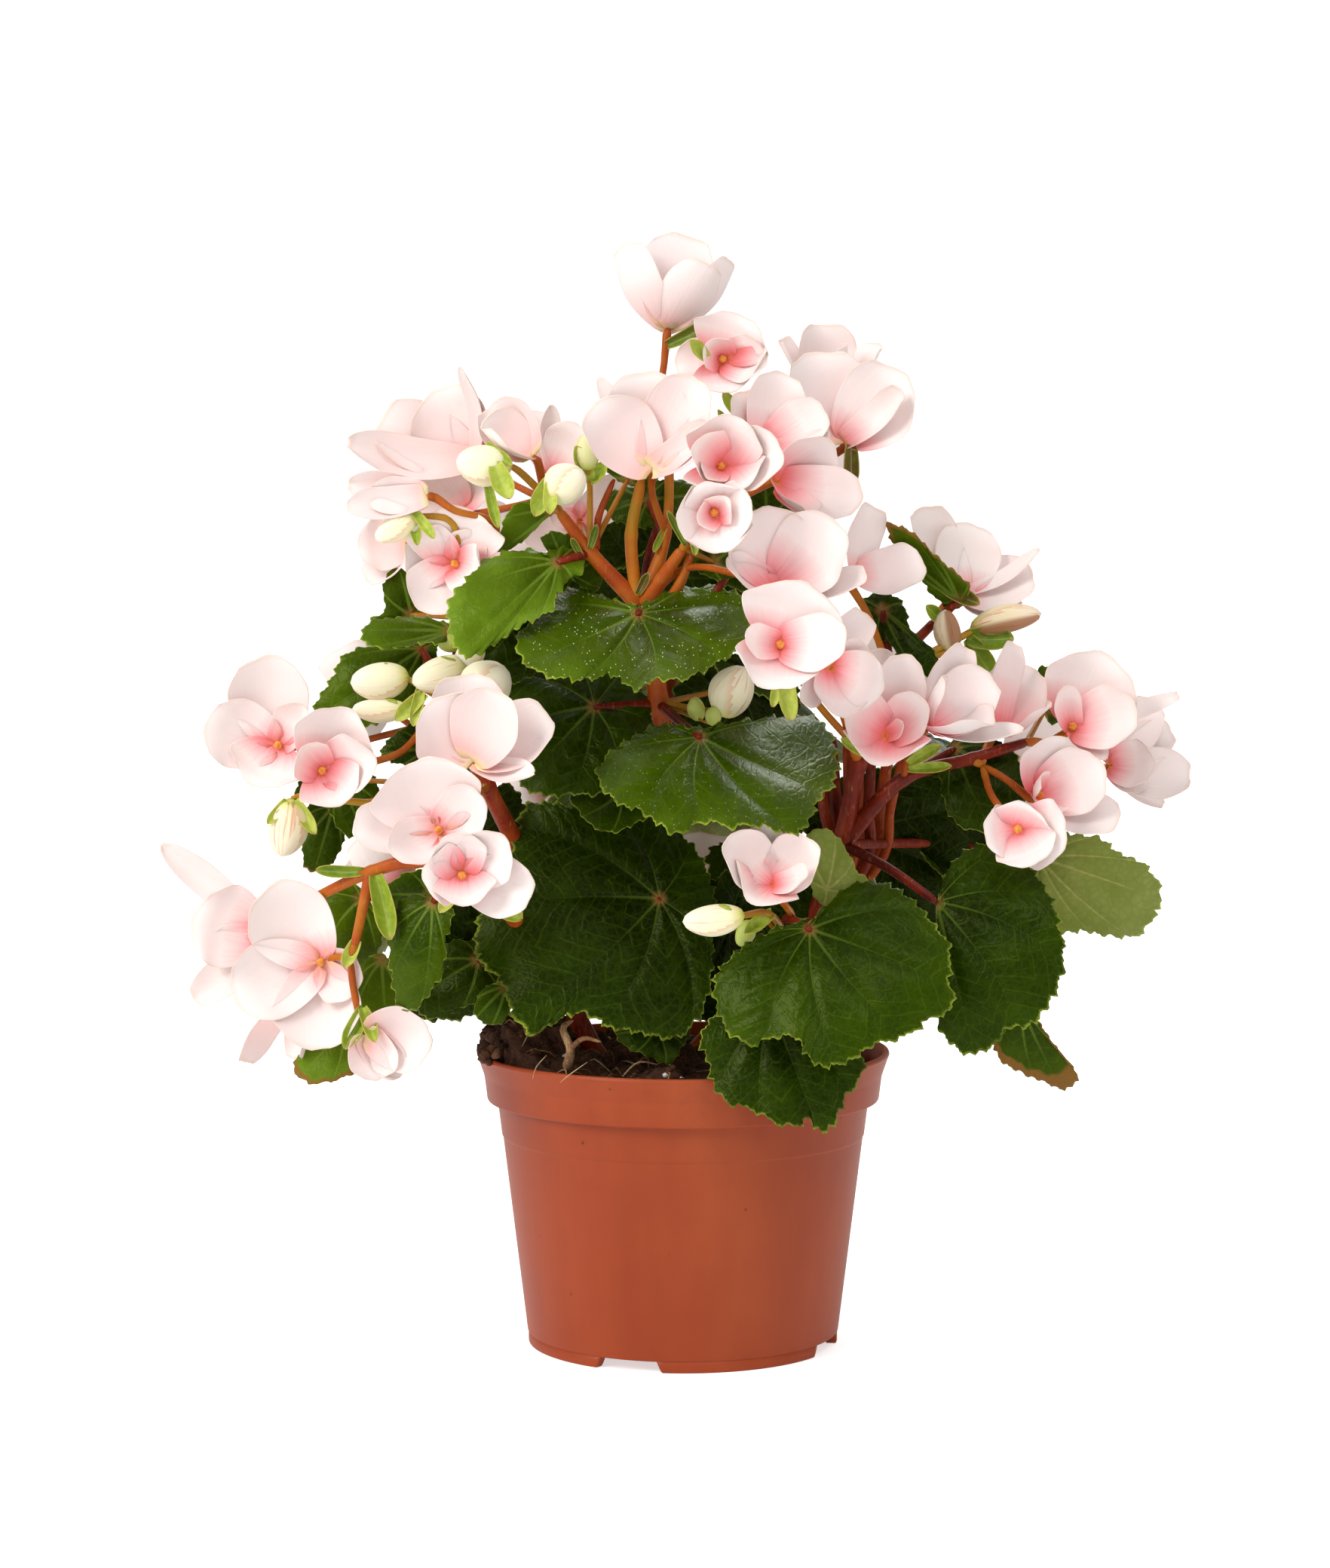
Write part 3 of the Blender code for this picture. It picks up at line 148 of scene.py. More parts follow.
# %% Sprays
# Each spray: the fork that it leaves, and its blooms with the places that their stalks pass
SPRAYS = {
    "spray_top": ("fan_high", {1: [(-5.8, 276, 3), (-5.4, 286, 2)], 2: [(3, 276, 14)], 3: [(20, 262, 2),
        (34, 268, -2)], 4: [(20, 256, 10), (38, 257, 12)]}),
    "spray_centre": ("fan_centre", {5: [(-9, 248, 29)]}),
    "spray_right_of_centre": ("fan_right", {6: [(5, 246, 42)], 7: [(14, 245, 34)], 8: [(5, 238, 50)],
        9: [(12, 250, 26)]}),
    "spray_front_right": ("middle_top", {10: [(0, 226, 30), (14, 225, 46)]}),
    "spray_right_top": ("right_top", {11: [(54, 212, 25)]}),
    "spray_right_front": ("right_high", {12: [(40, 186, 50), (32, 197, 64)], 13: [(45, 188, 46)],
        14: [(56, 173, 38)]}),
    "spray_right_arm": ("right_arm", {15: [(66, 173, 38)]}),
    "spray_right_hand": ("right_hand", {16: [(88, 174, 24)], 21: [(94, 165, 32)], 22: [(90, 160, 36)]}),
    "spray_right_tip": ("right_tip", {17: [(76, 216, 10)]}),
    "spray_right_end": ("right_end", {19: [], 20: [(112, 170, 4)]}),
    "spray_low_centre": ("right_low", {23: [(32, 124, 46), (30, 128, 64)]}),
    "spray_left_top": ("fan_far_left", {24: [(-48, 250, 22)], 26: [], 27: [(-38, 248, 20)],
        41: [(-50, 244, 22)]}),
    "spray_left_tip": ("left_tip", {28: [(-54, 238, 32), (-66, 243, 35)], 29: [], 30: [(-72, 226, 10)]}),
    "spray_fan_left": ("fan_left", {31: [(-29, 237, 12)]}),
    "spray_left": ("left_top", {32: [(-86, 178, 14), (-104, 174, 9)], 33: [(-84, 172, 26)]}),
    "spray_left_front": ("left_high", {34: [(-60, 166, 50)], 35: [(-65, 154, 52)]}),
    "spray_arch_start": ("arch_start", {36: [(-63, 137, 68)]}),
    "spray_arch_end": ("arch_end", {37: [(-116, 124, 26)], 39: [(-113, 112, 28)]}),
    "spray_arch_low": ("arch_low", {38: [(-101, 113, 43)], 40: [(-96, 102, 47)]}),
    "spray_back_high": ("back_high", {51: [(-6, 206, -60)], 52: [(-36, 216, -44)], 53: [(18, 228, -38)]}),
    "spray_back_right": ("back_right_high", {54: [(62, 188, -44)], 55: [(80, 166, -50)],
        59: [(44, 158, -64)]}),
    "spray_back_left": ("back_left_high", {57: [(-78, 180, -48)], 58: [(-50, 168, -66)]}),
    "spray_back_left_low": ("back_left_mid", {60: [(-72, 136, -50)]}),
    "spray_back_low": ("back_low", {61: [(0, 126, -56)]}),
    "spray_back_right_low": ("back_right_mid", {62: [(56, 134, -56)]}),
}
print(len(SPRAYS), "sprays")

# %% Blooms in front
# Each bloom: where its petals meet, the way its cup faces, then its petals by their tips: (across, up, how
# much nearer than the base, width, cupping, and how pointed it is where it isn't round)
BLOOMS = {
    1: ((-4.5, 295, 2), (0.1, 0.85, -0.5), [(-17, 319.5, 3, 14, 0.25), (-0.5, 321.5, -8, 21, -0.2),
        (7, 314.5, 6, 16, 0.3), (13.5, 315, -2, 11, 0.2)]),
    2: ((11.5, 286.5, 20), (-0.15, 0.1, 1), [(17, 299, 3, 22, 0.35), (23.5, 287, 8, 13, 0.45),
        (7, 291, 7, 10, 0.5), (15, 277.5, 6, 22, 0.4), (-2.5, 286, -2, 11, 0.3)]),
    3: ((44, 276, 0), (0, 1, 0.3), [(39, 297, -2, 19, 0.3), (46.5, 291, 5, 9, 0.5),
        (56, 291.5, 0, 13, 0.3), (28, 292.5, 0, 10, 0.3)]),
    4: ((46.5, 262.5, 16), (0.15, 0.6, 0.8), [(63, 283, 3, 23, 0.3), (63.5, 277, 9, 9, 0.45),
        (37, 289, -4, 24, 0.25)]),
    5: ((-9, 254.5, 38), (-0.1, 0.45, 0.9), [(-26, 273, 6, 20, 0.3), (-13, 283, 0, 22, 0.25),
        (4, 281, 5, 19, 0.35), (8.5, 267, 9, 10, 0.5), (-24.5, 281.5, -8, 6, 0.2, 1)]),
    6: ((11, 255.5, 52), (0, 0.25, 1), [(14, 270, 8, 20, 0.35), (4, 262, 12, 14, 0.4),
        (28.5, 259, 12, 17, 0.4), (14, 248.5, 12, 22, 0.4), (7, 253, 11, 8, 0.3)]),
    7: ((27, 251, 36), (0.7, 0, 0.7), [(43.5, 262, 2, 17, 0.35), (51.5, 246.5, 6, 15, 0.3),
        (38, 242, 10, 11, 0.4)]),
    8: ((9, 242.5, 62), (0, -0.05, 1), [(-1.5, 241, 8, 16, 0.2), (6, 249.5, 8, 17, 0.22),
        (19.5, 242, 8, 17, 0.2), (11, 231.5, 8, 18, 0.2), (4, 240.5, 6, 8, 0.5), (12.5, 246, 6, 9, 0.5)]),
    9: ((24, 261, 26), (0.2, 0.6, 0.8), [(41.5, 271, 6, 17, 0.35), (28, 283, 0, 16, 0.3),
        (42, 265, 9, 7, 0.3, 0.9), (15.5, 277, 1, 12, 0.3, 0.2)]),
    10: ((27.5, 221, 54), (0.1, 0.6, 0.8), [(22, 243.5, 2, 23, 0.25), (45, 239, 5, 23, 0.3),
        (13, 228, 8, 11, 0.3), (53, 224, 9, 9, 0.3)]),
    11: ((50, 224, 30), (0.6, 0.4, 0.5), [(54.5, 245, -2, 13, 0.3), (70, 226, 5, 18, 0.35)]),
    12: ((28, 204, 74), (0.1, 0.2, 1), [(36, 221.5, 5, 29, 0.3), (47, 206, 12, 15, 0.35),
        (25, 192, 10, 22, 0.35), (18, 207, 9, 9, 0.35)]),
    13: ((43, 197, 56), (0.4, -0.2, 0.9), [(57.5, 191, 7, 17, 0.3), (46, 183.5, 9, 16, 0.3),
        (52.5, 205, 2, 9, 0.3), (34.5, 188, 9, 9, 0.3), (52.5, 214, -4, 12, 0.3)]),
    14: ((59, 177.5, 46), (-0.05, 0.3, 0.95), [(65, 201, 6, 14, 0.35, 0.3), (56, 203, 0, 12, 0.3),
        (48, 187, 10, 15, 0.35), (70, 188, 10, 13, 0.35), (58, 170, 12, 23, 0.4),
        (64, 181, 9, 5, 0.3, 0.9)]),
    15: ((71, 180, 46), (0.6, 0.7, 0.4), [(76, 195, 7, 8, 0.5, 0.7), (82, 204, -4, 13, 0.35, 0.6),
        (90, 195, -2, 17, 0.3, 0.3), (90, 183, 8, 17, 0.35), (99, 180, 2, 9, 0.3, 1)]),
    16: ((90, 178, 22), (0.3, 0.9, 0.3), [(95, 205, 4, 12, 0.5, 0.3), (101, 198, -4, 18, 0.3),
        (107, 187, 5, 14, 0.4, 0.3)]),
    17: ((80, 219, 8), (0.1, 0.7, 0.7), [(69, 244, -3, 14, 0.3), (83.5, 239.5, -5, 18, 0.3),
        (103, 232, 7, 5, 0.2, 1), (101.5, 224.5, 3, 20, 0.12), (98, 215, 4, 8, 0.3, 0.8),
        (88.5, 212.5, 6, 4.5, 0.3, 0.8)]),
    19: ((113, 180, 18), (0.1, 0.35, 0.95), [(123, 201, 4, 26, 0.3), (111, 192, 6, 8, 0.4),
        (132, 184, 12, 18, 0.35), (123, 171, 8, 7, 0.3, 1), (144, 189.5, -2, 5, 0.2, 0.6)]),
    20: ((124, 169, 0), (0.3, 0.3, 0.9), [(137, 188, -4, 13, 0.3), (142, 180, -6, 12, 0.3, 0.4),
        (148, 166, -2, 15, 0.35, 0.6), (137, 169, 6, 14, 0.4), (135, 163, 2, 10, 0.3),
        (140, 157.5, -5, 6, 0.3, 0.8)]),
    21: ((103, 160, 34), (0.5, 0.3, 0.8), [(111, 177, 2, 20, 0.3), (123, 167, 6, 18, 0.3),
        (127, 153, 6, 14, 0.3), (110, 156, 12, 8, 0.3), (104.5, 166, 8, 8, 0.4)]),
    22: ((97.5, 150.5, 46), (-0.05, 0.05, 1), [(88, 149, 5, 14, 0.2), (100, 157, 5, 17, 0.2),
        (111.5, 147.5, 6, 19, 0.18), (102.5, 140.5, 8, 17, 0.2)]),
    23: ((26, 134, 76), (0, 0.45, 0.9), [(13, 147, 9, 15, 0.4), (24, 152.5, 2, 17, 0.3),
        (38, 146.5, 9, 15, 0.35), (21, 130.5, 12, 19, 0.4), (36, 138, 13, 7, 0.4)]),
    24: ((-60, 257, 14), (-0.6, 0.4, 0.7), [(-72, 277.5, 0, 24, 0.3), (-88, 269, -2, 19, 0.3),
        (-97, 262, 5, 13, 0.35, 0.9), (-64.5, 284.5, 14, 6.5, 0.3, 1)]),
    26: ((-43.5, 258.5, 34), (-0.55, 0.7, 0.5), [(-56, 273.5, -3, 15, 0.7, 0.3),
        (-58, 268, 5, 14, 0.7, 0.3)]),
    27: ((-38, 254, 10), (0.2, 0.7, 0.6), [(-38, 273.5, 2, 6, 0.4, 1), (-31, 268, 3, 14, 0.3),
        (-45, 272, -5, 13, 0.3)]),
    28: ((-74, 247, 36), (-0.7, 0.1, 0.7), [(-97, 251, -3, 9, 0.4, 0.9), (-97.5, 244, 3, 9, 0.4, 0.9),
        (-91, 247, 0, 10, 0.4, 0.4)]),
    29: ((-66, 227.5, 30), (-0.1, 0.05, 1), [(-67, 243.5, 6, 26, 0.3), (-80, 233, 3, 18, 0.3),
        (-59, 236, 3, 12, 0.3), (-75, 214, 8, 19, 0.3), (-60, 223.5, 11, 14, 0.35)]),
    30: ((-80, 233, 2), (-0.7, 0.1, 0.6), [(-94, 233, 4, 16, 0.3), (-86, 243, 0, 14, 0.3),
        (-92, 223, 2, 13, 0.3)]),
    31: ((-30, 240, 0), (0, 0.3, 0.9), [(-46, 235, 2, 12, 0.3), (-16, 251, 2, 12, 0.3),
        (-38, 246, 0, 10, 0.3)]),
    32: ((-117.5, 175, 12), (-0.1, 0.05, 1), [(-121, 201, 7, 22, 0.3), (-139, 180, 7, 19, 0.3),
        (-124, 163.5, 8, 22, 0.3), (-110, 186, 8, 11, 0.3)]),
    33: ((-105, 167.5, 32), (0.1, 0.1, 1), [(-98, 185, 8, 22, 0.35), (-111, 174, 9, 12, 0.35),
        (-90, 171, 9, 16, 0.35), (-99, 158.5, 9, 18, 0.35)]),
    34: ((-61, 170, 60), (0, 0.55, 0.85), [(-74, 187, 3, 22, 0.3), (-52, 190, 6, 20, 0.35),
        (-39, 184, 0, 18, 0.3), (-64, 196, -7, 20, 0.25), (-43.5, 167, 8, 8, 0.3, 1)]),
    35: ((-71, 150, 66), (-0.05, 0.2, 1), [(-76, 171, 6, 29, 0.3), (-59, 160, 8, 15, 0.3),
        (-96, 152, 4, 14, 0.3), (-85, 144, 9, 13, 0.3)]),
    36: ((-64.5, 137, 80), (0.1, 0, 1), [(-75, 137, 7, 16, 0.35), (-67, 149, 7, 15, 0.35),
        (-52, 147, 7, 16, 0.3), (-44, 132, 5, 16, 0.3), (-63, 128.5, 8, 16, 0.3)]),
    37: ((-122, 118, 12), (-0.3, 0.15, 1), [(-152, 146, -2, 9, 0.4, 1), (-143, 124, 4, 23, 0.35),
        (-136, 110, 1, 17, 0.4), (-143, 100.5, -2, 11, 0.4, 0.6)]),
    38: ((-105.5, 111.5, 40), (-0.15, 0.05, 1), [(-121, 133.5, 7, 23, 0.3), (-131, 101, 7, 21, 0.3),
        (-107, 86, 9, 24, 0.3), (-95, 104, 7, 15, 0.3)]),
    39: ((-115, 100, 22), (-0.2, -0.9, 0.2), [(-129, 82, -2, 12, 0.3, 0.5), (-112, 82.5, 0, 13, 0.3)]),
    40: ((-93, 91, 50), (0.2, -0.3, 1), [(-73.5, 88.5, 4, 19, 0.4), (-88, 77, 1, 13, 0.4),
        (-82, 78, -1, 10, 0.4, 0.4)]),
    41: ((-64, 243, 10), (-0.3, 0.5, 0.8), [(-78, 255.5, 2, 17, 0.3), (-60, 256, 0, 15, 0.3),
        (-84, 246, 0, 13, 0.3)]),
}
print(len(BLOOMS), "blooms in front")

# %% Blooms behind
# Each repeats one in front: (its number, degrees turned about the upright, where its petals meet)
BACK_BLOOMS = {
    51: (12, 180, (-8, 206, -74)),
    52: (35, 205, (-58, 226, -52)),
    53: (5, 170, (28, 246, -44)),
    54: (32, 140, (52, 190, -48)),
    55: (38, 150, (96, 166, -58)),
    57: (29, 215, (-92, 190, -52)),
    58: (22, 175, (-40, 166, -80)),
    59: (21, 165, (30, 158, -78)),
    60: (33, 210, (-82, 134, -60)),
    61: (34, 180, (4, 128, -74)),
    62: (36, 160, (70, 140, -76)),
}
print(len(BLOOMS) + len(BACK_BLOOMS), "blooms on", len(SPRAYS), "sprays")

# %% Leaves in front
# Each leaf in front: where its stalk joins it, how much nearer the blade comes for each millimetre right
# and up, how far its margin falls back, then its outline as seen, point by point
LEAVES = {
    1: ((-13, 213, 42), (0, -1.5), 2, [(-12, 216), (-5, 219), (4, 221), (12, 220.5), (18, 217),
        (20.5, 211), (16, 203), (8, 197.5), (0, 194), (-8, 194), (-14, 191), (-20, 195), (-30, 194),
        (-40, 195), (-46, 199), (-49, 204), (-44, 212), (-38, 219), (-29, 220), (-20, 217)]),
    2: ((-36.5, 228, 38), (-0.15, -0.7), 3, [(-38, 231), (-48, 231.5), (-57, 229), (-62, 224), (-68, 217),
        (-68, 209), (-64, 200.5), (-55, 204), (-49, 208.5), (-42, 212), (-38, 214), (-35, 221),
        (-29, 226), (-29, 231.5), (-34, 234)]),
    3: ((-34, 226, 28), (-0.3, 0.3), 1, [(-41, 235), (-37, 237), (-31, 235), (-26, 231), (-23.5, 224),
        (-25, 219.5), (-31, 222), (-37, 228)]),
    4: ((-38, 242.5, 30), (0.1, 0), 1, [(-37, 243.5), (-44, 246), (-50, 243.5), (-53, 237), (-54, 231),
        (-48, 233), (-42, 239)]),
    5: ((5, 177, 52), (0, -1.45), 4, [(4, 180), (-3, 181), (-10, 180), (-17, 176), (-23, 171), (-25, 165),
        (-19, 158), (-12, 155.5), (-6, 151), (-1.5, 149), (6, 152.5), (14, 151), (22, 151.5), (30, 149),
        (36, 151), (39, 158), (44, 164), (45, 171), (42, 180), (36, 183.5), (26, 183), (14, 181.5)]),
    6: ((-26, 186, 26), (0, -0.7), 3, [(-50, 194), (-40, 198), (-28, 198), (-16, 195), (-9, 184),
        (-11, 176), (-18, 170), (-24, 161), (-32, 160.5), (-40, 160), (-47, 163), (-50, 174)]),
    7: ((-18, 161, 38), (0, -0.9), 1, [(-33, 160), (-30, 155), (-26, 151), (-20, 149.5), (-14, 152),
        (-9, 155), (-10, 160), (-19, 163), (-27, 163)]),
    8: ((-7, 130, 38), (0, -0.4), 3, [(-45, 158), (-30, 157), (-15, 155), (-3, 151), (5, 143), (9, 132),
        (9, 118), (8, 104), (4, 94), (-3, 89), (-12, 90.5), (-21, 92), (-30, 96.5), (-38, 93.5),
        (-44, 90), (-50, 96), (-53, 105), (-60, 113), (-60, 124), (-54, 136), (-49, 148)]),
    9: ((37, 121, 66), (0, -0.45), 3, [(37, 124), (28, 122), (19, 117), (12, 111), (9, 106), (9.5, 99),
        (13, 91), (20, 87), (27, 89.5), (33, 89), (36, 84), (41, 80.5), (49, 82.5), (56, 87), (65, 89.5),
        (73, 95), (79, 98), (78, 107), (78, 116), (73, 123), (66, 130.5), (58, 135), (49, 134)]),
    10: ((74, 129, 50), (-0.1, -0.3), 3, [(76, 134), (79, 141), (86, 146), (95, 145), (102, 139),
        (108, 129), (111, 118), (111, 109), (107, 99), (101, 92.5), (95, 92), (91, 87), (84, 84),
        (79, 87), (75, 92), (76, 101), (79, 110), (76, 120)]),
    11: ((104, 142, 14), (-0.2, 0.3), 3, [(104, 146), (112, 149), (121, 148), (128, 143), (135, 140),
        (139.5, 132), (137, 124), (132, 119), (125, 119), (117, 120.5), (108, 121), (101, 130)]),
    12: ((99, 98, 14), (-0.1, 0.3), 1, [(97, 99), (103, 95), (108.5, 87), (115.5, 78), (112, 74),
        (106, 76), (99, 79), (93, 82.5), (91, 88), (93, 96)]),
    13: ((26, 98, 61), (0, -0.2), 1, [(14, 99), (5, 90), (7, 83), (9, 75), (13, 70), (20, 68), (26, 64.5),
        (33, 63), (37, 65), (41, 61), (45, 65), (48, 72), (53, 79), (51, 86), (42, 94), (32, 100)]),
    14: ((-8, 92, 40), (0, -0.4), 1, [(-20, 91), (-16, 86), (-12, 84.5), (-4, 81.5), (0, 87), (2, 92),
        (-6, 95), (-15, 95)]),
    15: ((-73, 129, 62), (0.5, -0.1), 2, [(-73, 131), (-80, 131), (-85, 126), (-86, 117), (-85, 106),
        (-83, 98), (-78, 97.5), (-73, 104), (-70, 109), (-69, 118), (-67, 127)]),
    16: ((-94, 130, 22), (0, 0.2), 2, [(-107, 131), (-100, 134), (-94, 133.5), (-89, 124), (-88, 117),
        (-93, 109), (-99, 110), (-103, 120)]),
    17: ((-88, 112, 26), (0, -0.2), 1, [(-93, 112), (-88, 114), (-84, 109), (-82, 100), (-85, 95.5),
        (-92, 96), (-96, 100), (-95, 107)]),
    18: ((-60, 112, 18), (0, -0.2), 2, [(-74, 114), (-79, 104), (-77, 96), (-70, 95), (-62, 99),
        (-55, 94), (-51, 98), (-52, 108), (-58, 116), (-66, 118)]),
    19: ((-99, 92, 24), (0, -0.3), 1, [(-114, 81), (-110, 76), (-104, 76), (-98, 78), (-93.5, 80.5),
        (-93, 87), (-97, 93), (-106, 91)]),
    21: ((-102, 157, 10), (0, 0.2), 1, [(-107, 160), (-101, 159), (-98.5, 150), (-101, 142), (-106, 138),
        (-110, 139), (-111, 147), (-110, 155)]),
    22: ((-76, 203, 14), (0, -0.3), 2, [(-71, 206), (-80, 206), (-90, 204), (-98.5, 201), (-102.5, 194),
        (-107.5, 185.5), (-103, 181), (-93, 180), (-84, 184), (-75, 192)]),
    23: ((-68, 208, 26), (0, -0.8), 1, [(-66, 209), (-74, 212), (-82, 212), (-90.5, 211), (-93.5, 205.5),
        (-86, 203), (-77, 204.5), (-68, 205)]),
    24: ((-79, 213, 4), (0, 0.3), 1, [(-78, 224), (-84, 226.5), (-87, 221), (-86.5, 214), (-91, 211.5),
        (-84, 209), (-74, 211), (-72, 218)]),
    25: ((80, 217, 20), (0.2, 0.6), 1, [(59, 239), (66, 237), (72, 231), (78, 226), (83, 221),
        (80, 214.5), (74, 217), (68, 224), (62, 231)]),
    26: ((105, 185, 6), (0, 0.2), 1, [(103, 197), (109, 197.5), (112, 193), (111, 184), (107, 181),
        (104, 188)]),
    27: ((58, 214, 22), (0.2, -0.3), 2, [(52, 217), (59, 219), (64, 216), (66.5, 208), (72, 203),
        (77, 195), (70, 195), (61, 203), (55, 209)]),
    28: ((79, 174, 22), (0, -0.5), 2, [(79, 177), (87, 177.5), (95, 174), (100, 166), (99, 156),
        (91, 150), (81, 151), (76, 158), (75, 168)]),
    29: ((42, 133, 50), (0.1, 0.3), 1, [(37, 150), (43, 150), (48, 144), (51, 138), (54, 135), (48, 130),
        (41, 128), (37, 134), (35, 142)]),
    30: ((-10, 246, 18), (0, -0.6), 2, [(-23, 247), (-15, 250), (-6, 252), (2, 251), (4, 245), (-4, 239),
        (-13, 238), (-21, 241)]),
    31: ((9, 228, 30), (0, -0.7), 1, [(3, 233), (10, 236), (17, 233), (18, 226), (11, 223), (4, 226)]),
    32: ((-75, 174, 22), (0, -0.3), 1, [(-88, 172), (-84, 178), (-77, 182), (-68, 181), (-66, 171),
        (-79, 169)]),
    20: ((-52, 104, 38), (0, -0.2), 1, [(-61, 97), (-59, 94), (-54, 93), (-51, 96), (-50, 101),
        (-50, 105), (-53, 106), (-59, 103)]),
    35: ((-16, 252, 26), (0, -0.3), 1, [(-26, 261), (-17, 261), (-8, 257), (-7, 252), (-13, 250),
        (-20, 252.5)]),
    33: ((-74, 131, 36), (0.1, 0.4), 1, [(-89, 128), (-86, 134), (-80, 138), (-72, 138), (-70, 130),
        (-79, 126)]),
    41: ((-10, 224, -8), (0, 0.1), 2, [(-39, 223), (-26, 213), (-10, 206), (8, 206), (23, 210), (26, 226),
        (16, 238), (4, 244), (-10, 246), (-24, 243), (-32, 234)]),
    42: ((24, 240, 8), (0, 0.1), 1, [(19, 253), (31, 252), (34, 244), (27, 236), (18, 240)]),
    47: ((16, 192, -6), (0.1, 0.1), 1, [(-4, 182), (-2, 192), (6, 199), (17, 202), (28, 199), (34, 189),
        (30, 178), (16, 172), (4, 174)]),
    48: ((-100, 165, 12), (0, -0.3), 1, [(-113, 161), (-108, 167), (-100, 168), (-90, 166), (-89, 156),
        (-94, 148), (-100, 150), (-104, 157)]),
    43: ((52, 150, 2), (-0.1, 0.1), 2, [(36, 157), (44, 165), (59, 168), (74, 168), (87, 165), (95, 153),
        (92, 138), (82, 121), (66, 121), (50, 128), (38, 142)]),
    44: ((14, 122, 22), (0, 0.1), 1, [(3, 101), (8, 92), (16, 96), (22, 108), (28, 122), (40, 125),
        (46, 134), (36, 140), (20, 140), (7, 134), (2, 116)]),
    46: ((-44, 214, 16), (0, -0.2), 1, [(-62, 200), (-60, 207), (-54, 212), (-44, 215), (-36, 212),
        (-38, 203), (-44, 195), (-54, 193)]),
    45: ((-56, 122, 6), (0, 0.1), 2, [(-90, 106), (-87, 96), (-76, 94.5), (-66, 94.5), (-56, 97),
        (-49, 101), (-45, 112), (-42, 128), (-44, 148), (-49, 163), (-58, 160), (-62, 142), (-71, 128),
        (-77, 114)]),
}
print(len(LEAVES), "leaves in front")

# %% Leaves behind
# A leaf seen flat, (side, forward) from where its stalk joins it
LEAF_PLAN = [
    (1, -3), (8, -11), (19, -14), (29, -8), (33, 4), (29, 17), (20, 28), (8, 37), (-2, 38), (-13, 32),
    (-22, 24), (-27, 12), (-27, 0), (-20, -10), (-9, -11)]

# Each leaf: where the stalk joins (seen), heading of the tip in degrees from +X towards +Y (away from the
# viewer is 90), how far the tip points down in degrees, size, and roll in degrees
BACK_LEAVES = {
    51: ((-4, 194, -50), 92, 28, 1.0, 6),
    52: ((24, 184, -52), 66, 24, 0.9, -8),
    53: ((-56, 174, -46), 156, 28, 0.85, 8),
    54: ((-6, 164, -60), 88, 34, 1.0, -5),
    55: ((42, 122, -64), 62, 46, 1.0, 6),
    56: ((-40, 122, -64), 110, 44, 1.0, -6),
    58: ((76, 136, -14), 6, 44, 0.95, 10),
    59: ((-74, 134, -18), 172, 40, 0.9, -8),
    60: ((72, 178, -24), 14, 30, 0.8, -10),
    62: ((16, 214, -44), 62, 24, 0.7, 0),
    71: ((18, 200, -22), -18, 32, 0.75, 8), 72: ((-18, 206, -24), 200, 28, 0.75, -6),
    73: ((20, 172, -20), -24, 34, 0.85, -6), 74: ((-20, 166, -18), 204, 36, 0.85, 8),
    75: ((8, 228, -24), 12, 24, 0.6, 0), 76: ((-12, 234, -22), 168, 24, 0.6, 0),
    77: ((26, 140, -26), -34, 42, 0.85, 6), 78: ((-30, 140, -24), 212, 42, 0.85, -6),
}
print(len(BACK_LEAVES), "leaves behind")

# %% Leaf stalks
# For each fork the leaves whose stalks leave it, and any places that a stalk passes
FORK_LEAVES = {
    "middle_top": {1: [], 41: []},
    "fan_left": {2: [], 3: [], 35: [], 46: []},
    "fan_far_left": {4: []},
    "middle_high": {5: [(0, 181, 36)], 6: [], 47: []},
    "middle_mid": {7: []},
    "middle_low": {8: []},
    "right_low": {9: [(30, 124, 44)], 12: [(66, 114, 14)], 13: [(29, 105, 42)], 44: []},
    "right_mid": {10: [(60, 139, 40)], 11: [(76, 146, -4)], 29: [], 43: []},
    "foot_middle": {14: [(-6, 92, 22)]},
    "arch_start": {15: [(-69, 134, 60)]},
    "left_mid": {16: [(-74, 134, 28)], 33: [(-66, 134, 36)], 45: []},
    "left_low": {17: [(-66, 112, 10)], 18: [], 19: [(-72, 100, 8)], 20: []},
    "left_high": {21: [(-82, 160, 18)], 32: [], 48: []},
    "left_top": {22: []},
    "left_tip": {23: [], 24: []},
    "right_tip": {25: []},
    "right_end": {26: []},
    "right_top": {27: []},
    "right_arm": {28: []},
    "fan_centre": {30: []},
    "fan_right": {31: [], 42: []},
    "back_high": {51: [], 62: [], 75: [], 76: []},
    "back_mid": {52: [], 53: [], 54: [], 71: [], 72: [], 73: [], 74: []},
    "back_right_mid": {55: [], 58: [], 77: []},
    "back_left_mid": {56: [], 59: [], 78: []},
    "back_right_high": {60: []},
}
LEAF_STALKS = {number: (fork, passing) for fork, leaves in FORK_LEAVES.items()
               for number, passing in leaves.items()}
print(len(LEAF_STALKS), "stalks")

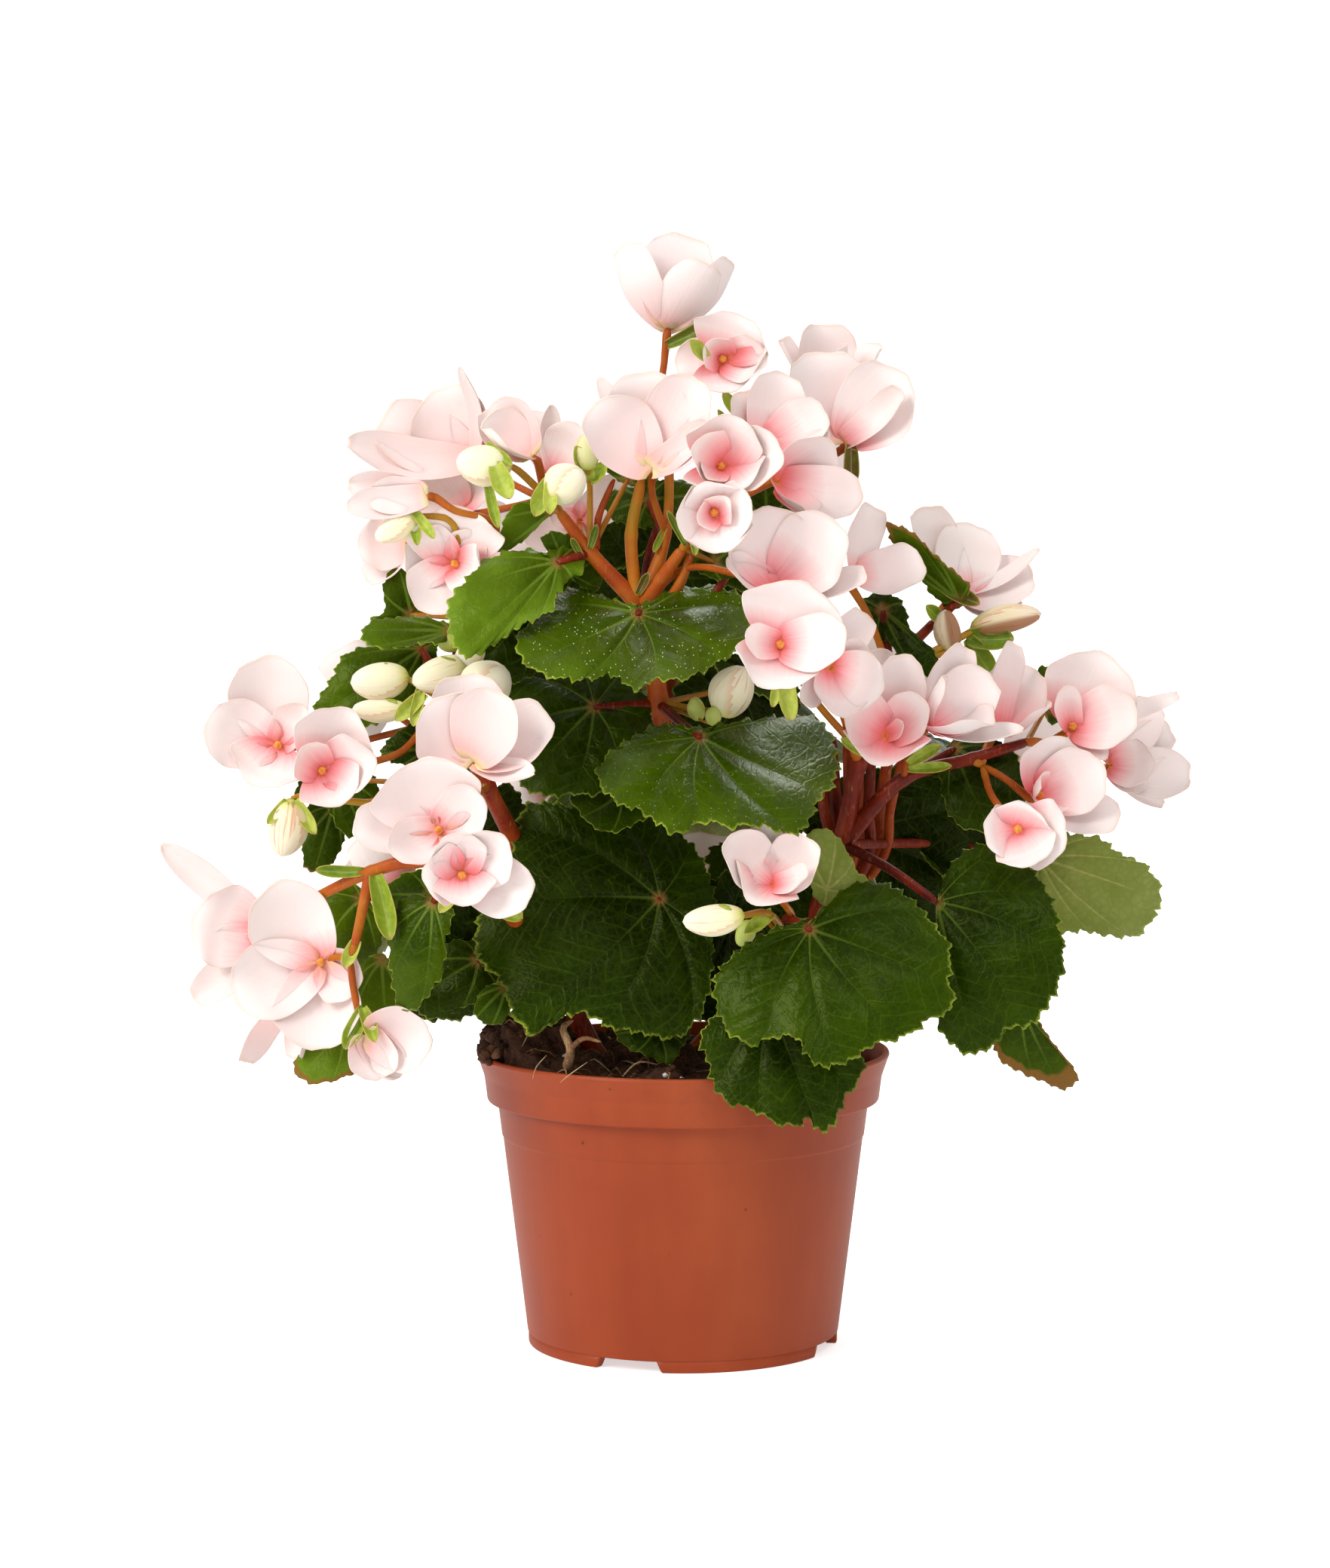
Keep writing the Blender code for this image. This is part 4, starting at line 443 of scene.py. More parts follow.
# %% Buds
# Middle, half length, half width, the way they point, the fork they hang from, and places the stalk passes
BUDS = {
    1: ((-57.5, 256.5, 42), 8, 5.5, (-1, 0.1, 0.2), "fan_far_left", [(-47, 254, 38)]),
    2: ((-34, 250.5, 44), 6.5, 5.5, (0.6, 0.5, 0.2), "fan_far_left", []),
    3: ((-83, 238.5, 36), 7, 3.5, (-0.8, -0.5, 0.2), "left_tip", [(-66, 238, 32)]),
    4: ((-88, 194, 28), 8.5, 5.2, (-1, -0.1, 0.2), "left_top", []),
    5: ((-88, 185.5, 28), 8, 3.4, (-1, 0, 0.1), "left_top", []),
    6: ((-70.5, 196, 30), 8.5, 4.8, (-1, -0.35, 0.2), "left_top", []),
    7: ((-57, 192, 40), 8, 7, (0.5, 0.6, 0.2), "left_top", []),
    8: ((-115.5, 151, 26), 8.5, 5.5, (-0.15, -1, 0.1), "left_high", [(-84, 158, 28), (-110, 160, 24)]),
    9: ((14.5, 190.5, 40), 8.2, 6, (0.4, 0.9, 0.3), "middle_high", []),
    11: ((9, 124.3, 80), 8.6, 4.2, (-1, -0.1, 0.1), "right_low", [(26, 125, 60)]),
    13: ((93.5, 211, 16), 10.5, 3.9, (1, 0.22, 0.1), "right_top", [(80, 206, 18)]),
    10: ((4, 185.5, 34), 3.6, 2.4, (-0.2, 1, 0.2), "middle_high", []),
    12: ((77, 208, 20), 6.5, 3.6, (-0.2, 1, 0.1), "right_top", []),
    14: ((-27.5, 260, 40), 5.5, 3.4, (0, 1, 0.2), "fan_left", [(-27, 248, 34)]),
    15: ((-62, 201.5, 28), 5, 3.6, (-0.6, -0.5, 0.2), "left_top", []),
    18: ((-67.5, 205, 24), 3.8, 2.6, (-1, -0.2, 0.2), "left_top", []),
    16: ((18, 120, 52), 4, 2.6, (-0.4, -1, 0.1), "right_low", [(24, 124, 44)]),
    17: ((9, 183.5, 40), 3, 2.2, (0.2, 1, 0.2), "middle_high", []),
}
print(len(BUDS), "buds")

# %% [markdown]
# ## Skins: every shape is a grid of places
# A petal, a leaf and a stem look different, but each is a closed skin: rows of points along the piece, and
# columns that run round it and meet again. One function turns such a grid into faces. An end can be a pole,
# where the columns meet in one point, or a strip, where the two sides of a thin piece are sewn together.
# Sewing every skin shut here means that light, shadows and printed copies all find a solid thing.

# %% From grids to one mesh
def skin(points, ends=("strip", "strip"), uv=None, look=0, **marks):
    """One closed skin: a (rows, columns, 3) grid, what its ends are, and what is marked on its points."""
    rows, cols = points.shape[:2]
    number = np.arange(rows * cols).reshape(rows, cols)
    for row, end in ((0, ends[0]), (-1, ends[1])):
        if end == "pole":
            number[row] = number[row, 0]
    after = np.roll(number, -1, axis=1)
    quads = [np.stack([number[:-1], after[:-1], after[1:], number[1:]], axis=-1).reshape(-1, 4)]
    one = np.arange(cols // 2 - 1)
    for row, end in ((0, ends[0]), (-1, ends[1])):
        if end == "strip":
            ring = number[row]
            sewn = np.stack([ring[one], ring[cols - 1 - one], ring[cols - 2 - one], ring[one + 1]], axis=-1)
            quads.append(sewn if row == 0 else sewn[:, ::-1])
    quads = np.concatenate(quads)
    flat = points.reshape(-1, 3)
    a, b, c, d = (flat[quads[:, k]] for k in range(4))
    volume = np.sum(a * np.cross(b, c)) + np.sum(a * np.cross(c, d))
    if volume < 0:
        quads = quads[:, ::-1]
    uv = np.zeros((rows, cols, 2)) if uv is None else uv
    marks = {name: np.broadcast_to(value, (rows, cols)).ravel() for name, value in marks.items()}
    return {"points": flat, "quads": quads, "uv": uv.reshape(-1, 2), "look": look, "marks": marks}


def piece(name, skins, materials, replaced=()):
    """Joins the skins into one object, in metres, hangs it from the root and hides the CAD parts that it
    stands for. A face whose corners fall together at a pole keeps three of them."""
    first = np.cumsum([0] + [len(s["points"]) for s in skins[:-1]])
    points = np.concatenate([s["points"] for s in skins]) * MM
    quads = np.concatenate([s["quads"] + start for s, start in zip(skins, first)])
    look = np.concatenate([np.full(len(s["quads"]), s["look"]) for s in skins])
    uv = np.concatenate([s["uv"] for s in skins])
    corner_kept = np.ones(quads.shape, bool)
    for k in range(4):
        corner_kept[:, k] = quads[:, k] != quads[:, (k + 1) % 4]
    whole = corner_kept.sum(axis=1) >= 3
    quads, look, corner_kept = quads[whole], look[whole], corner_kept[whole]
    used, corners = np.unique(quads[corner_kept], return_inverse=True)
    counts = corner_kept.sum(axis=1)
    mesh = bpy.data.meshes.new(name)
    mesh.vertices.add(len(used))
    mesh.vertices.foreach_set("co", points[used].astype(np.float32).ravel())
    mesh.loops.add(len(corners))
    mesh.loops.foreach_set("vertex_index", corners.astype(np.int32))
    mesh.polygons.add(len(quads))
    mesh.polygons.foreach_set("loop_start", np.concatenate([[0], np.cumsum(counts)[:-1]]).astype(np.int32))
    mesh.polygons.foreach_set("material_index", look.astype(np.int32))
    mesh.polygons.foreach_set("use_smooth", np.ones(len(quads), bool))
    mesh.update(calc_edges=True)
    layer = mesh.uv_layers.new(name="UVMap")
    layer.data.foreach_set("uv", uv[used][corners].astype(np.float32).ravel())
    for mark in skins[0]["marks"]:
        values = np.concatenate([s["marks"][mark] for s in skins])[used]
        mesh.attributes.new(mark, "FLOAT", "POINT").data.foreach_set("value", values.astype(np.float32))
    mesh.validate()
    made = bpy.data.objects.new(name, mesh)
    bpy.context.scene.collection.objects.link(made)
    for material in materials:
        mesh.materials.append(material)
    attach(made, "root")
    if replaced:
        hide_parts(*replaced)
    return made


print("a tube of three rows of eight has", len(skin(np.zeros((3, 8, 3)))["quads"]), "faces")

# %% [markdown]
# ## Colours and nodes
# A hex colour from a photo is in sRGB, and a shader wants linear light, so one function turns it. One more
# adds a node with its settings and links. Every material below is built from these two. A pattern on object
# places is in metres, so a scale of 100 makes spots about 10 mm across.

# %% Colour and node helpers
def srgb(code, strength=1.0):
    """Linear colour of a hex code such as #B5523A: a part below 0.04045 is divided, others are a power."""
    parts = np.array([int(code[k:k + 2], 16) for k in (1, 3, 5)]) / 255
    linear = np.where(parts <= 0.04045, parts / 12.92, ((parts + 0.055) / 1.055) ** 2.4) * strength
    return (*(float(v) for v in linear), 1.0)


def wire(tree, node, sockets):
    """Gives a node's inputs their values: a number or hex colour is set, another node's output linked."""
    for key, value in sockets.items():
        if isinstance(value, bpy.types.NodeSocket):
            tree.links.new(value, node.inputs[key])
        else:
            node.inputs[key].default_value = srgb(value) if isinstance(value, str) else value


def put(tree, kind, *values, out=None, stops=(), **named):
    """Adds one node and gives back one of its outputs, the first in use if none is named. Values go to the
    inputs in use in turn, a name with a capital is an input, and any other name is a setting. The stops of
    a colour ramp are (place, hex colour)."""
    node = tree.nodes.new("ShaderNode" + kind)
    inputs = {name: value for name, value in named.items() if name[0].isupper()}
    for name in named.keys() - inputs.keys():
        setattr(node, name, named[name])
    used = [k for k, socket in enumerate(node.inputs) if socket.enabled]
    wire(tree, node, {**dict(zip(used, values)), **inputs})
    while stops and len(node.color_ramp.elements) < len(stops):
        node.color_ramp.elements.new(0.5)
    for k, (place, code) in enumerate(stops):
        node.color_ramp.elements[k].position = place
        node.color_ramp.elements[k].color = srgb(code)
    if out is None:
        return next(socket for socket in node.outputs if socket.enabled)
    return node.outputs[out]


# Settings that many nodes share: a mix is one of colours, a step eases in and out, and the commonest sums
# are a product, a difference, and a product with something added
COLOURS = {"data_type": "RGBA"}
SMOOTH = {"interpolation_type": "SMOOTHSTEP"}
TIMES, LESS = {"operation": "MULTIPLY"}, {"operation": "SUBTRACT"}
TIMES_PLUS = {"operation": "MULTIPLY_ADD"}


def finish_named(name):
    """An empty material, its node tree and its shader."""
    made = bpy.data.materials.new(name)
    made.use_nodes = True
    return made, made.node_tree, made.node_tree.nodes["Principled BSDF"]


print("#808080 in linear light:", round(srgb("#808080")[0], 3))

# %% [markdown]
# ## Petal finish
# A begonia petal is fleshy and full of water, with a faint velvet of small cells. Light goes into it and
# comes out a few millimetres away, so it needs scattering under the surface rather than a chalk-white
# paint. The colour follows the petal: a yellow-green claw, a coral throat, a pink blush and a cream rim,
# with fine veins along it. The petal's own UV map gives "along" and "across", and marks give each bloom its
# own blush.

# %% Petal material
def petal_finish():
    """Fleshy petal tissue."""
    made, tree, shader = finish_named("begonia_petal_tissue")
    place, flat = put(tree, "TexCoord", out="Object"), put(tree, "TexCoord", out="UV")
    across, along = put(tree, "SeparateXYZ", flat), put(tree, "SeparateXYZ", flat, out=1)
    blush, shade, share = (put(tree, "Attribute", out="Fac", attribute_name=mark)
                           for mark in ("blush", "shade", "share"))
    # Streaks that run along the petal, about half a millimetre apart
    streak_place = put(tree, "CombineXYZ", put(tree, "Math", across, 26.0, **TIMES),
                       put(tree, "Math", along, 1.6, **TIMES), shade)
    streaks = put(tree, "TexNoise", Vector=streak_place, Scale=1.0, Detail=3.0, Roughness=0.6)
    # Clouds of pink 11 mm across
    cloud = put(tree, "TexNoise", Vector=place, Scale=90.0, Detail=2.0)
    middle = put(tree, "Math", put(tree, "Math", across, 0.5, **LESS), operation="ABSOLUTE")
    # The blush ends at the same distance from the heart on short and long petals
    spread = put(tree, "Math", middle, 0.12, put(tree, "Math", along, share, **TIMES), **TIMES_PLUS)
    spread = put(tree, "Math", put(tree, "Math", streaks, 0.5, **LESS), 0.16, spread, **TIMES_PLUS)
    spread = put(tree, "Math", put(tree, "Math", cloud, 0.5, **LESS), 0.1, spread, **TIMES_PLUS)
    reach = put(tree, "Math", blush, 0.7, 0.15, **TIMES_PLUS)
    fade = put(tree, "Math", spread, reach, operation="DIVIDE")
    throat = put(tree, "ValToRGB", fade, stops=[(0.0, "#F0A040"), (0.1, "#EC746A"), (0.24, "#F28C90"),
                                                (0.45, "#F8B6B8"), (0.65, "#F9D0CF"), (0.9, "#F9E3E0"),
                                                (1.0, "#F9EBE8")])
    pale = put(tree, "ValToRGB", along, stops=[(0.0, "#E8DDA0"), (0.1, "#F6C4C0"), (0.3, "#F8D8D5"),
                                               (0.6, "#F9E4E1"), (1.0, "#F9ECE9")])
    body = put(tree, "Mix", put(tree, "MapRange", blush, 0.05, 0.4, **SMOOTH), pale, throat,
               **COLOURS)
    rim = put(tree, "Math", put(tree, "Math", middle, 2.0, **TIMES), along, operation="MAXIMUM")
    rim = put(tree, "Math", put(tree, "MapRange", rim, 0.93, 1.0, 0.0, 0.6, **SMOOTH),
              put(tree, "MapRange", along, 0.35, 0.75, **SMOOTH), **TIMES)
    body = put(tree, "Mix", rim, body, "#F0D2BE", **COLOURS)
    body = put(tree, "Mix", put(tree, "Math", put(tree, "Attribute", out="Fac", attribute_name="green"),
                                0.8, **TIMES), body, "#E6E9B4", **COLOURS)
    bump = put(tree, "Bump", Strength=0.25, Distance=0.0004, Height=streaks)
    wire(tree, shader, {"Base Color": body, "Roughness": 0.55, "IOR": 1.4, "Specular IOR Level": 0.3,
                        "Subsurface Weight": 0.25, "Subsurface Radius": (1.0, 0.95, 0.95),
                        "Subsurface Scale": 0.0005, "Sheen Weight": 0.25, "Sheen Roughness": 0.4,
                        "Sheen Tint": "#FFE2DA", "Normal": bump})
    return made


def heart_finish():
    """The yellow tuft in a bloom's throat: waxy, knobbly tissue."""
    made, tree, shader = finish_named("stigma_tuft_tissue")
    place = put(tree, "TexCoord", out="Object")
    # Knobs of about 1 mm
    grain = put(tree, "TexNoise", Vector=place, Scale=900.0, Detail=2.0)
    body = put(tree, "ValToRGB", grain, stops=[(0.3, "#DC7A34"), (0.5, "#EE9C42"), (0.7, "#ECC050")])
    wire(tree, shader, {"Base Color": body, "Roughness": 0.5, "Subsurface Weight": 0.3,
                        "Subsurface Scale": 0.001})
    return made


PETAL = petal_finish()
HEART = heart_finish()
print("materials:", PETAL.name, HEART.name)

# %% [markdown]
# ## Petals
# Each petal is a thin cupped blade that grows from a narrow claw, is widest past its middle and ends in a
# round tip. It could be cut from a plane and bent by hand, but fifty blooms need one formula: a half width
# that rises as a sine, falls as an ellipse, and a lift that is the cupping less a bow. Small random ripples
# keep any two petals from matching.

# %% Petal surface
# Shares of a petal's length: where it is widest, and how far it bows
WIDEST_AT, PETAL_BOW = 0.62, 0.13
# Shares of its width: its tip's circle, and how far it droops, ripples, bends and turns sideways
TIP_ROUND, DROOP, RIPPLE, SIDE_BEND, SIDE_TURN = 0.56, 0.10, 0.03, 0.05, 0.02
# How much of the ellipse a round tip and a pointed one use
ROUND_SHARE, POINTED_SHARE = 0.72, 0.99
# The claw's half width and half the petal's thickness, mm
CLAW_HALF, PETAL_HALF_THICK = 3.2, 0.18


def thin_solid(middle, half, **marks):
    """A closed thin solid round a surface: the surface moved half its thickness along its normal for the
    front, and against it for the back. Columns run along the front and return along the back."""
    along = np.gradient(middle, axis=0)
    across = np.gradient(middle, axis=1)
    normal = unit(np.cross(along, across))
    front, back = middle + normal * half[..., None], middle - normal * half[..., None]
    both = {name: np.concatenate([value, value[:, ::-1]], axis=1) for name, value in marks.items()}
    return np.concatenate([front, back[:, ::-1]], axis=1), both


def petal_skin(base, tip, faces, width, cup, rng, rows=22, cols=17, sharp=0.0, **marks):
    """Half width: a sine from the claw to its widest place, then an ellipse. Lift towards the bloom's axis:
    cup times half width times s squared, less a bow of sin(pi t). The tip's rows sag back as a circle."""
    t = 1 - (1 - np.linspace(0, 1, rows)[:, None]) ** 1.25
    s = np.sin(np.linspace(-np.pi / 2, np.pi / 2, cols))[None, :]
    chord = tip - base
    length = np.linalg.norm(chord)
    along = chord / length
    inner = unit(faces - along * np.dot(faces, along))
    side = np.cross(along, inner)
    claw = min(CLAW_HALF, 0.3 * width)
    rise = np.sin(np.pi / 2 * np.minimum(t / WIDEST_AT, 1)) ** 0.62
    share = ROUND_SHARE + (POINTED_SHARE - ROUND_SHARE) * sharp
    falling = np.sqrt(1 - (share * np.maximum(t - WIDEST_AT, 0) / (1 - WIDEST_AT)) ** 2)
    half = (claw + (width / 2 - claw) * rise) * falling
    across = half * s
    bend, wave, turn = rng.uniform(-1, 1), rng.uniform(0, 2 * np.pi, 3), rng.uniform(-1, 1)
    circle = TIP_ROUND * width
    sag = (circle - np.sqrt(circle ** 2 - across ** 2)) * t ** 4
    notch = (0.014 * width * np.sin(5 * s + wave[0]) * t ** 8
             + 0.005 * width * np.sin(11 * s + wave[1]) * t ** 12)
    reach = length * t - sag + notch
    lift = cup * half * s ** 2 - PETAL_BOW * length * np.sin(np.pi * t)
    lift += width * (RIPPLE * t ** 2 * np.sin(2.6 * s + wave[1])
                     + RIPPLE * t ** 3 * s ** 2 * np.sin(7 * t + 2 * s + wave[2]))
    lift -= DROOP * width * np.maximum(0, (t - 0.72) / 0.28) ** 2 * (0.6 + 0.4 * bend)
    across = across + SIDE_BEND * width * bend * np.sin(np.pi * t) + SIDE_TURN * width * turn * t ** 2
    middle = base + along * reach[..., None] + side * across[..., None] + inner * lift[..., None]
    rim = np.maximum(np.abs(s), t)
    thick = PETAL_HALF_THICK * (1 - 0.6 * rim ** 8) * np.ones_like(reach)
    uv_s, uv_t = np.broadcast_arrays(s * 0.5 + 0.5, t)
    ring, both = thin_solid(middle, thick, u=uv_s, v=uv_t)
    return skin(ring, uv=np.stack([both["u"], both["v"]], axis=-1), **marks)


trial = petal_skin(np.zeros(3), np.array([0, 0, 20.0]), np.array([0, -1.0, 0]), 16.0, 0.3, dice("trial"))
print("a petal has", len(trial["quads"]), "faces")

# %% Where each bloom's petals stand
def bloom_layout(number):
    """World base, facing and petals (tip, width, cup, sharpness) of a bloom, front or back."""
    if number in BLOOMS:
        place, faces, petals = BLOOMS[number]
        tips = [(seen(a, u, place[2] + n), w, c, sharp[0] if sharp else 0.0)
                for a, u, n, w, c, *sharp in petals]
        return seen(*place), pointing(*faces), tips
    like, turn, place = BACK_BLOOMS[number]
    base, faces, tips = bloom_layout(like)
    here = seen(*place)
    return here, turned(faces, turn), [(here + turned(tip - base, turn), *rest) for tip, *rest in tips]


# How strongly each bloom blushes; the rest have MILD
MILD = 0.35
BLUSH = {
    1: 0.15, 2: 0.7, 4: 0.25, 5: 0.12, 6: 0.85, 8: 0.68, 7: 0.8, 9: 0.7, 10: 0.6, 11: 0.25, 12: 0.6,
    13: 0.6, 14: 0.95, 15: 0.5, 16: 0.9, 17: 0.35, 19: 0.6, 20: 0.45, 21: 0.75, 22: 0.8, 23: 0.5, 24: 0.1,
    26: 0.1, 28: 0.1, 29: 0.5, 30: 0.15, 32: 0.35, 33: 0.7, 34: 0.15, 35: 0.3, 36: 0.6, 37: 0.5, 38: 0.25,
    39: 0.12, 40: 0.1,
}
# The blooms that are open enough to show their tuft
OPEN = (2, 6, 8, 12, 19, 21, 22, 29, 32, 33, 35, 36, 38)
# Sizes in mm of a tuft: its radius, and how far it stands before the petals' base
TUFT_RADIUS, TUFT_AHEAD = 1.15, 1.2
# Each petal is drawn a little wider and more cupped than the table says, so that neighbours overlap
PETAL_SPREAD, CUP_GAIN = 1.07, 1.3


def heart_skin(base, faces, rng):
    """A knobbly dome: its radius is 1 plus small waves of both angles."""
    up = np.linspace(0.05, np.pi - 0.05, 9)[:, None]
    round_it = np.linspace(0, 2 * np.pi, 14, endpoint=False)[None, :]
    size = TUFT_RADIUS * (1 + 0.22 * np.sin(5 * round_it + rng.uniform(0, 6)) * np.sin(4 * up))
    one = unit(np.cross(faces, (0.3, 0.2, 1.0)))
    two = np.cross(faces, one)
    place = (np.cos(up)[..., None] * faces * 1.25 + (np.sin(up) * np.cos(round_it))[..., None] * one
             + (np.sin(up) * np.sin(round_it))[..., None] * two)
    centre = base + faces * TUFT_AHEAD
    return skin(centre + size[..., None] * place, ends=("pole", "pole"), look=1, blush=0.0, share=1.0,
                shade=0.0, green=0.0)


def bloom_skins(number):
    """All petals of one bloom and its tuft."""
    rng = dice("bloom_%02d" % number)
    base, faces, petals = bloom_layout(number)
    like = number if number in BLOOMS else BACK_BLOOMS[number][0]
    strength = BLUSH.get(like, MILD)
    skins = []
    usual = np.mean([np.linalg.norm(tip - base) for tip, *rest in petals])
    for tip, width, cup, sharp in petals:
        blush = float(np.clip(strength + rng.uniform(-0.08, 0.08), 0, 1))
        share = float(np.clip(np.linalg.norm(tip - base) / usual, 0.7, 1.4))
        skins.append(petal_skin(base, tip, faces, width * PETAL_SPREAD, cup * CUP_GAIN, rng, sharp=sharp,
                                blush=blush, share=share, shade=rng.uniform(0, 50), green=0.0))
    if like in OPEN:
        skins.append(heart_skin(base, faces, rng))
    return skins


for spray, (fork, members) in SPRAYS.items():
    skins = [s for number in members for s in bloom_skins(number)]
    petals = piece(spray + "_petals", skins, [PETAL, HEART], [spray])
    print(petals.name, len(petals.data.polygons), "faces")

# %% [markdown]
# ## Stems, stalks and buds
# The stems are thick, watery and jointed, and redder where the sun reaches them. A curve with a bevel would
# do, but a profile carried along a smooth path lets each place have its own radius and mark its own colour.
# The path is a Catmull-Rom curve through the forks, the profile a circle, a little thicker at each joint.

# %% Tube surface
def smooth_path(points, step):
    """Catmull-Rom curve through the points, at even spacing, and how far along the points each place is.
    From b to c, with a and d beyond them, it is half of
    2b + (c - a)t + (2a - 5b + 4c - d)t^2 + (3b - a - 3c + d)t^3."""
    p = np.asarray(points, float)
    p = np.concatenate([[2 * p[0] - p[1]], p, [2 * p[-1] - p[-2]]])
    t = np.linspace(0, 1, 24, endpoint=False)[None, :, None]
    a, b, c, d = (p[k:len(p) - 3 + k][:, None, :] for k in range(4))
    fine = 0.5 * (2 * b + (c - a) * t + (2 * a - 5 * b + 4 * c - d) * t ** 2
                  + (3 * b - a - 3 * c + d) * t ** 3)
    fine = np.concatenate([fine.reshape(-1, 3), p[-2:-1]])
    where = np.linspace(0, len(points) - 1, len(fine))
    run = np.concatenate([[0], np.cumsum(np.linalg.norm(np.diff(fine, axis=0), axis=1))])
    at = np.linspace(0, run[-1], max(6, int(run[-1] / step)))
    return np.stack([np.interp(at, run, fine[:, k]) for k in range(3)], axis=1), np.interp(at, run, where)


def tube_skin(points, radii, rng, around=12, step=1.6, joints=0.0, **marks):
    """A circle carried along a smooth path; the radius runs between the given ones and swells at joints, by
    `joints` times exp(-(distance / 0.07)^2)."""
    path, where = smooth_path(points, step)
    radius = np.interp(where, np.arange(len(radii)), radii)
    off = np.abs(where - np.round(where))
    radius = radius * (1 + joints * np.exp(-(off / 0.07) ** 2) * (where > 0.5))
    tangent = unit(np.gradient(path, axis=0))
    overall = unit(path[-1] - path[0])
    level = unit(np.cross(overall, (0.0, 1.0, 0.12)))
    one = unit(level - tangent * np.sum(level * tangent, axis=1, keepdims=True))
    two = np.cross(tangent, one)
    angle = np.linspace(0, 2 * np.pi, around, endpoint=False)
    wobble = 1 + 0.035 * np.sin(3 * angle[None, :] + 4 * where[:, None] + rng.uniform(0, 6))
    size = radius[:, None] * wobble
    end = np.minimum(np.arange(len(path)), np.arange(len(path))[::-1])
    size = size * np.where(end == 0, 0.55, np.where(end == 1, 0.92, 1.0))[:, None]
    ring = (path[:, None, :] + (size * np.cos(angle))[..., None] * one[:, None, :]
            + (size * np.sin(angle))[..., None] * two[:, None, :])
    uv = np.stack(np.broadcast_arrays(where[:, None], angle[None, :] / (2 * np.pi)), axis=-1)
    return skin(ring, uv=uv, **marks)


def stalk_skin(points, radius, rng, **marks):
    """A thin stalk that starts a little inside what it leaves and narrows towards its end."""
    points = [np.asarray(p, float) for p in points]
    points[0] = points[0] - unit(points[1] - points[0]) * radius
    return tube_skin(points, radius * np.linspace(1.2, 0.92, len(points)), rng, around=10, **marks)


print("a straight path of 10 mm has", len(smooth_path([(0, 0, 0), (0, 0, 10)], 1.6)[0]), "places")

# %% [markdown]
# ### Stem finish
# Begonia stems are translucent, ribbed with vessels and dotted with short pale lenticels, from olive
# through orange to brick red. The marks "red" and "lime" say where on that scale each stalk is.

# %% Stem material
def stem_finish():
    """Juicy stem skin."""
    made, tree, shader = finish_named("succulent_stem_skin")
    place = put(tree, "TexCoord", out="Object")
    red, lime = (put(tree, "Attribute", out="Fac", attribute_name=mark) for mark in ("red", "lime"))
    # Blotches 17 mm across; ribs and lenticels of about a millimetre, drawn out eight times along the stem
    blotch = put(tree, "TexNoise", Vector=place, Scale=60.0, Detail=4.0, Roughness=0.6)
    squeezed = put(tree, "Mapping", Vector=place, Scale=(1.0, 1.0, 0.12))
    fibre = put(tree, "TexNoise", Vector=squeezed, Scale=1400.0, Detail=3.0)
    tone = put(tree, "Math", put(tree, "Math", blotch, 0.5, **LESS), 0.9, red, **TIMES_PLUS)
    body = put(tree, "ValToRGB", tone, stops=[(0.0, "#8E8E1E"), (0.3, "#BE7818"), (0.55, "#B25014"),
                                              (0.8, "#86260A"), (1.0, "#561004")])
    body = put(tree, "Mix", put(tree, "Math", lime, 0.85, **TIMES), body, "#A9BE3C",
               **COLOURS)
    body = put(tree, "Mix", put(tree, "MapRange", fibre, 0.55, 0.75, 0.0, 0.22, **SMOOTH),
               body, "#D98E5A", **COLOURS)
    dots = put(tree, "TexVoronoi", Vector=squeezed, Scale=700.0, Randomness=1.0)
    body = put(tree, "Mix", put(tree, "MapRange", dots, 0.05, 0.12, 0.5, 0.0, **SMOOTH),
               body, "#E2B68A", **COLOURS)
    bump = put(tree, "Bump", Strength=0.35, Distance=0.0003, Height=fibre)
    wire(tree, shader, {"Base Color": body, "Roughness": 0.38, "IOR": 1.4, "Specular IOR Level": 0.3,
                        "Subsurface Weight": 0.2, "Subsurface Radius": (1.0, 0.35, 0.15),
                        "Subsurface Scale": 0.0015, "Normal": bump})
    return made


STEM = stem_finish()
print("material:", STEM.name)

# %% Stems
rng = dice("stems")
skins = []
for route, red in zip(STEMS, STEM_RED):
    places = [fork_place(f) for f in route]
    skins.append(tube_skin(places, [FORKS[f][3] for f in route], rng, around=18, step=1.2, joints=0.14,
                           red=red, lime=0.0))
# More stems of the fan at the top: the places that they pass, radius and how red
FAN = [
    ([(-12, 252, 32), (-15, 236, 28), (-13.5, 217, 27)], 1.8, 0.25),
    ([(-7, 240, 20), (-10, 230, 20), (-12, 217, 22)], 1.2, 0.9),
    ([(14, 226, 28), (8, 218, 28), (-2, 209, 22)], 1.2, 0.75),
    ([(-20, 252, 34), (-24.5, 241, 30), (-25, 231, 28)], 1.0, 0.7),
    ([(4, 236, 32), (-1, 222, 30), (-9, 212, 26)], 1.4, 0.5),
]
for route, radius, red in FAN:
    skins.append(tube_skin([seen(*p) for p in route], [radius * 0.8, radius, radius], rng, step=1.4,
                           joints=0.12, red=red, lime=0.0))
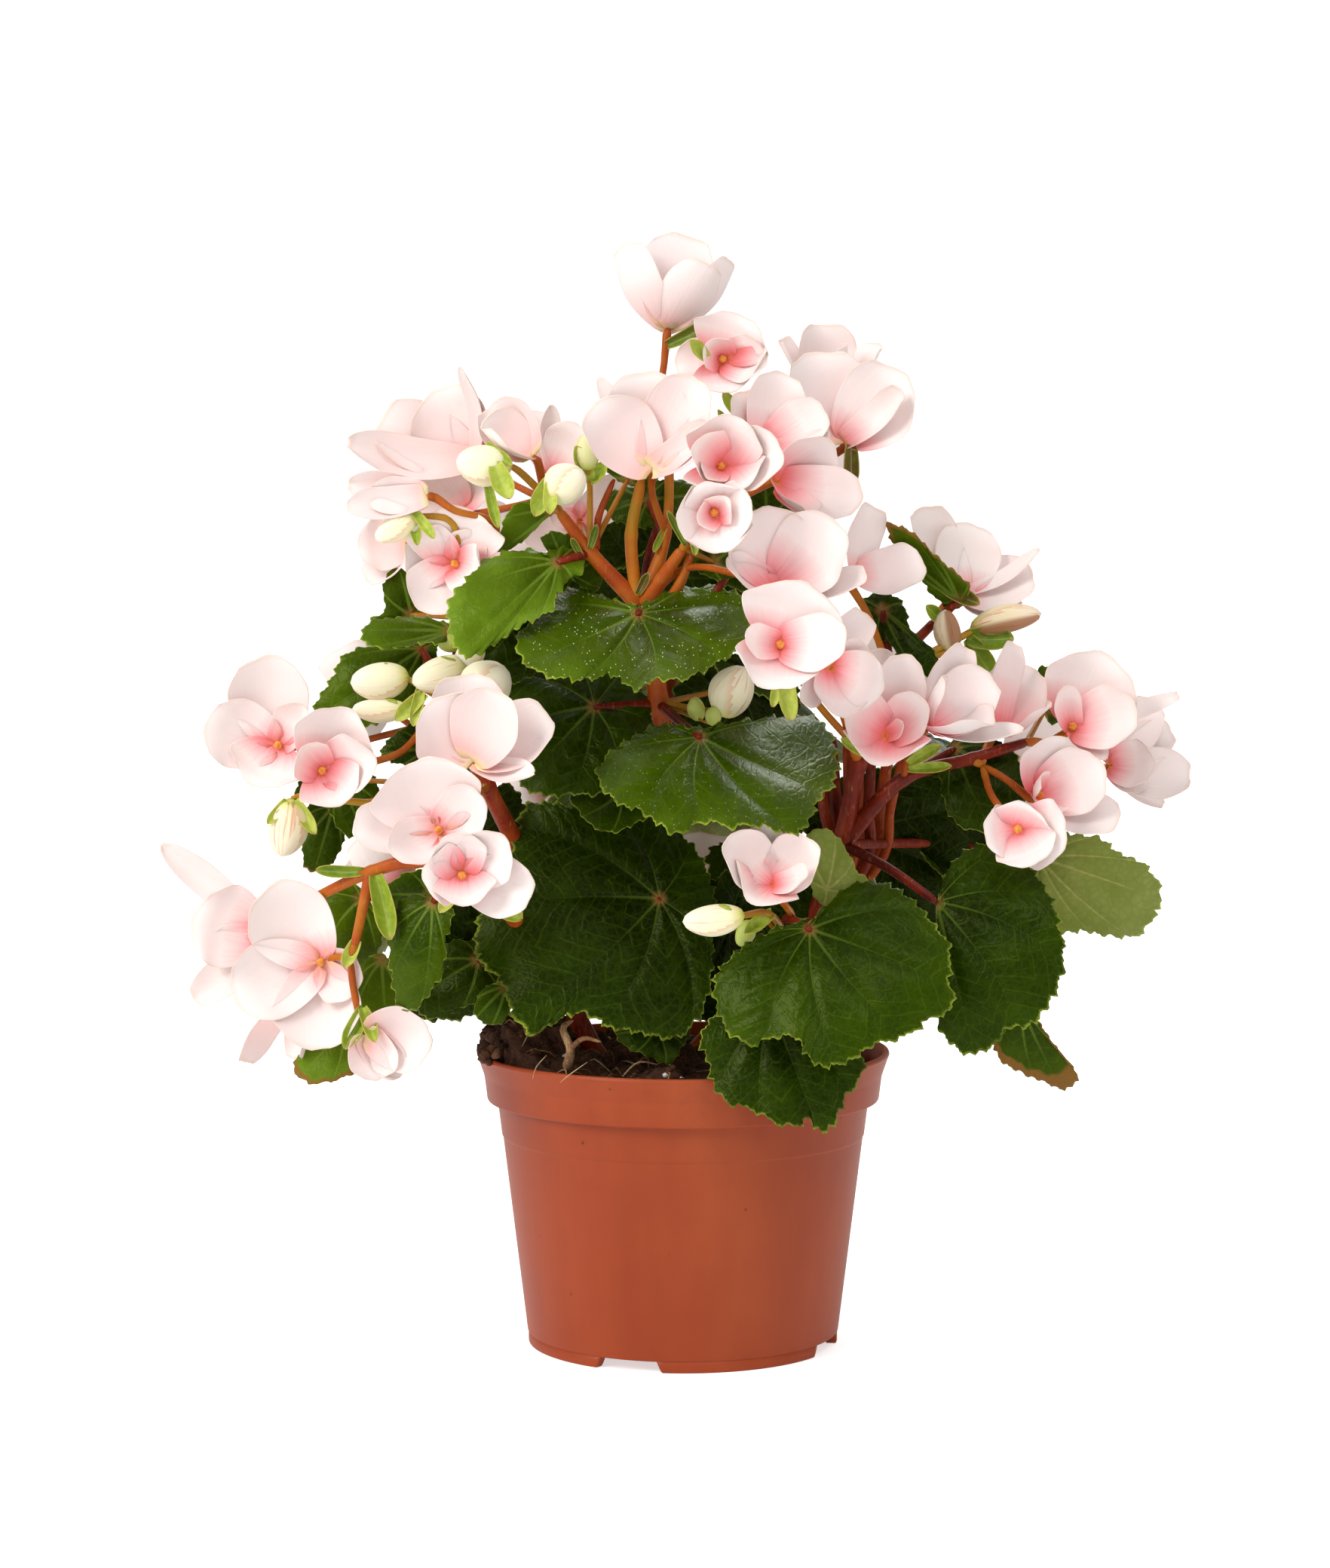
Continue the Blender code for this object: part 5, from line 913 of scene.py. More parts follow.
# The close stems at the right, under the sprays: top across, foot across, how near, radius
BUNDLE = [(39, 43, 22, 1.6), (43, 46, 16, 2.0), (47.5, 49, 24, 1.5), (51, 50, 12, 2.1), (55, 53, 20, 1.7),
          (60, 55, 10, 1.9), (64, 57, 16, 1.4)]
for top, foot, near, radius in BUNDLE:
    places = [seen(top, rng.uniform(172, 178), near), seen((top + foot) / 2, 157, near - 2),
              seen(foot, 140, near - 6), fork_place("right_low")]
    skins.append(tube_skin(places, [radius * 0.8, radius, radius, radius], rng, step=1.6,
                           red=rng.uniform(0.6, 0.95), lime=0.0))
stems = piece("branching_stems", skins, [STEM], ["stems"])
print(stems.name, len(stems.data.polygons), "faces")

# %% Bloom stalks
# A bloom's stalk ends in a small heart that reaches a little below and above where the petals meet, mm
BLOOM_STALK_RADIUS, HEART_RADIUS, HEART_BELOW, HEART_ABOVE = 1.0, 1.5, 3.0, 0.2
# A spray divides this share of the way to its blooms, but no further than this from its fork
SPLIT_SHARE, SPLIT_REACH = 0.45, 10.0


def spray_split(fork, members):
    """Where a spray's stalk divides: part of the way to the middle of its blooms' first places."""
    start = fork_place(fork)
    firsts = [seen(*passing[0]) if passing else bloom_layout(bloom)[0]
              for bloom, passing in members.items()]
    way = np.mean(firsts, axis=0) - start
    reach = np.linalg.norm(way)
    return start + way / reach * min(SPLIT_REACH, SPLIT_SHARE * reach)


for spray, (fork, members) in SPRAYS.items():
    rng = dice(spray)
    start = fork_place(fork)
    skins = []
    if len(members) > 1:
        split = spray_split(fork, members)
        skins.append(stalk_skin([start, split], BLOOM_STALK_RADIUS * 1.3, rng, red=0.5, lime=0.1))
        start = split
    for bloom, passing in members.items():
        base, faces, petals = bloom_layout(bloom)
        route = [start] + [seen(*p) for p in passing]
        route += [base - faces * HEART_BELOW, base + faces * HEART_ABOVE]
        radii = [BLOOM_STALK_RADIUS * 1.1] + [BLOOM_STALK_RADIUS] * (len(route) - 3)
        radii += [BLOOM_STALK_RADIUS * 1.3, HEART_RADIUS]
        skins.append(tube_skin(route, radii, rng, around=10, red=rng.uniform(0.4, 0.65), lime=0.05))
    stalks = piece(spray + "_stalks", skins, [STEM], [spray])
print(len(SPRAYS), "sprays have their stalks")

# %% [markdown]
# ## Leaf finish
# The blade of a begonia leaf is waxed and almost black-green where it turns from the light, yellow-lime at
# its teeth and paler along its hand of veins. Light slides over it in broken streaks, because the blade is
# puckered between the veins. Marks on the points give the distance from the nearest main vein and from the
# stalk in millimetres, so the vein widths below are real ones: half a millimetre near the stalk.

# %% Leaf material
def leaf_finish():
    """Waxed upper side and matt, olive underside."""
    made, tree, shader = finish_named("waxed_begonia_leaf")
    flat = put(tree, "TexCoord", out="UV")
    vein, reach, edge, top, tone, specks = (
        put(tree, "Attribute", out="Fac", attribute_name=mark)
        for mark in ("vein", "reach", "edge", "top", "tone", "specks"))
    # The blade's own map is in tenths of a metre: patches 14 mm across
    patches = put(tree, "TexNoise", Vector=flat, Scale=7.0, Detail=3.0, Roughness=0.55)
    wander = put(tree, "Math", put(tree, "Math", patches, 0.5, **LESS), 6.0, **TIMES)
    width = put(tree, "Math", reach, -0.01, 0.6, **TIMES_PLUS)
    main = put(tree, "MapRange", put(tree, "Math", vein, put(tree, "Math", width, 0.18,
                                                             operation="MAXIMUM"), operation="DIVIDE"),
               0.35, 1.0, 1.0, 0.0, **SMOOTH)
    # Side veins leave a main vein every 5 mm, at a slant
    slant = put(tree, "Math", vein, -0.95, put(tree, "Math", reach, wander, operation="ADD"), **TIMES_PLUS)
    phase = put(tree, "Math", put(tree, "Math", slant, 5.0, operation="DIVIDE"), operation="FRACT")
    from_side = put(tree, "Math", put(tree, "Math", phase, 0.5, **LESS), operation="ABSOLUTE")
    side = put(tree, "MapRange", from_side, 0.02, 0.09, 1.0, 0.0, **SMOOTH)
    # The net of small veins has cells of 2.4 mm, and the grain is 0.6 mm
    net = put(tree, "TexVoronoi", Vector=flat, Scale=42.0, Randomness=0.9,
              feature="DISTANCE_TO_EDGE")
    ridge = put(tree, "MapRange", net, 0.02, 0.2, 1.0, 0.0, **SMOOTH)
    grain = put(tree, "TexNoise", Vector=flat, Scale=160.0, Detail=2.0)
    # The green follows the tone mark: each leaf's own green, with painted shade towards the stalk and on
    # leaves deep in the plant
    green = put(tree, "ValToRGB", put(tree, "Math", put(tree, "Math", patches, 0.5, **LESS), 0.5, tone,
                                      **TIMES_PLUS), stops=[(0.0, "#0A1200"), (0.2, "#142200"),
                                                            (0.45, "#283C00"), (0.65, "#3C5000"),
                                                            (0.85, "#567010"), (1.0, "#76942A")])
    green = put(tree, "Mix", put(tree, "Math", ridge, 0.06, **TIMES), green, "#5C7A0E",
                **COLOURS)
    green = put(tree, "Mix", put(tree, "Math", side, 0.08, **TIMES), green, "#6A8A1C",
                **COLOURS)
    near_joint = put(tree, "MapRange", reach, 0.5, 20.0, 0.5, 0.06, **SMOOTH)
    bright = put(tree, "Math", near_joint, put(tree, "Math", tone, 1.1, 0.35, **TIMES_PLUS), **TIMES)
    green = put(tree, "Mix", put(tree, "Math", main, bright, **TIMES), green, "#7C9A34",
                **COLOURS)
    green = put(tree, "Mix", put(tree, "MapRange", reach, 0.6, 3.2, 0.75, 0.0, **SMOOTH),
                green, "#8E6A3A", **COLOURS)
    # Pale specks 1.2 mm apart
    dots = put(tree, "TexVoronoi", Vector=flat, Scale=80.0)
    dust_and_specks = put(tree, "Math", put(tree, "MapRange", dots, 0.09, 0.16, 0.75, 0.0, **SMOOTH), specks, **TIMES)
    green = put(tree, "Mix", dust_and_specks, green, "#E4EBCB", **COLOURS)
    under = put(tree, "ValToRGB", patches, stops=[(0.3, "#707C30"), (0.7, "#88904A")])
    under = put(tree, "Mix", put(tree, "Math", main, 0.5, **TIMES), under, "#B0AC68",
                **COLOURS)
    under = put(tree, "Mix", put(tree, "Math", ridge, 0.25, **TIMES), under, "#606E28",
                **COLOURS)
    body = put(tree, "Mix", top, under, green, **COLOURS)
    # The margin's teeth: lime, and scorched brown in spots of 4 mm
    lime = put(tree, "MapRange", put(tree, "Math", grain, 0.03, edge, **TIMES_PLUS), 0.988, 1.018, 0.0, 0.6,
               **SMOOTH)
    lime = put(tree, "Math", lime, put(tree, "MapRange", patches, 0.35, 0.6, 0.3, 1.0, **SMOOTH), **TIMES)
    scorch = put(tree, "MapRange", put(tree, "TexNoise", Vector=flat, Scale=24.0, Detail=2.0), 0.56, 0.68,
                 **SMOOTH)
    margin = put(tree, "Mix", scorch, "#B5C645", "#7A4A24", **COLOURS)
    body = put(tree, "Mix", lime, body, margin, **COLOURS)
    crisp = put(tree, "Math", put(tree, "Math", patches, 0.5, **LESS), 0.5, edge, **TIMES_PLUS)
    crisp = put(tree, "Math", put(tree, "Attribute", out="Fac", attribute_name="dry"), 0.35, crisp,
                **TIMES_PLUS)
    body = put(tree, "Mix", put(tree, "MapRange", crisp, 1.1, 1.16, 0.0, 0.85, **SMOOTH),
               body, "#8A5C2C", **COLOURS)
    relief = put(tree, "Math", main, -0.8, put(tree, "Math", grain, 0.4, **TIMES), **TIMES_PLUS)
    relief = put(tree, "Math", side, -0.35, relief, **TIMES_PLUS)
    relief = put(tree, "Math", ridge, -0.35, relief, **TIMES_PLUS)
    bump = put(tree, "Bump", Strength=0.4, Distance=0.0004, Height=relief)
    rough = put(tree, "Math", top, -0.24, put(tree, "Math", grain, 0.14, 0.46, **TIMES_PLUS), **TIMES_PLUS)
    wire(tree, shader, {"Base Color": body, "Roughness": rough, "IOR": 1.45, "Specular IOR Level": 0.18,
                        "Specular Tint": "#DCEB9C", "Normal": bump})
    return made


LEAF = leaf_finish()
print("material:", LEAF.name)

# %% [markdown]
# ## Leaves
# A blade could be a picture on a card, but its edge and its folds are what the eye follows. So its outline
# is a closed curve through the seen points, cut into two sizes of teeth, and the blade is a fan of columns
# from the stalk to that edge. Its height is a formula of the distance from the nearest main vein: a groove
# on the vein, bulges between the side veins, and a wave that grows towards the margin.

# %% Leaf looks
# Leaves that show their underside, and how thickly pale specks lie on a leaf; the rest have the few below
FLIPPED = (11, 29)
SPECKLED = {1: 1.0, 5: 0.35}
SOME_SPECKS = 0.05
# How far a dry brown margin reaches into a leaf
DRY = {12: 0.7, 25: 0.5, 19: 0.6, 29: 0.35, 13: 0.15, 21: 0.3}
# How bright a green each leaf is, from black-green to lime; the rest have one of their own. Part is each
# leaf's own green, and the near-black tones of leaves deep inside and behind the plant are painted shade
TONES = {
    1: 0.64, 2: 0.8, 5: 0.58, 6: 0.36, 7: 0.42, 8: 0.24, 9: 0.42, 10: 0.3, 13: 0.26, 14: 0.34, 3: 0.5,
    4: 0.75, 12: 0.5, 15: 0.5, 18: 0.3, 22: 0.6, 23: 0.65, 27: 0.2, 28: 0.25, 30: 0.5, 41: 0.22, 42: 0.3,
    43: 0.15, 44: 0.12, 45: 0.15, 46: 0.2, 16: 0.65, 17: 0.75, 19: 0.85, 24: 0.6, 25: 0.6, 47: 0.12,
    48: 0.5,
}
print(len(TONES), "leaves have a green of their own")

# %% Leaf surface
# How far a margin falls back: mm for a leaf behind, and times the table's figure for one in front
LEAF_FALL, FRONT_FALL = 6.0, 2.4
LEAF_HALF_THICK = 0.3
# A leaf wider than this has more veins and rows
BROAD_LEAF = 38.0
# The teeth, coarse and fine: how deep they are and how far apart, mm
TOOTH_DEPTH, TOOTH_PITCH, FINE_DEPTH, FINE_PITCH = 1.7, 5.6, 0.7, 2.2
# A main vein's groove: its depth and half width. A side vein's spacing and slant
GROOVE_DEPTH, GROOVE_HALF, SIDE_PITCH, SIDE_SLANT = 0.75, 1.3, 5.0, 0.95
# The bulges between side veins, how far from a main vein they start, and the waves of the margin and blade
BULGE, BULGE_FROM, MARGIN_WAVE, BLADE_WAVE, PUCKER = 0.7, 2.4, 1.3, 0.5, 0.35


def closed_curve(points, count):
    """count places, evenly spaced along a closed Catmull-Rom curve through the points, and how far along it
    each is."""
    p = np.asarray(points, float)
    t = np.linspace(0, 1, 16, endpoint=False)[None, :, None]
    a, b, c, d = (np.roll(p, 1 - k, axis=0)[:, None, :] for k in range(4))
    fine = 0.5 * (2 * b + (c - a) * t + (2 * a - 5 * b + 4 * c - d) * t ** 2
                  + (3 * b - a - 3 * c + d) * t ** 3)
    fine = np.concatenate([fine.reshape(-1, 2), p[:1]])
    run = np.concatenate([[0], np.cumsum(np.linalg.norm(np.diff(fine, axis=0), axis=1))])
    at = np.linspace(0, run[-1], count, endpoint=False)
    return np.stack([np.interp(at, run, fine[:, k]) for k in (0, 1)], axis=1), at


def counterclockwise(points):
    """The points in anticlockwise order: twice their area, the sum of x y' - x' y, is above 0."""
    p = np.asarray(points, float)
    area = np.sum(p[:, 0] * np.roll(p[:, 1], -1) - np.roll(p[:, 0], -1) * p[:, 1])
    return p if area > 0 else p[::-1]


def leaf_layout(number):
    """Outline, stalk joint and fall of a leaf in its own plane, and the function that places a point of it,
    lifted so many mm off the plane."""
    if number in LEAVES:
        (across, up, toward), (right, rise), fall, outline = LEAVES[number]
        slant = math.sqrt(1 + right ** 2 + rise ** 2)

        def place(a, b, lift):
            return seen(a, b, toward + right * (a - across) + rise * (b - up) + lift * slant)
        return counterclockwise(outline), np.array([across, up], float), fall * FRONT_FALL, place
    joint, heading, dip, size, roll = BACK_LEAVES[number]
    here = seen(*joint)
    h, d, q = math.radians(heading), math.radians(dip), math.radians(roll)
    forward = np.array([math.cos(h) * math.cos(d), math.sin(h) * math.cos(d), -math.sin(d)])
    level = np.array([math.sin(h), -math.cos(h), 0.0])
    over = np.cross(level, forward)
    side = level * math.cos(q) + over * math.sin(q)
    above = np.cross(side, forward)

    def place(a, b, lift):
        a, b, lift = (np.asarray(v, float)[..., None] for v in (a, b, lift))
        return here + side * a + forward * b + above * lift
    return counterclockwise(LEAF_PLAN) * size, np.zeros(2), LEAF_FALL, place


def saw(x):
    """A row of teeth: each rises slowly, as x^1.6, and drops at once."""
    return (x - np.floor(x)) ** 1.6


def leaf_skin(number, rng):
    """A closed blade, and where its stalk joins it. Height = -fall x (distance from the middle) squared,
    less a groove exp(-(d/w)^2) on each main vein, with bulges |sin| between side veins and a margin wave
    that grows as t cubed."""
    outline, joint, fall, place = leaf_layout(number)
    span = np.ptp(outline, axis=0).max()
    broad = span > BROAD_LEAF
    rough_length = np.sum(np.linalg.norm(np.diff(outline, axis=0, append=outline[:1]), axis=1))
    cols = int(np.clip(rough_length / 0.8, 60, 300)) // 2 * 2
    edge, run = closed_curve(outline, cols)
    spokes = edge - joint
    far = np.linalg.norm(spokes, axis=1)
    size = min(1.0, span / 45)
    # Two sizes of teeth, cut square to the edge
    way = np.roll(edge, -1, axis=0) - np.roll(edge, 1, axis=0)
    out = unit(np.stack([way[:, 1], -way[:, 0]], axis=1))
    length = run[-1] + run[1]
    tip = run[np.argmax(far)]
    from_tip = np.abs((run - tip + length / 2) % length - length / 2)
    drift = 0.5 * np.sin(from_tip / 9 + rng.uniform(0, 6))
    tooth = TOOTH_DEPTH * size * (saw(-from_tip / TOOTH_PITCH / (0.7 + 0.3 * size) + drift) - 0.4)
    tooth += FINE_DEPTH * size * (saw(-from_tip / FINE_PITCH + 2 * drift) - 0.4)
    # Main veins: evenly along the edge, away from the bay where the stalk joins
    bay = int(np.argmin(far))
    count = 8 if broad else 6
    shares = (np.arange(count) + 0.5 + rng.uniform(-0.16, 0.16, count)) / count
    veins = (bay + (shares * cols).astype(int)) % cols
    heading = np.arctan2(spokes[:, 1], spokes[:, 0])
    bend = 0.3 * np.sin(heading - heading[np.argmax(far)])
    top_t = np.concatenate([[0.012], 1 - (1 - np.linspace(0.05, 1, 19 if broad else 11)) ** 1.35])
    low_t = np.array([1.0, 0.97, 0.85, 0.7, 0.5, 0.3, 0.14, 0.012])
    middle = outline.mean(axis=0)
    widest = np.linalg.norm(edge - middle, axis=1).max()
    shifts = rng.uniform(0, 6, 4)
    waves = rng.integers(3, 6)

    def sheet(t):
        """One side of the blade at shares t of the way from the joint to the edge."""
        t = t[:, None]
        flat = joint + t[..., None] * spokes[None] + (t ** 10 * tooth)[..., None] * out[None]
        reach = np.linalg.norm(flat - joint, axis=-1)
        # The veins bend towards the tip as they run out
        from_vein = (heading + bend * (t ** 1.5 - 1))[..., None] - heading[veins]
        gap = np.abs(np.angle(np.exp(1j * from_vein))).min(axis=-1)
        off = reach * np.sin(np.minimum(gap, np.pi / 2))
        rho = np.linalg.norm(flat - middle, axis=-1) / widest
        inside = np.sin(np.pi * np.minimum(t, 1.0) ** 0.8)
        side = np.abs(np.sin(np.pi * (reach - SIDE_SLANT * off) / SIDE_PITCH))
        lift = -fall * rho ** 2
        lift = lift - GROOVE_DEPTH * size * np.exp(-(off / GROOVE_HALF) ** 2) * (1 - t ** 2)
        lift = lift + BULGE * size * (1 - np.exp(-(off / BULGE_FROM) ** 2)) * side * (0.35 + 0.65 * inside)
        lift = lift + MARGIN_WAVE * size * t ** 3 * np.sin(waves * heading + shifts[0])
        lift = lift + BLADE_WAVE * size * t ** 2 * np.sin(2.3 * waves * heading + shifts[1])
        lift = lift + PUCKER * size * np.sin(flat[..., 0] / 5 + shifts[2]) * np.sin(flat[..., 1] / 4)
        points = place(flat[..., 0], flat[..., 1], lift)
        along = np.gradient(points, axis=0)
        around = np.roll(points, -1, axis=1) - np.roll(points, 1, axis=1)
        normal = unit(np.cross(along, around))
        above = place(flat[..., 0], flat[..., 1], lift + 1.0) - points
        normal = normal * np.sign(np.sum(normal * above, axis=-1, keepdims=True))
        half = LEAF_HALF_THICK * (1 - 0.6 * t ** 12)
        return points, normal * half[..., None], flat, off, reach, t * np.ones_like(reach)

    up, low = sheet(top_t), sheet(low_t)
    tops, lows = up[0] + up[1], low[0] - low[1]
    grids = [np.concatenate([a, b]) for a, b in zip((tops, *up[2:]), (lows, *low[2:]))]
    grids = [np.concatenate([g[:1].mean(axis=1, keepdims=True).repeat(cols, axis=1), g,
                             g[-1:].mean(axis=1, keepdims=True).repeat(cols, axis=1)]) for g in grids]
    points, flat, off, reach, edge_mark = grids
    rows = len(points)
    is_top = (np.arange(rows) <= len(top_t)).astype(float)[:, None]
    if number in FLIPPED:
        is_top = 1 - is_top
    # Each blade is darker towards its stalk: partly the leaf's own colour, partly painted shade where the
    # stems and blades above shade the plant's middle
    tone = TONES.get(number, rng.uniform(0.3, 0.6)) + 0.22 * (edge_mark - 0.6)
    made = skin(points, ends=("pole", "pole"), uv=flat / 100 + rng.uniform(0, 9, 2), vein=off, reach=reach,
                edge=edge_mark, top=is_top, tone=tone, specks=SPECKLED.get(number, SOME_SPECKS),
                dry=DRY.get(number, 0.0))
    return made, place(*joint, -fall * (np.linalg.norm(joint - middle) / widest) ** 2)


print("leaf 1 falls by", leaf_layout(1)[2], "mm at its margin")

# %% Blades on their stalks
LEAF_STALK_RADIUS = 1.3
# The leaves that the CAD leaves out
SLIGHT = [number for number in (*LEAVES, *BACK_LEAVES) if "leaf_%02d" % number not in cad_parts]


def leaf_skins(number):
    """The blade and its stalk."""
    rng = dice("leaf_%02d" % number)
    blade, joint = leaf_skin(number, rng)
    fork, passing = LEAF_STALKS[number]
    route = [fork_place(fork)] + [seen(*p) for p in passing] + [joint]
    small = number in SLIGHT
    stalk = stalk_skin(route, LEAF_STALK_RADIUS * (0.6 if small else 1.0), rng,
                       red=rng.uniform(0.6, 0.8) + (0 if small else 0.2), lime=0.25 if small else 0.0)
    return blade, stalk


for number in [*LEAVES, *BACK_LEAVES]:
    if number not in SLIGHT:
        name = "leaf_%02d" % number
        blade, stalk = leaf_skins(number)
        made = piece(name + "_blade", [blade], [LEAF], [name])
        piece(name + "_stalk", [stalk], [STEM], [name])
        print(made.name, len(made.data.polygons), "faces")
slight = [leaf_skins(number) for number in SLIGHT]
small_blades = piece("small_leaf_blades", [blade for blade, stalk in slight], [LEAF])
piece("small_leaf_stalks", [stalk for blade, stalk in slight], [STEM])
print(len(slight), "small leaves:", len(small_blades.data.polygons), "faces")

# %% [markdown]
# ## Buds and bracts
# A begonia bud is two petals pressed together like a purse: a flattened ovoid with a keel where they meet.
# Lime bracts sit under buds and at the forks. The bud is a turned profile whose cross-section is pressed
# flat, and a bract is a narrow petal in another finish.

# %% Bud and bract materials
def bud_finish():
    """Waxy bud skin: lime at its foot, cream to blush at its tip."""
    made, tree, shader = finish_named("waxy_bud_skin")
    flat = put(tree, "TexCoord", out="UV")
    across, along = put(tree, "SeparateXYZ", flat), put(tree, "SeparateXYZ", flat, out=1)
    squeezed = put(tree, "CombineXYZ", put(tree, "Math", across, 22.0, **TIMES),
                   put(tree, "Math", along, 1.5, **TIMES),
                   put(tree, "Attribute", out="Fac", attribute_name="shade"))
    streaks = put(tree, "TexNoise", Vector=squeezed, Scale=1.0, Detail=3.0)
    body = put(tree, "ValToRGB", put(tree, "Math", put(tree, "Math", streaks, 0.5, **LESS), 0.2, along,
                                     **TIMES_PLUS), stops=[(0.0, "#B4C248"), (0.09, "#E6E68C"),
                                                           (0.24, "#FCF4CC"), (1.0, "#FDF2DC")])
    body = put(tree, "Mix", put(tree, "Math", put(tree, "MapRange", streaks, 0.55, 0.7, **SMOOTH),
                                put(tree, "Attribute", out="Fac", attribute_name="blush"), **TIMES),
               body, "#E9A48C", **COLOURS)
    # A petal's free edge at the seam is tinged with tan and pink
    body = put(tree, "Mix", put(tree, "MapRange", put(tree, "Attribute", out="Fac", attribute_name="seam"),
                                0.8, 1.0, 0.0, 0.7, **SMOOTH), body, "#EDBE98", **COLOURS)
    under_side = put(tree, "MapRange", across, 0.42, 0.58, 0.85, 0.2, **SMOOTH)
    body = put(tree, "Mix", put(tree, "Math", put(tree, "MapRange",
                                                  put(tree, "Attribute", out="Fac", attribute_name="blush"),
                                                  0.8, 1.0, **SMOOTH), under_side, **TIMES),
               body, "#9C5A22", **COLOURS)
    body = put(tree, "Mix", put(tree, "MapRange", put(tree, "Attribute", out="Fac", attribute_name="blush"),
                                -1.0, -0.2, 0.85, 0.0, **SMOOTH), body, "#AEC040",
               **COLOURS)
    bump = put(tree, "Bump", Strength=0.2, Distance=0.0004, Height=streaks)
    wire(tree, shader, {"Base Color": body, "Roughness": 0.42, "IOR": 1.4, "Subsurface Weight": 0.5,
                        "Subsurface Radius": (1.0, 0.8, 0.3), "Subsurface Scale": 0.0025, "Normal": bump})
    return made


def bract_finish():
    """Thin papery bract: lime to olive, with a paler rim."""
    made, tree, shader = finish_named("papery_bract")
    place, flat = put(tree, "TexCoord", out="Object"), put(tree, "TexCoord", out="UV")
    across, along = put(tree, "SeparateXYZ", flat), put(tree, "SeparateXYZ", flat, out=1)
    middle = put(tree, "Math", put(tree, "Math", across, 0.5, **LESS), operation="ABSOLUTE")
    # Papery grain of 2 mm
    grain = put(tree, "TexNoise", Vector=place, Scale=500.0, Detail=3.0)
    tone = put(tree, "Math", put(tree, "Math", grain, 0.5, **LESS), 0.6,
               put(tree, "Attribute", out="Fac", attribute_name="olive"), **TIMES_PLUS)
    body = put(tree, "ValToRGB", tone, stops=[(0.0, "#C6D060"), (0.35, "#93A82C"), (0.7, "#647E1C"),
                                              (1.0, "#6E5222")])
    rib = put(tree, "MapRange", middle, 0.01, 0.06, 0.35, 0.0, **SMOOTH)
    body = put(tree, "Mix", rib, body, "#C6CE74", **COLOURS)
    rim = put(tree, "MapRange", put(tree, "Math", put(tree, "Math", middle, 2.0, **TIMES), along,
                                    operation="MAXIMUM"), 0.86, 1.0, 0.0, 0.5, **SMOOTH)
    body = put(tree, "Mix", rim, body, "#C9A868", **COLOURS)
    bump = put(tree, "Bump", Strength=0.3, Distance=0.0003, Height=grain)
    wire(tree, shader, {"Base Color": body, "Roughness": 0.5, "IOR": 1.4, "Subsurface Weight": 0.25,
                        "Subsurface Radius": (0.6, 1.0, 0.2), "Subsurface Scale": 0.0012, "Normal": bump})
    return made


BUD = bud_finish()
BRACT = bract_finish()
print("materials:", BUD.name, BRACT.name)

# %% Bud surface
def bud_skin(middle, along, length, width, rng, blush):
    """A purse: the radius along it is sin(pi v)^0.5, fuller at its foot, and its cross-section is pressed
    to 0.72 of its width, with a keel at each edge. Two petals wrap it, so the radius grows by a tenth round
    each half and drops at a seam that winds."""
    v = np.linspace(0, 1, 22)[:, None]
    angle = np.linspace(0, 2 * np.pi, 40, endpoint=False)[None, :]
    radius = width * np.sin(np.pi * v) ** 0.5 * (1.02 - 0.12 * v)
    wrap = np.mod(angle / np.pi + 0.35 * v + rng.uniform(0.25, 0.6), 1)
    keel = 1 + 0.05 * np.exp(-(np.sin(angle) / 0.18) ** 2) + 0.02 * np.sin(5 * angle + 3 * v) + 0.1 * wrap
    one = unit(np.cross(along, (0.1, 1.0, 0.15)))
    two = np.cross(along, one)
    bend = 0.06 * length * np.sin(np.pi * v)
    points = (middle + ((2 * v - 1) * length)[..., None] * along
              + (radius * np.cos(angle) * keel + bend)[..., None] * one
              + (0.72 * radius * np.sin(angle))[..., None] * two)
    uv = np.stack(np.broadcast_arrays(np.abs(angle / np.pi - 1), v), axis=-1)
    return skin(points, ends=("pole", "pole"), uv=uv, blush=blush, seam=wrap, shade=rng.uniform(0, 50))


trial = bud_skin(np.zeros(3), np.array([0, 0, 1.0]), 8, 5, dice("trial"), 0)
print("a bud has", len(trial["quads"]), "faces")

# %% Buds, their stalks and their bracts
# How much each bud blushes, -1 where it is still lime; the rest are plain cream
BUD_BLUSH = {
    3: 0.6, 5: 0.2, 6: 0.5, 8: 0.7, 9: 0.8, 11: 0.5, 12: 1.0, 13: 1.0, 10: -1.0, 16: -1.0, 17: -1.0,
    14: -0.6, 18: -1.0, 15: -0.3,
}
PLAIN_CREAM = 0.15
bud_pieces, stalk_pieces, bract_pieces = [], [], []
for number, (place, length, width, faces, fork, passing) in BUDS.items():
    rng = dice("bud_%02d" % number)
    here, along = seen(*place), pointing(*faces)
    bud_pieces.append(bud_skin(here, along, length, width, rng, BUD_BLUSH.get(number, PLAIN_CREAM)))
    route = [fork_place(fork)] + [seen(*p) for p in passing] + [here - along * length * 0.85]
    stalk_pieces.append(stalk_skin(route, BLOOM_STALK_RADIUS * min(1.0, length / 7), rng,
                                   red=rng.uniform(0.3, 0.6), lime=0.3))
    # Two bracts clasp its foot
    foot = here - along * length * 0.92
    across = unit(np.cross(along, (0.0, 1.0, 0.2)))
    for way in (-1, 1):
        tip = foot + along * length * 0.75 + across * way * width * 0.9
        bract_pieces.append(petal_skin(foot, tip, along, width * 0.8, 0.5, rng, rows=10, cols=9, sharp=0.8,
                                       olive=rng.uniform(0.1, 0.4)))
piece("buds_on_stems", bud_pieces, [BUD], ["stems"])
piece("bud_stalks", stalk_pieces, [STEM], ["stems"])
print(len(bud_pieces), "buds")

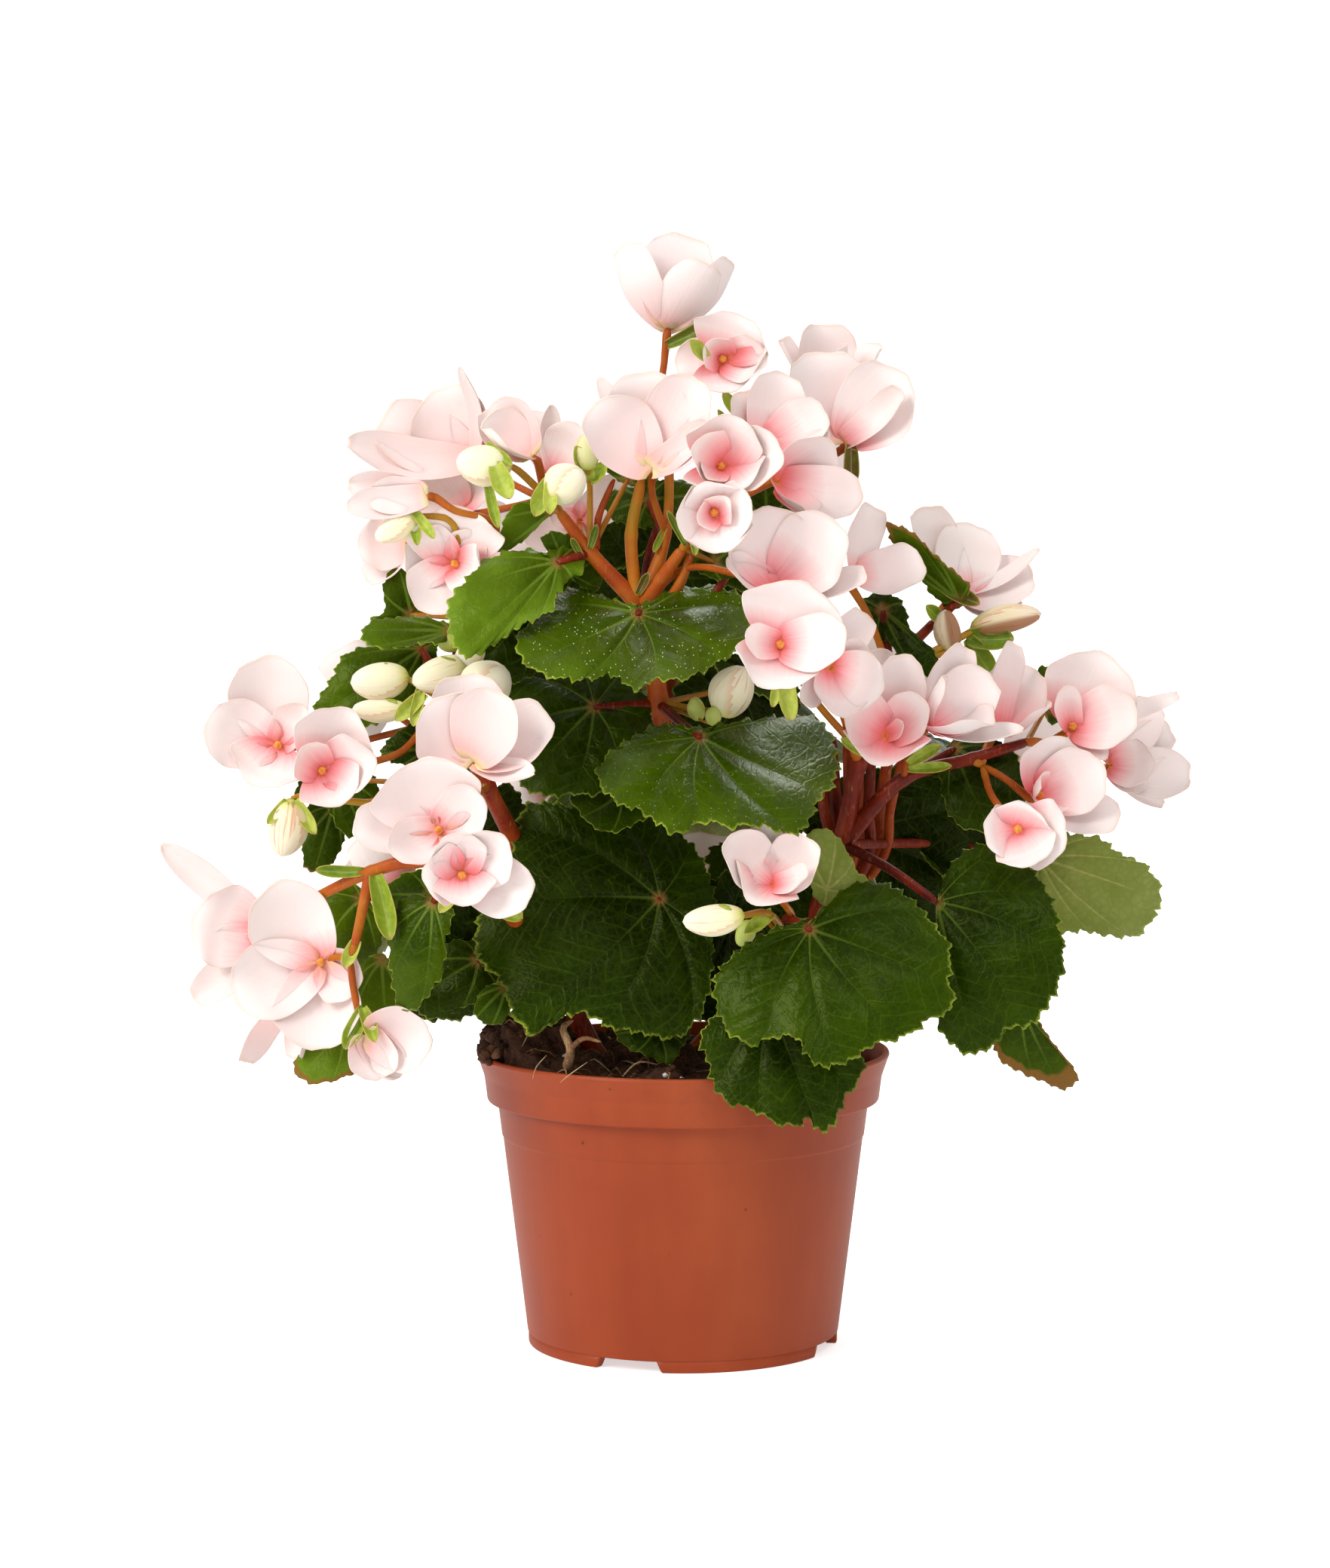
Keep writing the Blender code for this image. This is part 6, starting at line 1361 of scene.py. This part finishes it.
# Bracts: foot, tip, width and how olive it is (0 lime, 1 brown), all seen
BRACTS = [
    ((-4.6, 290.5, 4), (8.6, 298, 9), 4, 0.75),
    ((-38, 252, 42), (-43, 241.5, 44), 5.5, 0.15), ((-38.6, 251, 45), (-38.5, 242, 48), 4, 0.1),
    ((-54.3, 256, 45), (-50, 246.5, 48), 6, 0.15), ((-57, 262, 42), (-49.5, 256, 46), 3.5, 0.4),
    ((-27, 252, 38), (-31, 261.5, 42), 4.5, 0.3), ((-26.9, 251.5, 37), (-22, 257, 41), 4, 0.25),
    ((-27, 232, 31), (-25, 239, 34), 2.2, 0.8), ((-29.5, 230, 31.5), (-32.5, 235, 34), 2, 0.75),
    ((-13, 219, 28.5), (-10, 225, 31), 2.6, 0.9), ((-10.5, 218, 28.5), (-6.5, 222.5, 31), 2.2, 0.8),
    ((6.5, 287, 24.5), (2, 292, 29), 4, 0.1),
    ((17, 269.5, 24), (11.5, 277, 24), 3.5, 0.2), ((19.3, 257.5, 11.5), (10, 272, 18), 3, 0.2),
    ((29.5, 198, 66), (31.5, 182, 64), 5, 0.1), ((29.3, 198.4, 66.3), (26, 186, 62), 3, 0.1),
    ((65.6, 169.5, 37), (75, 175, 42), 3.5, 0.3), ((65.6, 168, 34.5), (78, 169, 40), 3, 0.3),
    ((-112.9, 158.8, 26.8), (-107, 149, 30), 4, 0.15), ((-115.3, 158.8, 26.8), (-121, 152, 29), 3, 0.2),
    ((-75, 190, 30), (-83.5, 182, 33), 4.5, 0.1), ((-76, 192, 30), (-78.5, 180.5, 34), 3.5, 0.15),
    ((-89.5, 137, 56), (-85.5, 118, 60), 6, 0.4), ((-93, 138, 54), (-107, 138.5, 52), 3.5, 0.6),
    ((-95, 118, 48), (-99, 110, 50), 4, 0.1), ((-64.5, 135.8, 70.5), (-71, 126, 73), 4, 0.1),
    ((-93, 98, 48), (-99, 86, 52), 5, 0.4), ((-93.5, 98, 48.8), (-90, 88, 53), 4, 0.3),
    ((-78, 243, 34), (-77, 233, 38), 3, 0.3), ((-78, 243, 36), (-72, 235, 40), 3, 0.2),
    ((-56.7, 251.5, 38.5), (-53.5, 238, 40), 3, 0.3), ((-55.2, 236.9, 30.6), (-70, 240, 32), 3, 0.3),
    ((-28, 252, 36), (-27, 262, 40), 4, 0.2),
    ((-5.2, 238, 25), (-8.5, 231, 28), 2, 0.5), ((3.1, 240.3, 37.9), (3.5, 230, 40), 2.5, 0.4),
    ((0.7, 233, 36), (-4.5, 243, 38), 2, 0.7),
    ((106.2, 173.5, 13), (99, 168, 16), 4, 0.4), ((110, 171, 9.2), (117, 166, 14), 4, 0.4),
    ((52.3, 172.5, 38), (46, 177, 41), 3, 0.3), ((26, 126, 62), (18, 120, 68), 4, 0.3),
    ((48.5, 262, 18), (48.5, 249, 22), 4.5, 0.95), ((82.2, 206, 16.5), (96, 206, 17), 7, 0.6),
    ((82.5, 206, 16), (90, 195, 15), 6, 0.4), ((76.5, 210, 18), (70.5, 215.5, 20), 4, 0.4),
    ((76, 220, 18), (86, 216, 20), 4.5, 0.9), ((-58.5, 132.5, 55.5), (-47, 124, 54), 6, 0.35),
]
rng = dice("bracts")
for foot, tip, width, olive in BRACTS:
    bract_pieces.append(petal_skin(seen(*foot), seen(*tip), pointing(0, 0.2, 1), width, 0.9, rng, rows=12,
                                   cols=9, sharp=1.0, olive=olive))
bracts = piece("bracts", bract_pieces, [BRACT])
print(len(bract_pieces), "bracts,", len(bracts.data.polygons), "faces")

# %% [markdown]
# ## The nursery pot
# The pot is injection-moulded polypropylene, coloured through in terracotta: satin, slightly waxy, with
# faint flow marks and the odd smear of peat. It is one turned profile with rounded corners, and it stands
# on four arcs of wall. Turning the profile through 160 steps keeps the rim round where the CAD has 28
# flats. Four drain holes can't be turned, so a Boolean modifier cuts them through the floor and is then
# applied.

# %% Pot material
def pot_finish():
    """Satin moulded polypropylene."""
    made, tree, shader = finish_named("terracotta_polypropylene")
    place = put(tree, "TexCoord", out="Object")
    # Flow marks 18 mm wide and 120 mm long, clouds of 45 mm and a satin grain of 0.5 mm
    flow_place = put(tree, "Mapping", Vector=place, Scale=(1.0, 1.0, 0.15))
    flow = put(tree, "TexNoise", Vector=flow_place, Scale=55.0, Detail=4.0)
    cloud = put(tree, "TexNoise", Vector=place, Scale=22.0, Detail=3.0)
    grain = put(tree, "TexNoise", Vector=place, Scale=2200.0, Detail=2.0)
    body = put(tree, "ValToRGB", put(tree, "Math", flow, 0.5, put(tree, "Math", cloud, 0.5, **TIMES),
                                     **TIMES_PLUS), stops=[(0.3, "#923A1A"), (0.5, "#9E421E"),
                                                           (0.7, "#A84C26")])
    # Peat dust in patches of 8 mm, thickest near the rim, and stuck crumbs about 10 mm apart
    height = put(tree, "SeparateXYZ", place, out=2)
    dust_and_specks = put(tree, "TexNoise", Vector=place, Scale=130.0, Detail=5.0, Roughness=0.7)
    high = put(tree, "MapRange", height, 0.045, 0.086, 0.02, 0.14, **SMOOTH)
    body = put(tree, "Mix", put(tree, "Math", put(tree, "MapRange", dust_and_specks, 0.5, 0.72, **SMOOTH), high,
                                **TIMES), body, "#4A2A1C", **COLOURS)
    crumbs = put(tree, "TexVoronoi", Vector=place, Scale=95.0, Randomness=1.0)
    chosen = put(tree, "Math", put(tree, "MapRange", crumbs, 0.03, 0.07, 1.0, 0.0, **SMOOTH),
                 put(tree, "MapRange", dust_and_specks, 0.5, 0.56, **SMOOTH), **TIMES)
    body = put(tree, "Mix", put(tree, "Math", chosen, 0.6, **TIMES), body, "#2E1A12",
               **COLOURS)
    rough = put(tree, "Math", grain, 0.1, put(tree, "Math", cloud, 0.12, 0.32, **TIMES_PLUS), **TIMES_PLUS)
    bump = put(tree, "Bump", Strength=0.15, Distance=0.0003,
               Height=put(tree, "Math", flow, 1.5, put(tree, "Math", grain, 0.3, **TIMES), **TIMES_PLUS))
    wire(tree, shader, {"Base Color": body, "Roughness": rough, "IOR": 1.49, "Specular IOR Level": 0.25,
                        "Subsurface Weight": 0.08, "Subsurface Radius": (1.0, 0.3, 0.15),
                        "Subsurface Scale": 0.002, "Normal": bump})
    return made


POT = pot_finish()
print("material:", POT.name)

# %% Turned profiles
# In mm: the rim band, the wall and floor, the feet (their angles in radians), and the drain holes
RIM_RADIUS, RIM_FOOT_RADIUS, RIM_HEIGHT, POT_HEIGHT = 60.0, 57.2, 14.3, 86.0
WALL_TOP_RADIUS, WALL_FOOT_RADIUS, WALL, FLOOR = 54.0, 45.5, 1.6, 1.8
FOOT_HEIGHT, FOOT_RADIUS, FOOT_WIDTH, FOOT_COUNT = 3.2, 43.6, 3.4, 4
FOOT_SPAN, FOOT_FIRST, FOOT_RAMP = math.radians(64), math.radians(-65.6), 0.05
DRAIN_COUNT, DRAIN_RADIUS, DRAIN_RING, DRILL_DEPTH, DRILL_SIDES = 4, 4.0, 30.0, 8.0, 48
TURN_STEPS, FOOT_STEPS = 160, 720


def rounded(profile, reach):
    """Each corner of an open profile becomes a quadratic curve that starts and ends `reach` mm or less off
    it."""
    p = np.asarray(profile, float)
    back, ahead = p[:-2] - p[1:-1], p[2:] - p[1:-1]
    room = np.minimum(np.linalg.norm(back, axis=1), np.linalg.norm(ahead, axis=1)) * 0.4
    off = np.minimum(reach, room)[:, None]
    a, c = p[1:-1] + unit(back) * off, p[1:-1] + unit(ahead) * off
    t = np.linspace(0, 1, 5)[None, :, None]
    curve = (1 - t) ** 2 * a[:, None] + 2 * t * (1 - t) * p[1:-1, None] + t ** 2 * c[:, None]
    return np.concatenate([p[:1], curve.reshape(-1, 2), p[-1:]])


def turned_grid(profile, steps=TURN_STEPS):
    """The profile (radius, height) carried round the upright axis: (radius cos a, radius sin a, height)."""
    angle = np.linspace(0, 2 * np.pi, steps, endpoint=False)[None, :]
    r, z = profile[:, :1], profile[:, 1:]
    return np.stack(np.broadcast_arrays(r * np.cos(angle), r * np.sin(angle), z), axis=-1), angle


def foot_ring():
    """A ring of wall whose lower edge drops to the ground over each foot and hides in the floor between."""
    angle = np.linspace(0, 2 * np.pi, FOOT_STEPS, endpoint=False)
    from_middle = np.abs((angle - FOOT_FIRST + np.pi / FOOT_COUNT) % (2 * np.pi / FOOT_COUNT)
                         - np.pi / FOOT_COUNT)
    drop = np.clip((FOOT_SPAN / 2 + FOOT_RAMP - from_middle) / FOOT_RAMP, 0, 1)
    drop = drop * drop * (3 - 2 * drop)
    top = FOOT_HEIGHT + 0.9
    low = (FOOT_HEIGHT + 0.5) * (1 - drop)
    inner, outer = FOOT_RADIUS - FOOT_WIDTH / 2, FOOT_RADIUS + FOOT_WIDTH / 2
    edge = 0.5
    rows = [(inner, top, 0), (outer, top, 0), (outer, 0.5, 1), (outer - edge * 0.3, 0.15, 1),
            (outer - edge, 0.0, 1), (inner + edge, 0.0, 1), (inner, 0.5, 1), (inner, top, 0)]
    grid = []
    for radius, height, follows in rows:
        z = np.minimum(low + height, top) if follows else np.full_like(low, top)
        grid.append(np.stack([radius * np.cos(angle), radius * np.sin(angle), z], axis=-1))
    return np.array(grid)


print("the feet are a ring of", foot_ring().shape[:2], "places")

# %% Pot
rim_low = POT_HEIGHT - RIM_HEIGHT
# The faint step that the photo shows half way down the wall
BAND_HEIGHT, BAND_DEPTH = 61.5, 0.25
slope = (WALL_TOP_RADIUS - WALL_FOOT_RADIUS) / (rim_low - FOOT_HEIGHT)


def wall_at(height):
    """The wall's outer radius at a height."""
    return WALL_FOOT_RADIUS + slope * (height - FOOT_HEIGHT)


outline = rounded([
    (0, FOOT_HEIGHT), (30, FOOT_HEIGHT), (WALL_FOOT_RADIUS, FOOT_HEIGHT),
    (wall_at(30), 30), (wall_at(BAND_HEIGHT - 0.5) - 0.02, BAND_HEIGHT - 0.5),
    (wall_at(BAND_HEIGHT) + BAND_DEPTH, BAND_HEIGHT), (WALL_TOP_RADIUS + BAND_DEPTH, rim_low),
    (RIM_FOOT_RADIUS, rim_low), (RIM_FOOT_RADIUS + 0.9, (rim_low + POT_HEIGHT) / 2),
    (RIM_RADIUS, POT_HEIGHT - 1.6), (RIM_RADIUS + 0.35, POT_HEIGHT - 0.9), (RIM_RADIUS, POT_HEIGHT),
    (RIM_RADIUS - 1.5, POT_HEIGHT), (RIM_FOOT_RADIUS - WALL, rim_low + WALL),
    (WALL_TOP_RADIUS - WALL, rim_low - 0.8), (WALL_FOOT_RADIUS - WALL, FOOT_HEIGHT + FLOOR),
    (30, FOOT_HEIGHT + FLOOR), (0, FOOT_HEIGHT + FLOOR)], 0.7)
grid, angle = turned_grid(outline)
# A moulded pot is never quite round
grid[..., :2] *= (1 + 0.0012 * np.sin(3 * angle + 0.6) * (grid[..., 2] / POT_HEIGHT))[..., None]
pot = piece("nursery_pot", [skin(grid, ends=("pole", "pole"))], [POT], ["pot"])


def drilled(target, angles):
    """Cuts a round hole through the floor at each angle; the cut's edges stay sharp."""
    drills = []
    for angle in angles:
        centre = (DRAIN_RING * math.cos(angle) * MM, DRAIN_RING * math.sin(angle) * MM, FOOT_HEIGHT * MM)
        bpy.ops.mesh.primitive_cylinder_add(vertices=DRILL_SIDES, radius=DRAIN_RADIUS * MM,
                                            depth=DRILL_DEPTH * MM, location=centre)
        drills.append(bpy.context.object)
        cut = target.modifiers.new("drain", "BOOLEAN")
        cut.operation = "DIFFERENCE"
        cut.solver = "MANIFOLD"
        cut.object = drills[-1]
    bpy.context.view_layer.update()
    shaped = target.evaluated_get(bpy.context.evaluated_depsgraph_get())
    whole, target.data = target.data, bpy.data.meshes.new_from_object(shaped)
    target.modifiers.clear()
    for drill in drills:
        bpy.data.objects.remove(drill)
    bpy.data.meshes.remove(whole)
    target.data.name = target.name
    target.data.materials.clear()
    target.data.materials.append(POT)
    target.data.set_sharp_from_angle(angle=math.radians(40))


drilled(pot, [2 * math.pi * k / DRAIN_COUNT for k in range(DRAIN_COUNT)])
feet_grid = np.transpose(foot_ring()[:-1], (1, 0, 2))[np.r_[0:FOOT_STEPS, 0]]
piece("pot_feet", [skin(feet_grid)], [POT], ["pot"])
print(pot.name, len(pot.data.polygons), "faces; outer rim radius", round(float(grid[..., 0].max()), 2))

# %% [markdown]
# ## Peat
# Potting peat is a felt of dark fibres and crumbs with roots, a dead twig and beads of white perlite. The
# bed is one turned grid whose height is a sum of random waves, heaped up at the left as in the photo.
# Crumbs and fibres are strewn on it: hundreds of tiny solids that share one formula.

# %% Peat materials
def peat_finish():
    """Damp dark peat."""
    made, tree, shader = finish_named("potting_peat")
    place = put(tree, "TexCoord", out="Object")
    # Crumbs of 4 mm and fibre ends of 0.7 mm
    coarse = put(tree, "TexNoise", Vector=place, Scale=260.0, Detail=6.0, Roughness=0.7)
    fine = put(tree, "TexNoise", Vector=place, Scale=1500.0, Detail=4.0)
    tone = put(tree, "Math", put(tree, "Math", coarse, 0.6, **TIMES), put(tree, "Math", fine, 0.4, **TIMES),
               operation="ADD")
    body = put(tree, "ValToRGB", put(tree, "Math", tone, put(tree, "Attribute", out="Fac",
                                                             attribute_name="pale"), operation="ADD"),
               stops=[(0.3, "#1E110A"), (0.5, "#42281A"), (0.68, "#6A452C"), (0.85, "#9A7650"),
                      (1.0, "#C9AE84")])
    bump = put(tree, "Bump", Strength=0.9, Distance=0.0008, Height=tone)
    wire(tree, shader, {"Base Color": body, "Roughness": 0.85, "Specular IOR Level": 0.25, "Normal": bump})
    return made


def perlite_finish():
    """Expanded volcanic glass: chalky white, pitted."""
    made, tree, shader = finish_named("perlite_bead")
    place = put(tree, "TexCoord", out="Object")
    # Pits of 0.6 mm
    pits = put(tree, "TexVoronoi", Vector=place, Scale=1800.0)
    body = put(tree, "ValToRGB", pits, stops=[(0.1, "#B9B0A2"), (0.5, "#E9E6DE")])
    bump = put(tree, "Bump", Strength=0.6, Distance=0.0004, Height=pits)
    wire(tree, shader, {"Base Color": body, "Roughness": 0.9, "Normal": bump})
    return made


PEAT = peat_finish()
PERLITE = perlite_finish()
print("materials:", PEAT.name, PERLITE.name)

# %% The bed of peat
SOIL_EDGE_HEIGHT, SOIL_MIDDLE_HEIGHT, GAP = 80.0, 84.0, 0.35
soil_edge = RIM_FOOT_RADIUS - WALL - GAP
rng = dice("peat")
WAVES = rng.uniform(-1, 1, (28, 3)) * np.array([1.0, 1.0, np.pi])
# Heaps at the left and in front, and the longest wave, mm high
LEFT_HEAP, FRONT_HEAP, WAVE_HEIGHT = 13.0, 3.0, 0.85
BED_STEPS = 220


def peat_height(x, y):
    """Height of the bed: a low dome, a heap at the viewer's left, and a sum of random waves whose k-th is
    1 + 0.13 k times lower than the first."""
    r = np.hypot(x, y)
    height = SOIL_MIDDLE_HEIGHT - (SOIL_MIDDLE_HEIGHT - SOIL_EDGE_HEIGHT) * (r / soil_edge) ** 2
    angle = np.arctan2(y, x)
    left = np.exp(-((np.abs(angle) - 2.95) / 0.55) ** 2) * np.clip((r / soil_edge - 0.35) / 0.5, 0, 1)
    front = np.exp(-((angle + 1.9) / 0.8) ** 2) * np.clip(r / soil_edge - 0.3, 0, 1)
    height = height + LEFT_HEAP * left + FRONT_HEAP * front
    for k, (a, b, shift) in enumerate(WAVES):
        scale = 0.12 + 0.05 * k
        height = height + WAVE_HEIGHT / (1 + 0.13 * k) * np.sin(scale * (a * x + b * y) + 3 * shift)
    return height


share = np.linspace(0, 1, 60)[1:]
rings, _ = turned_grid(np.stack([share * soil_edge, share * 0], axis=1), BED_STEPS)
rings[..., 2] = peat_height(rings[..., 0], rings[..., 1])
side = rounded([(soil_edge, SOIL_EDGE_HEIGHT - 1), (soil_edge - GAP, rim_low + WALL + GAP),
                (WALL_TOP_RADIUS - WALL - 2 * GAP, rim_low - 0.8),
                (WALL_FOOT_RADIUS - WALL - GAP, FOOT_HEIGHT + FLOOR + GAP),
                (0, FOOT_HEIGHT + FLOOR + GAP)], 0.5)
low, _ = turned_grid(side, BED_STEPS)
centre = np.broadcast_to([0, 0, peat_height(0.0, 0.0)], (1, BED_STEPS, 3))
bed_skin = skin(np.concatenate([centre, rings, low]), ends=("pole", "pole"), pale=0.0)
print("the bed is", round(float(rings[..., 2].max()), 1), "mm high at most")

# %% Rough beads
OCTA = np.array([(1, 0, 0), (0, 1, 0), (-1, 0, 0), (0, -1, 0), (0, 0, 1), (0, 0, -1)], float)
OCTA_FACES = np.array([(0, 1, 4), (1, 2, 4), (2, 3, 4), (3, 0, 4), (1, 0, 5), (2, 1, 5), (3, 2, 5),
                       (0, 3, 5)])
# The least share of its size that a bead keeps when it is squashed
SQUASHED = 0.75


def bead():
    """An eight-sided bead split once: eighteen points and thirty-two triangles."""
    a, b, c = (OCTA[OCTA_FACES[:, k]] for k in range(3))
    points = np.stack([a, b, c, unit(a + b), unit(b + c), unit(c + a)], axis=1).reshape(-1, 3)
    split = np.array([(0, 3, 5), (3, 1, 4), (5, 4, 2), (3, 4, 5)])
    faces = (split[None] + 6 * np.arange(8)[:, None, None]).reshape(-1, 3)
    kept, back = np.unique(points.round(6), axis=0, return_inverse=True)
    return kept, back.ravel()[faces]


def strewn(places, sizes, rng, rough=0.28, **marks):
    """A rough bead at each place, turned, squashed and dented at random, all at once, in a skin's form."""
    ball, faces = bead()
    count = len(places)
    dented = ball[None] * (1 + rough * rng.uniform(-1, 1, (count, len(ball), 1)))
    dented = dented * rng.uniform(SQUASHED, 1.2, (count, 1, 3))
    axis = unit(rng.normal(size=(count, 3)))
    other = unit(np.cross(axis, rng.normal(size=(count, 3))))
    third = np.cross(axis, other)
    turn = np.stack([axis, other, third], axis=1)
    points = np.einsum("cvi,cij->cvj", dented, turn) * sizes[:, None, None] + places[:, None]
    number = (faces[None] + len(ball) * np.arange(count)[:, None, None]).reshape(-1, 3)
    marks = {name: np.repeat(value, len(ball)) for name, value in marks.items()}
    return {"points": points.reshape(-1, 3), "quads": np.concatenate([number, number[:, :1]], axis=1),
            "uv": np.zeros((count * len(ball), 2)), "look": 0, "marks": marks}


def on_peat(angle, r, sunk):
    """World places on the bed."""
    x, y = r * np.cos(angle), r * np.sin(angle)
    return np.stack([x, y, peat_height(x, y) - sunk], axis=-1)


print("a bead has", len(bead()[1]), "triangles")

# %% Crumbs, fibres, roots and a twig
count = 900
r = soil_edge * np.sqrt(rng.uniform(0.05, 0.985, count))
sizes = rng.uniform(0.5, 1.7, count) * rng.uniform(0.6, 1.0, count)
crumbs = strewn(on_peat(rng.uniform(0, 2 * np.pi, count), r, 0.2), sizes, rng,
                pale=np.clip(rng.normal(0.02, 0.09, count), -0.1, 0.3))
skins = [bed_skin, crumbs]
for k in range(110):
    angle, r = rng.uniform(0, 2 * np.pi), soil_edge * math.sqrt(rng.uniform(0.3, 0.97))
    start = on_peat(angle, r, -0.3)
    way = rng.uniform(0, 2 * np.pi)
    long = rng.uniform(3, 11)
    ahead = start + np.array([math.cos(way), math.sin(way), 0]) * long
    keep = min(1.0, soil_edge / max(np.hypot(*ahead[:2]), 1e-6))
    ahead[:2] *= keep
    ahead[2] = peat_height(ahead[0], ahead[1]) + rng.uniform(0.2, 1.5)
    halfway = (start + ahead) / 2 + np.array([*rng.uniform(-1.5, 1.5, 2), rng.uniform(0.6, 2.6)])
    thin = rng.uniform(0.14, 0.34)
    skins.append(tube_skin([start, halfway, ahead], [thin, thin, thin * 0.6], rng, around=5, step=1.4,
                           pale=rng.uniform(0.0, 0.45)))
# The dead twig at the left with its branch, and two pale roots over the rim: the places that each passes,
# its radii, sides and steps, and how pale it is
TWIGS = [
    ([(-34, 80, 40), (-33, 86, 44), (-35, 92, 44), (-32, 94.5, 43)], [1.5, 1.2, 1.0, 0.5], 10, 0.8, 0.33),
    ([(-33, 86, 44), (-29, 89, 47), (-24, 88, 49)], [0.9, 0.7, 0.4], 8, 0.8, 0.25),
    ([(-40, 84, 46), (-43, 80.5, 51), (-44, 77, 53)], [0.16, 0.14, 0.1], 5, 1.6, 0.5),
    ([(-28, 82, 50), (-33, 78.5, 53), (-36, 76, 52)], [0.16, 0.14, 0.1], 5, 1.6, 0.5),
]
for places, radii, around, step, pale in TWIGS:
    skins.append(tube_skin([seen(*p) for p in places], radii, rng, around=around, step=step, pale=pale))
# Clods that spill over the rim at the left
count = 260
spread = rng.normal(0, 1, (count, 3)) * np.array([1.8, 8.0, 1.7])
clods = np.array([-53.5, -4.0, 89.5]) + spread
clods[:, 0] = np.maximum(clods[:, 0], -57.5)
skins.append(strewn(clods, rng.uniform(0.8, 2.4, count), rng,
                    pale=np.clip(rng.normal(0.0, 0.08, count), -0.1, 0.2)))
bed = piece("peat_bed", skins, [PEAT], ["soil"])
count = 34
r = soil_edge * np.sqrt(rng.uniform(0.1, 0.95, count))
beads = strewn(on_peat(rng.uniform(0, 2 * np.pi, count), r, 0.1), rng.uniform(0.5, 1.3, count), rng,
               rough=0.15)
perlite = piece("perlite", [beads], [PERLITE])
print(bed.name, len(bed.data.polygons), "faces;", perlite.name, len(perlite.data.polygons))

# %% [markdown]
# ## Floor, light and camera
# The photo is a catalogue shot: a white sweep, one broad soft light high at the left and front, and a paler
# one from the right that draws the streaks on the leaves. The camera stands 1.1 m away, a little above the
# plant's middle, and looks down by 4.2 degrees.

# %% Floor and backdrop
def sweep_finish():
    """White studio floor that glows with painted light."""
    made, tree, shader = finish_named("white_studio_floor")
    place = put(tree, "TexCoord", out="Object")
    # Clouds a third of a metre across, so faint that they hardly show
    grain = put(tree, "TexNoise", Vector=place, Scale=3.0)
    body = put(tree, "ValToRGB", grain, stops=[(0.4, "#F4F4F4"), (0.6, "#F7F7F7")])
    # Painted light: the floor glows more strongly away from the pot, and looks brighter to the camera than
    # it shines on the plant
    far = put(tree, "VectorMath", place, operation="LENGTH")
    painted_glow = put(tree, "MapRange", far, 0.15, 1.3, 0.6, 1.0, **SMOOTH)
    shown = put(tree, "Math", put(tree, "LightPath", out="Is Camera Ray"), 0.7, 0.3, **TIMES_PLUS)
    painted_glow = put(tree, "Math", painted_glow, shown, **TIMES)
    wire(tree, shader, {"Base Color": body, "Roughness": 0.8, "Specular IOR Level": 0.2,
                        "Emission Color": (1.0, 1.0, 1.0, 1.0), "Emission Strength": painted_glow})
    return made


# A disc of rings that lie closer together near the pot, in metres
FLOOR_RADIUS, FLOOR_STEPS = 9.0, 96
radius = FLOOR_RADIUS * np.linspace(0, 1, 24)[1:, None] ** 1.5
spread = np.linspace(0, 2 * np.pi, FLOOR_STEPS, endpoint=False)[None, :]
disc = np.stack([radius * np.cos(spread), radius * np.sin(spread), 0 * radius * spread], axis=-1)
number = np.arange(disc.shape[0] * FLOOR_STEPS).reshape(-1, FLOOR_STEPS)
after = np.roll(number, -1, axis=1)
quads = np.stack([number[:-1], number[1:], after[1:], after[:-1]], axis=-1).reshape(-1, 4).tolist()
mesh = bpy.data.meshes.new("studio_floor")
mesh.from_pydata(disc.reshape(-1, 3).tolist(), [], quads + [number[0].tolist()])
mesh.materials.append(sweep_finish())
floor = bpy.data.objects.new("studio_floor", mesh)
bpy.context.scene.collection.objects.link(floor)
print("floor radius:", FLOOR_RADIUS, "m")

# %% Lights and world
def area_light(name, place, target, size, watts, colour="#FFFFFF"):
    """A soft square light that looks at the target."""
    light = bpy.data.lights.new(name, "AREA")
    light.shape = "SQUARE"
    light.size = size
    light.energy = watts
    light.color = srgb(colour)[:3]
    made = bpy.data.objects.new(name, light)
    made.location = place
    made.rotation_euler = (Vector(target) - Vector(place)).to_track_quat("-Z", "Y").to_euler()
    bpy.context.scene.collection.objects.link(made)
    return made


area_light("key", (-1.25, -1.05, 1.15), (0, 0, 0.16), 0.9, 22.0, "#FFFBF7")
area_light("fill", (0.5, -1.2, 1.6), (0, 0, 0.2), 0.8, 7.0)
area_light("back", (0.2, 1.3, 1.4), (0, 0, 0.2), 0.9, 10.0)
world = bpy.data.worlds.new("studio")
world.use_nodes = True
tree = world.node_tree
level = put(tree, "Math", put(tree, "LightPath", out="Is Camera Ray"), 0.66, 0.5, **TIMES_PLUS)
wire(tree, tree.nodes["Background"], {"Color": (1.0, 1.0, 1.0, 1.0), "Strength": level})
bpy.context.scene.world = world
bpy.context.scene.view_settings.view_transform = "Standard"
bpy.context.scene.view_settings.look = "None"
print("three soft lights and a pale world")

# %% Camera
lens = bpy.data.cameras.new("camera")
for setting, value in (("lens", LENS), ("sensor_width", 36.0), ("clip_start", 0.05), ("clip_end", 60.0)):
    setattr(lens, setting, value)
camera = bpy.data.objects.new("camera", lens)
camera.location = EYE * MM
camera.rotation_euler = (math.pi / 2 - VIEW_PITCH, 0, 0)
bpy.context.scene.collection.objects.link(camera)
bpy.context.scene.camera = camera
print("camera at", tuple(round(v, 4) for v in camera.location))
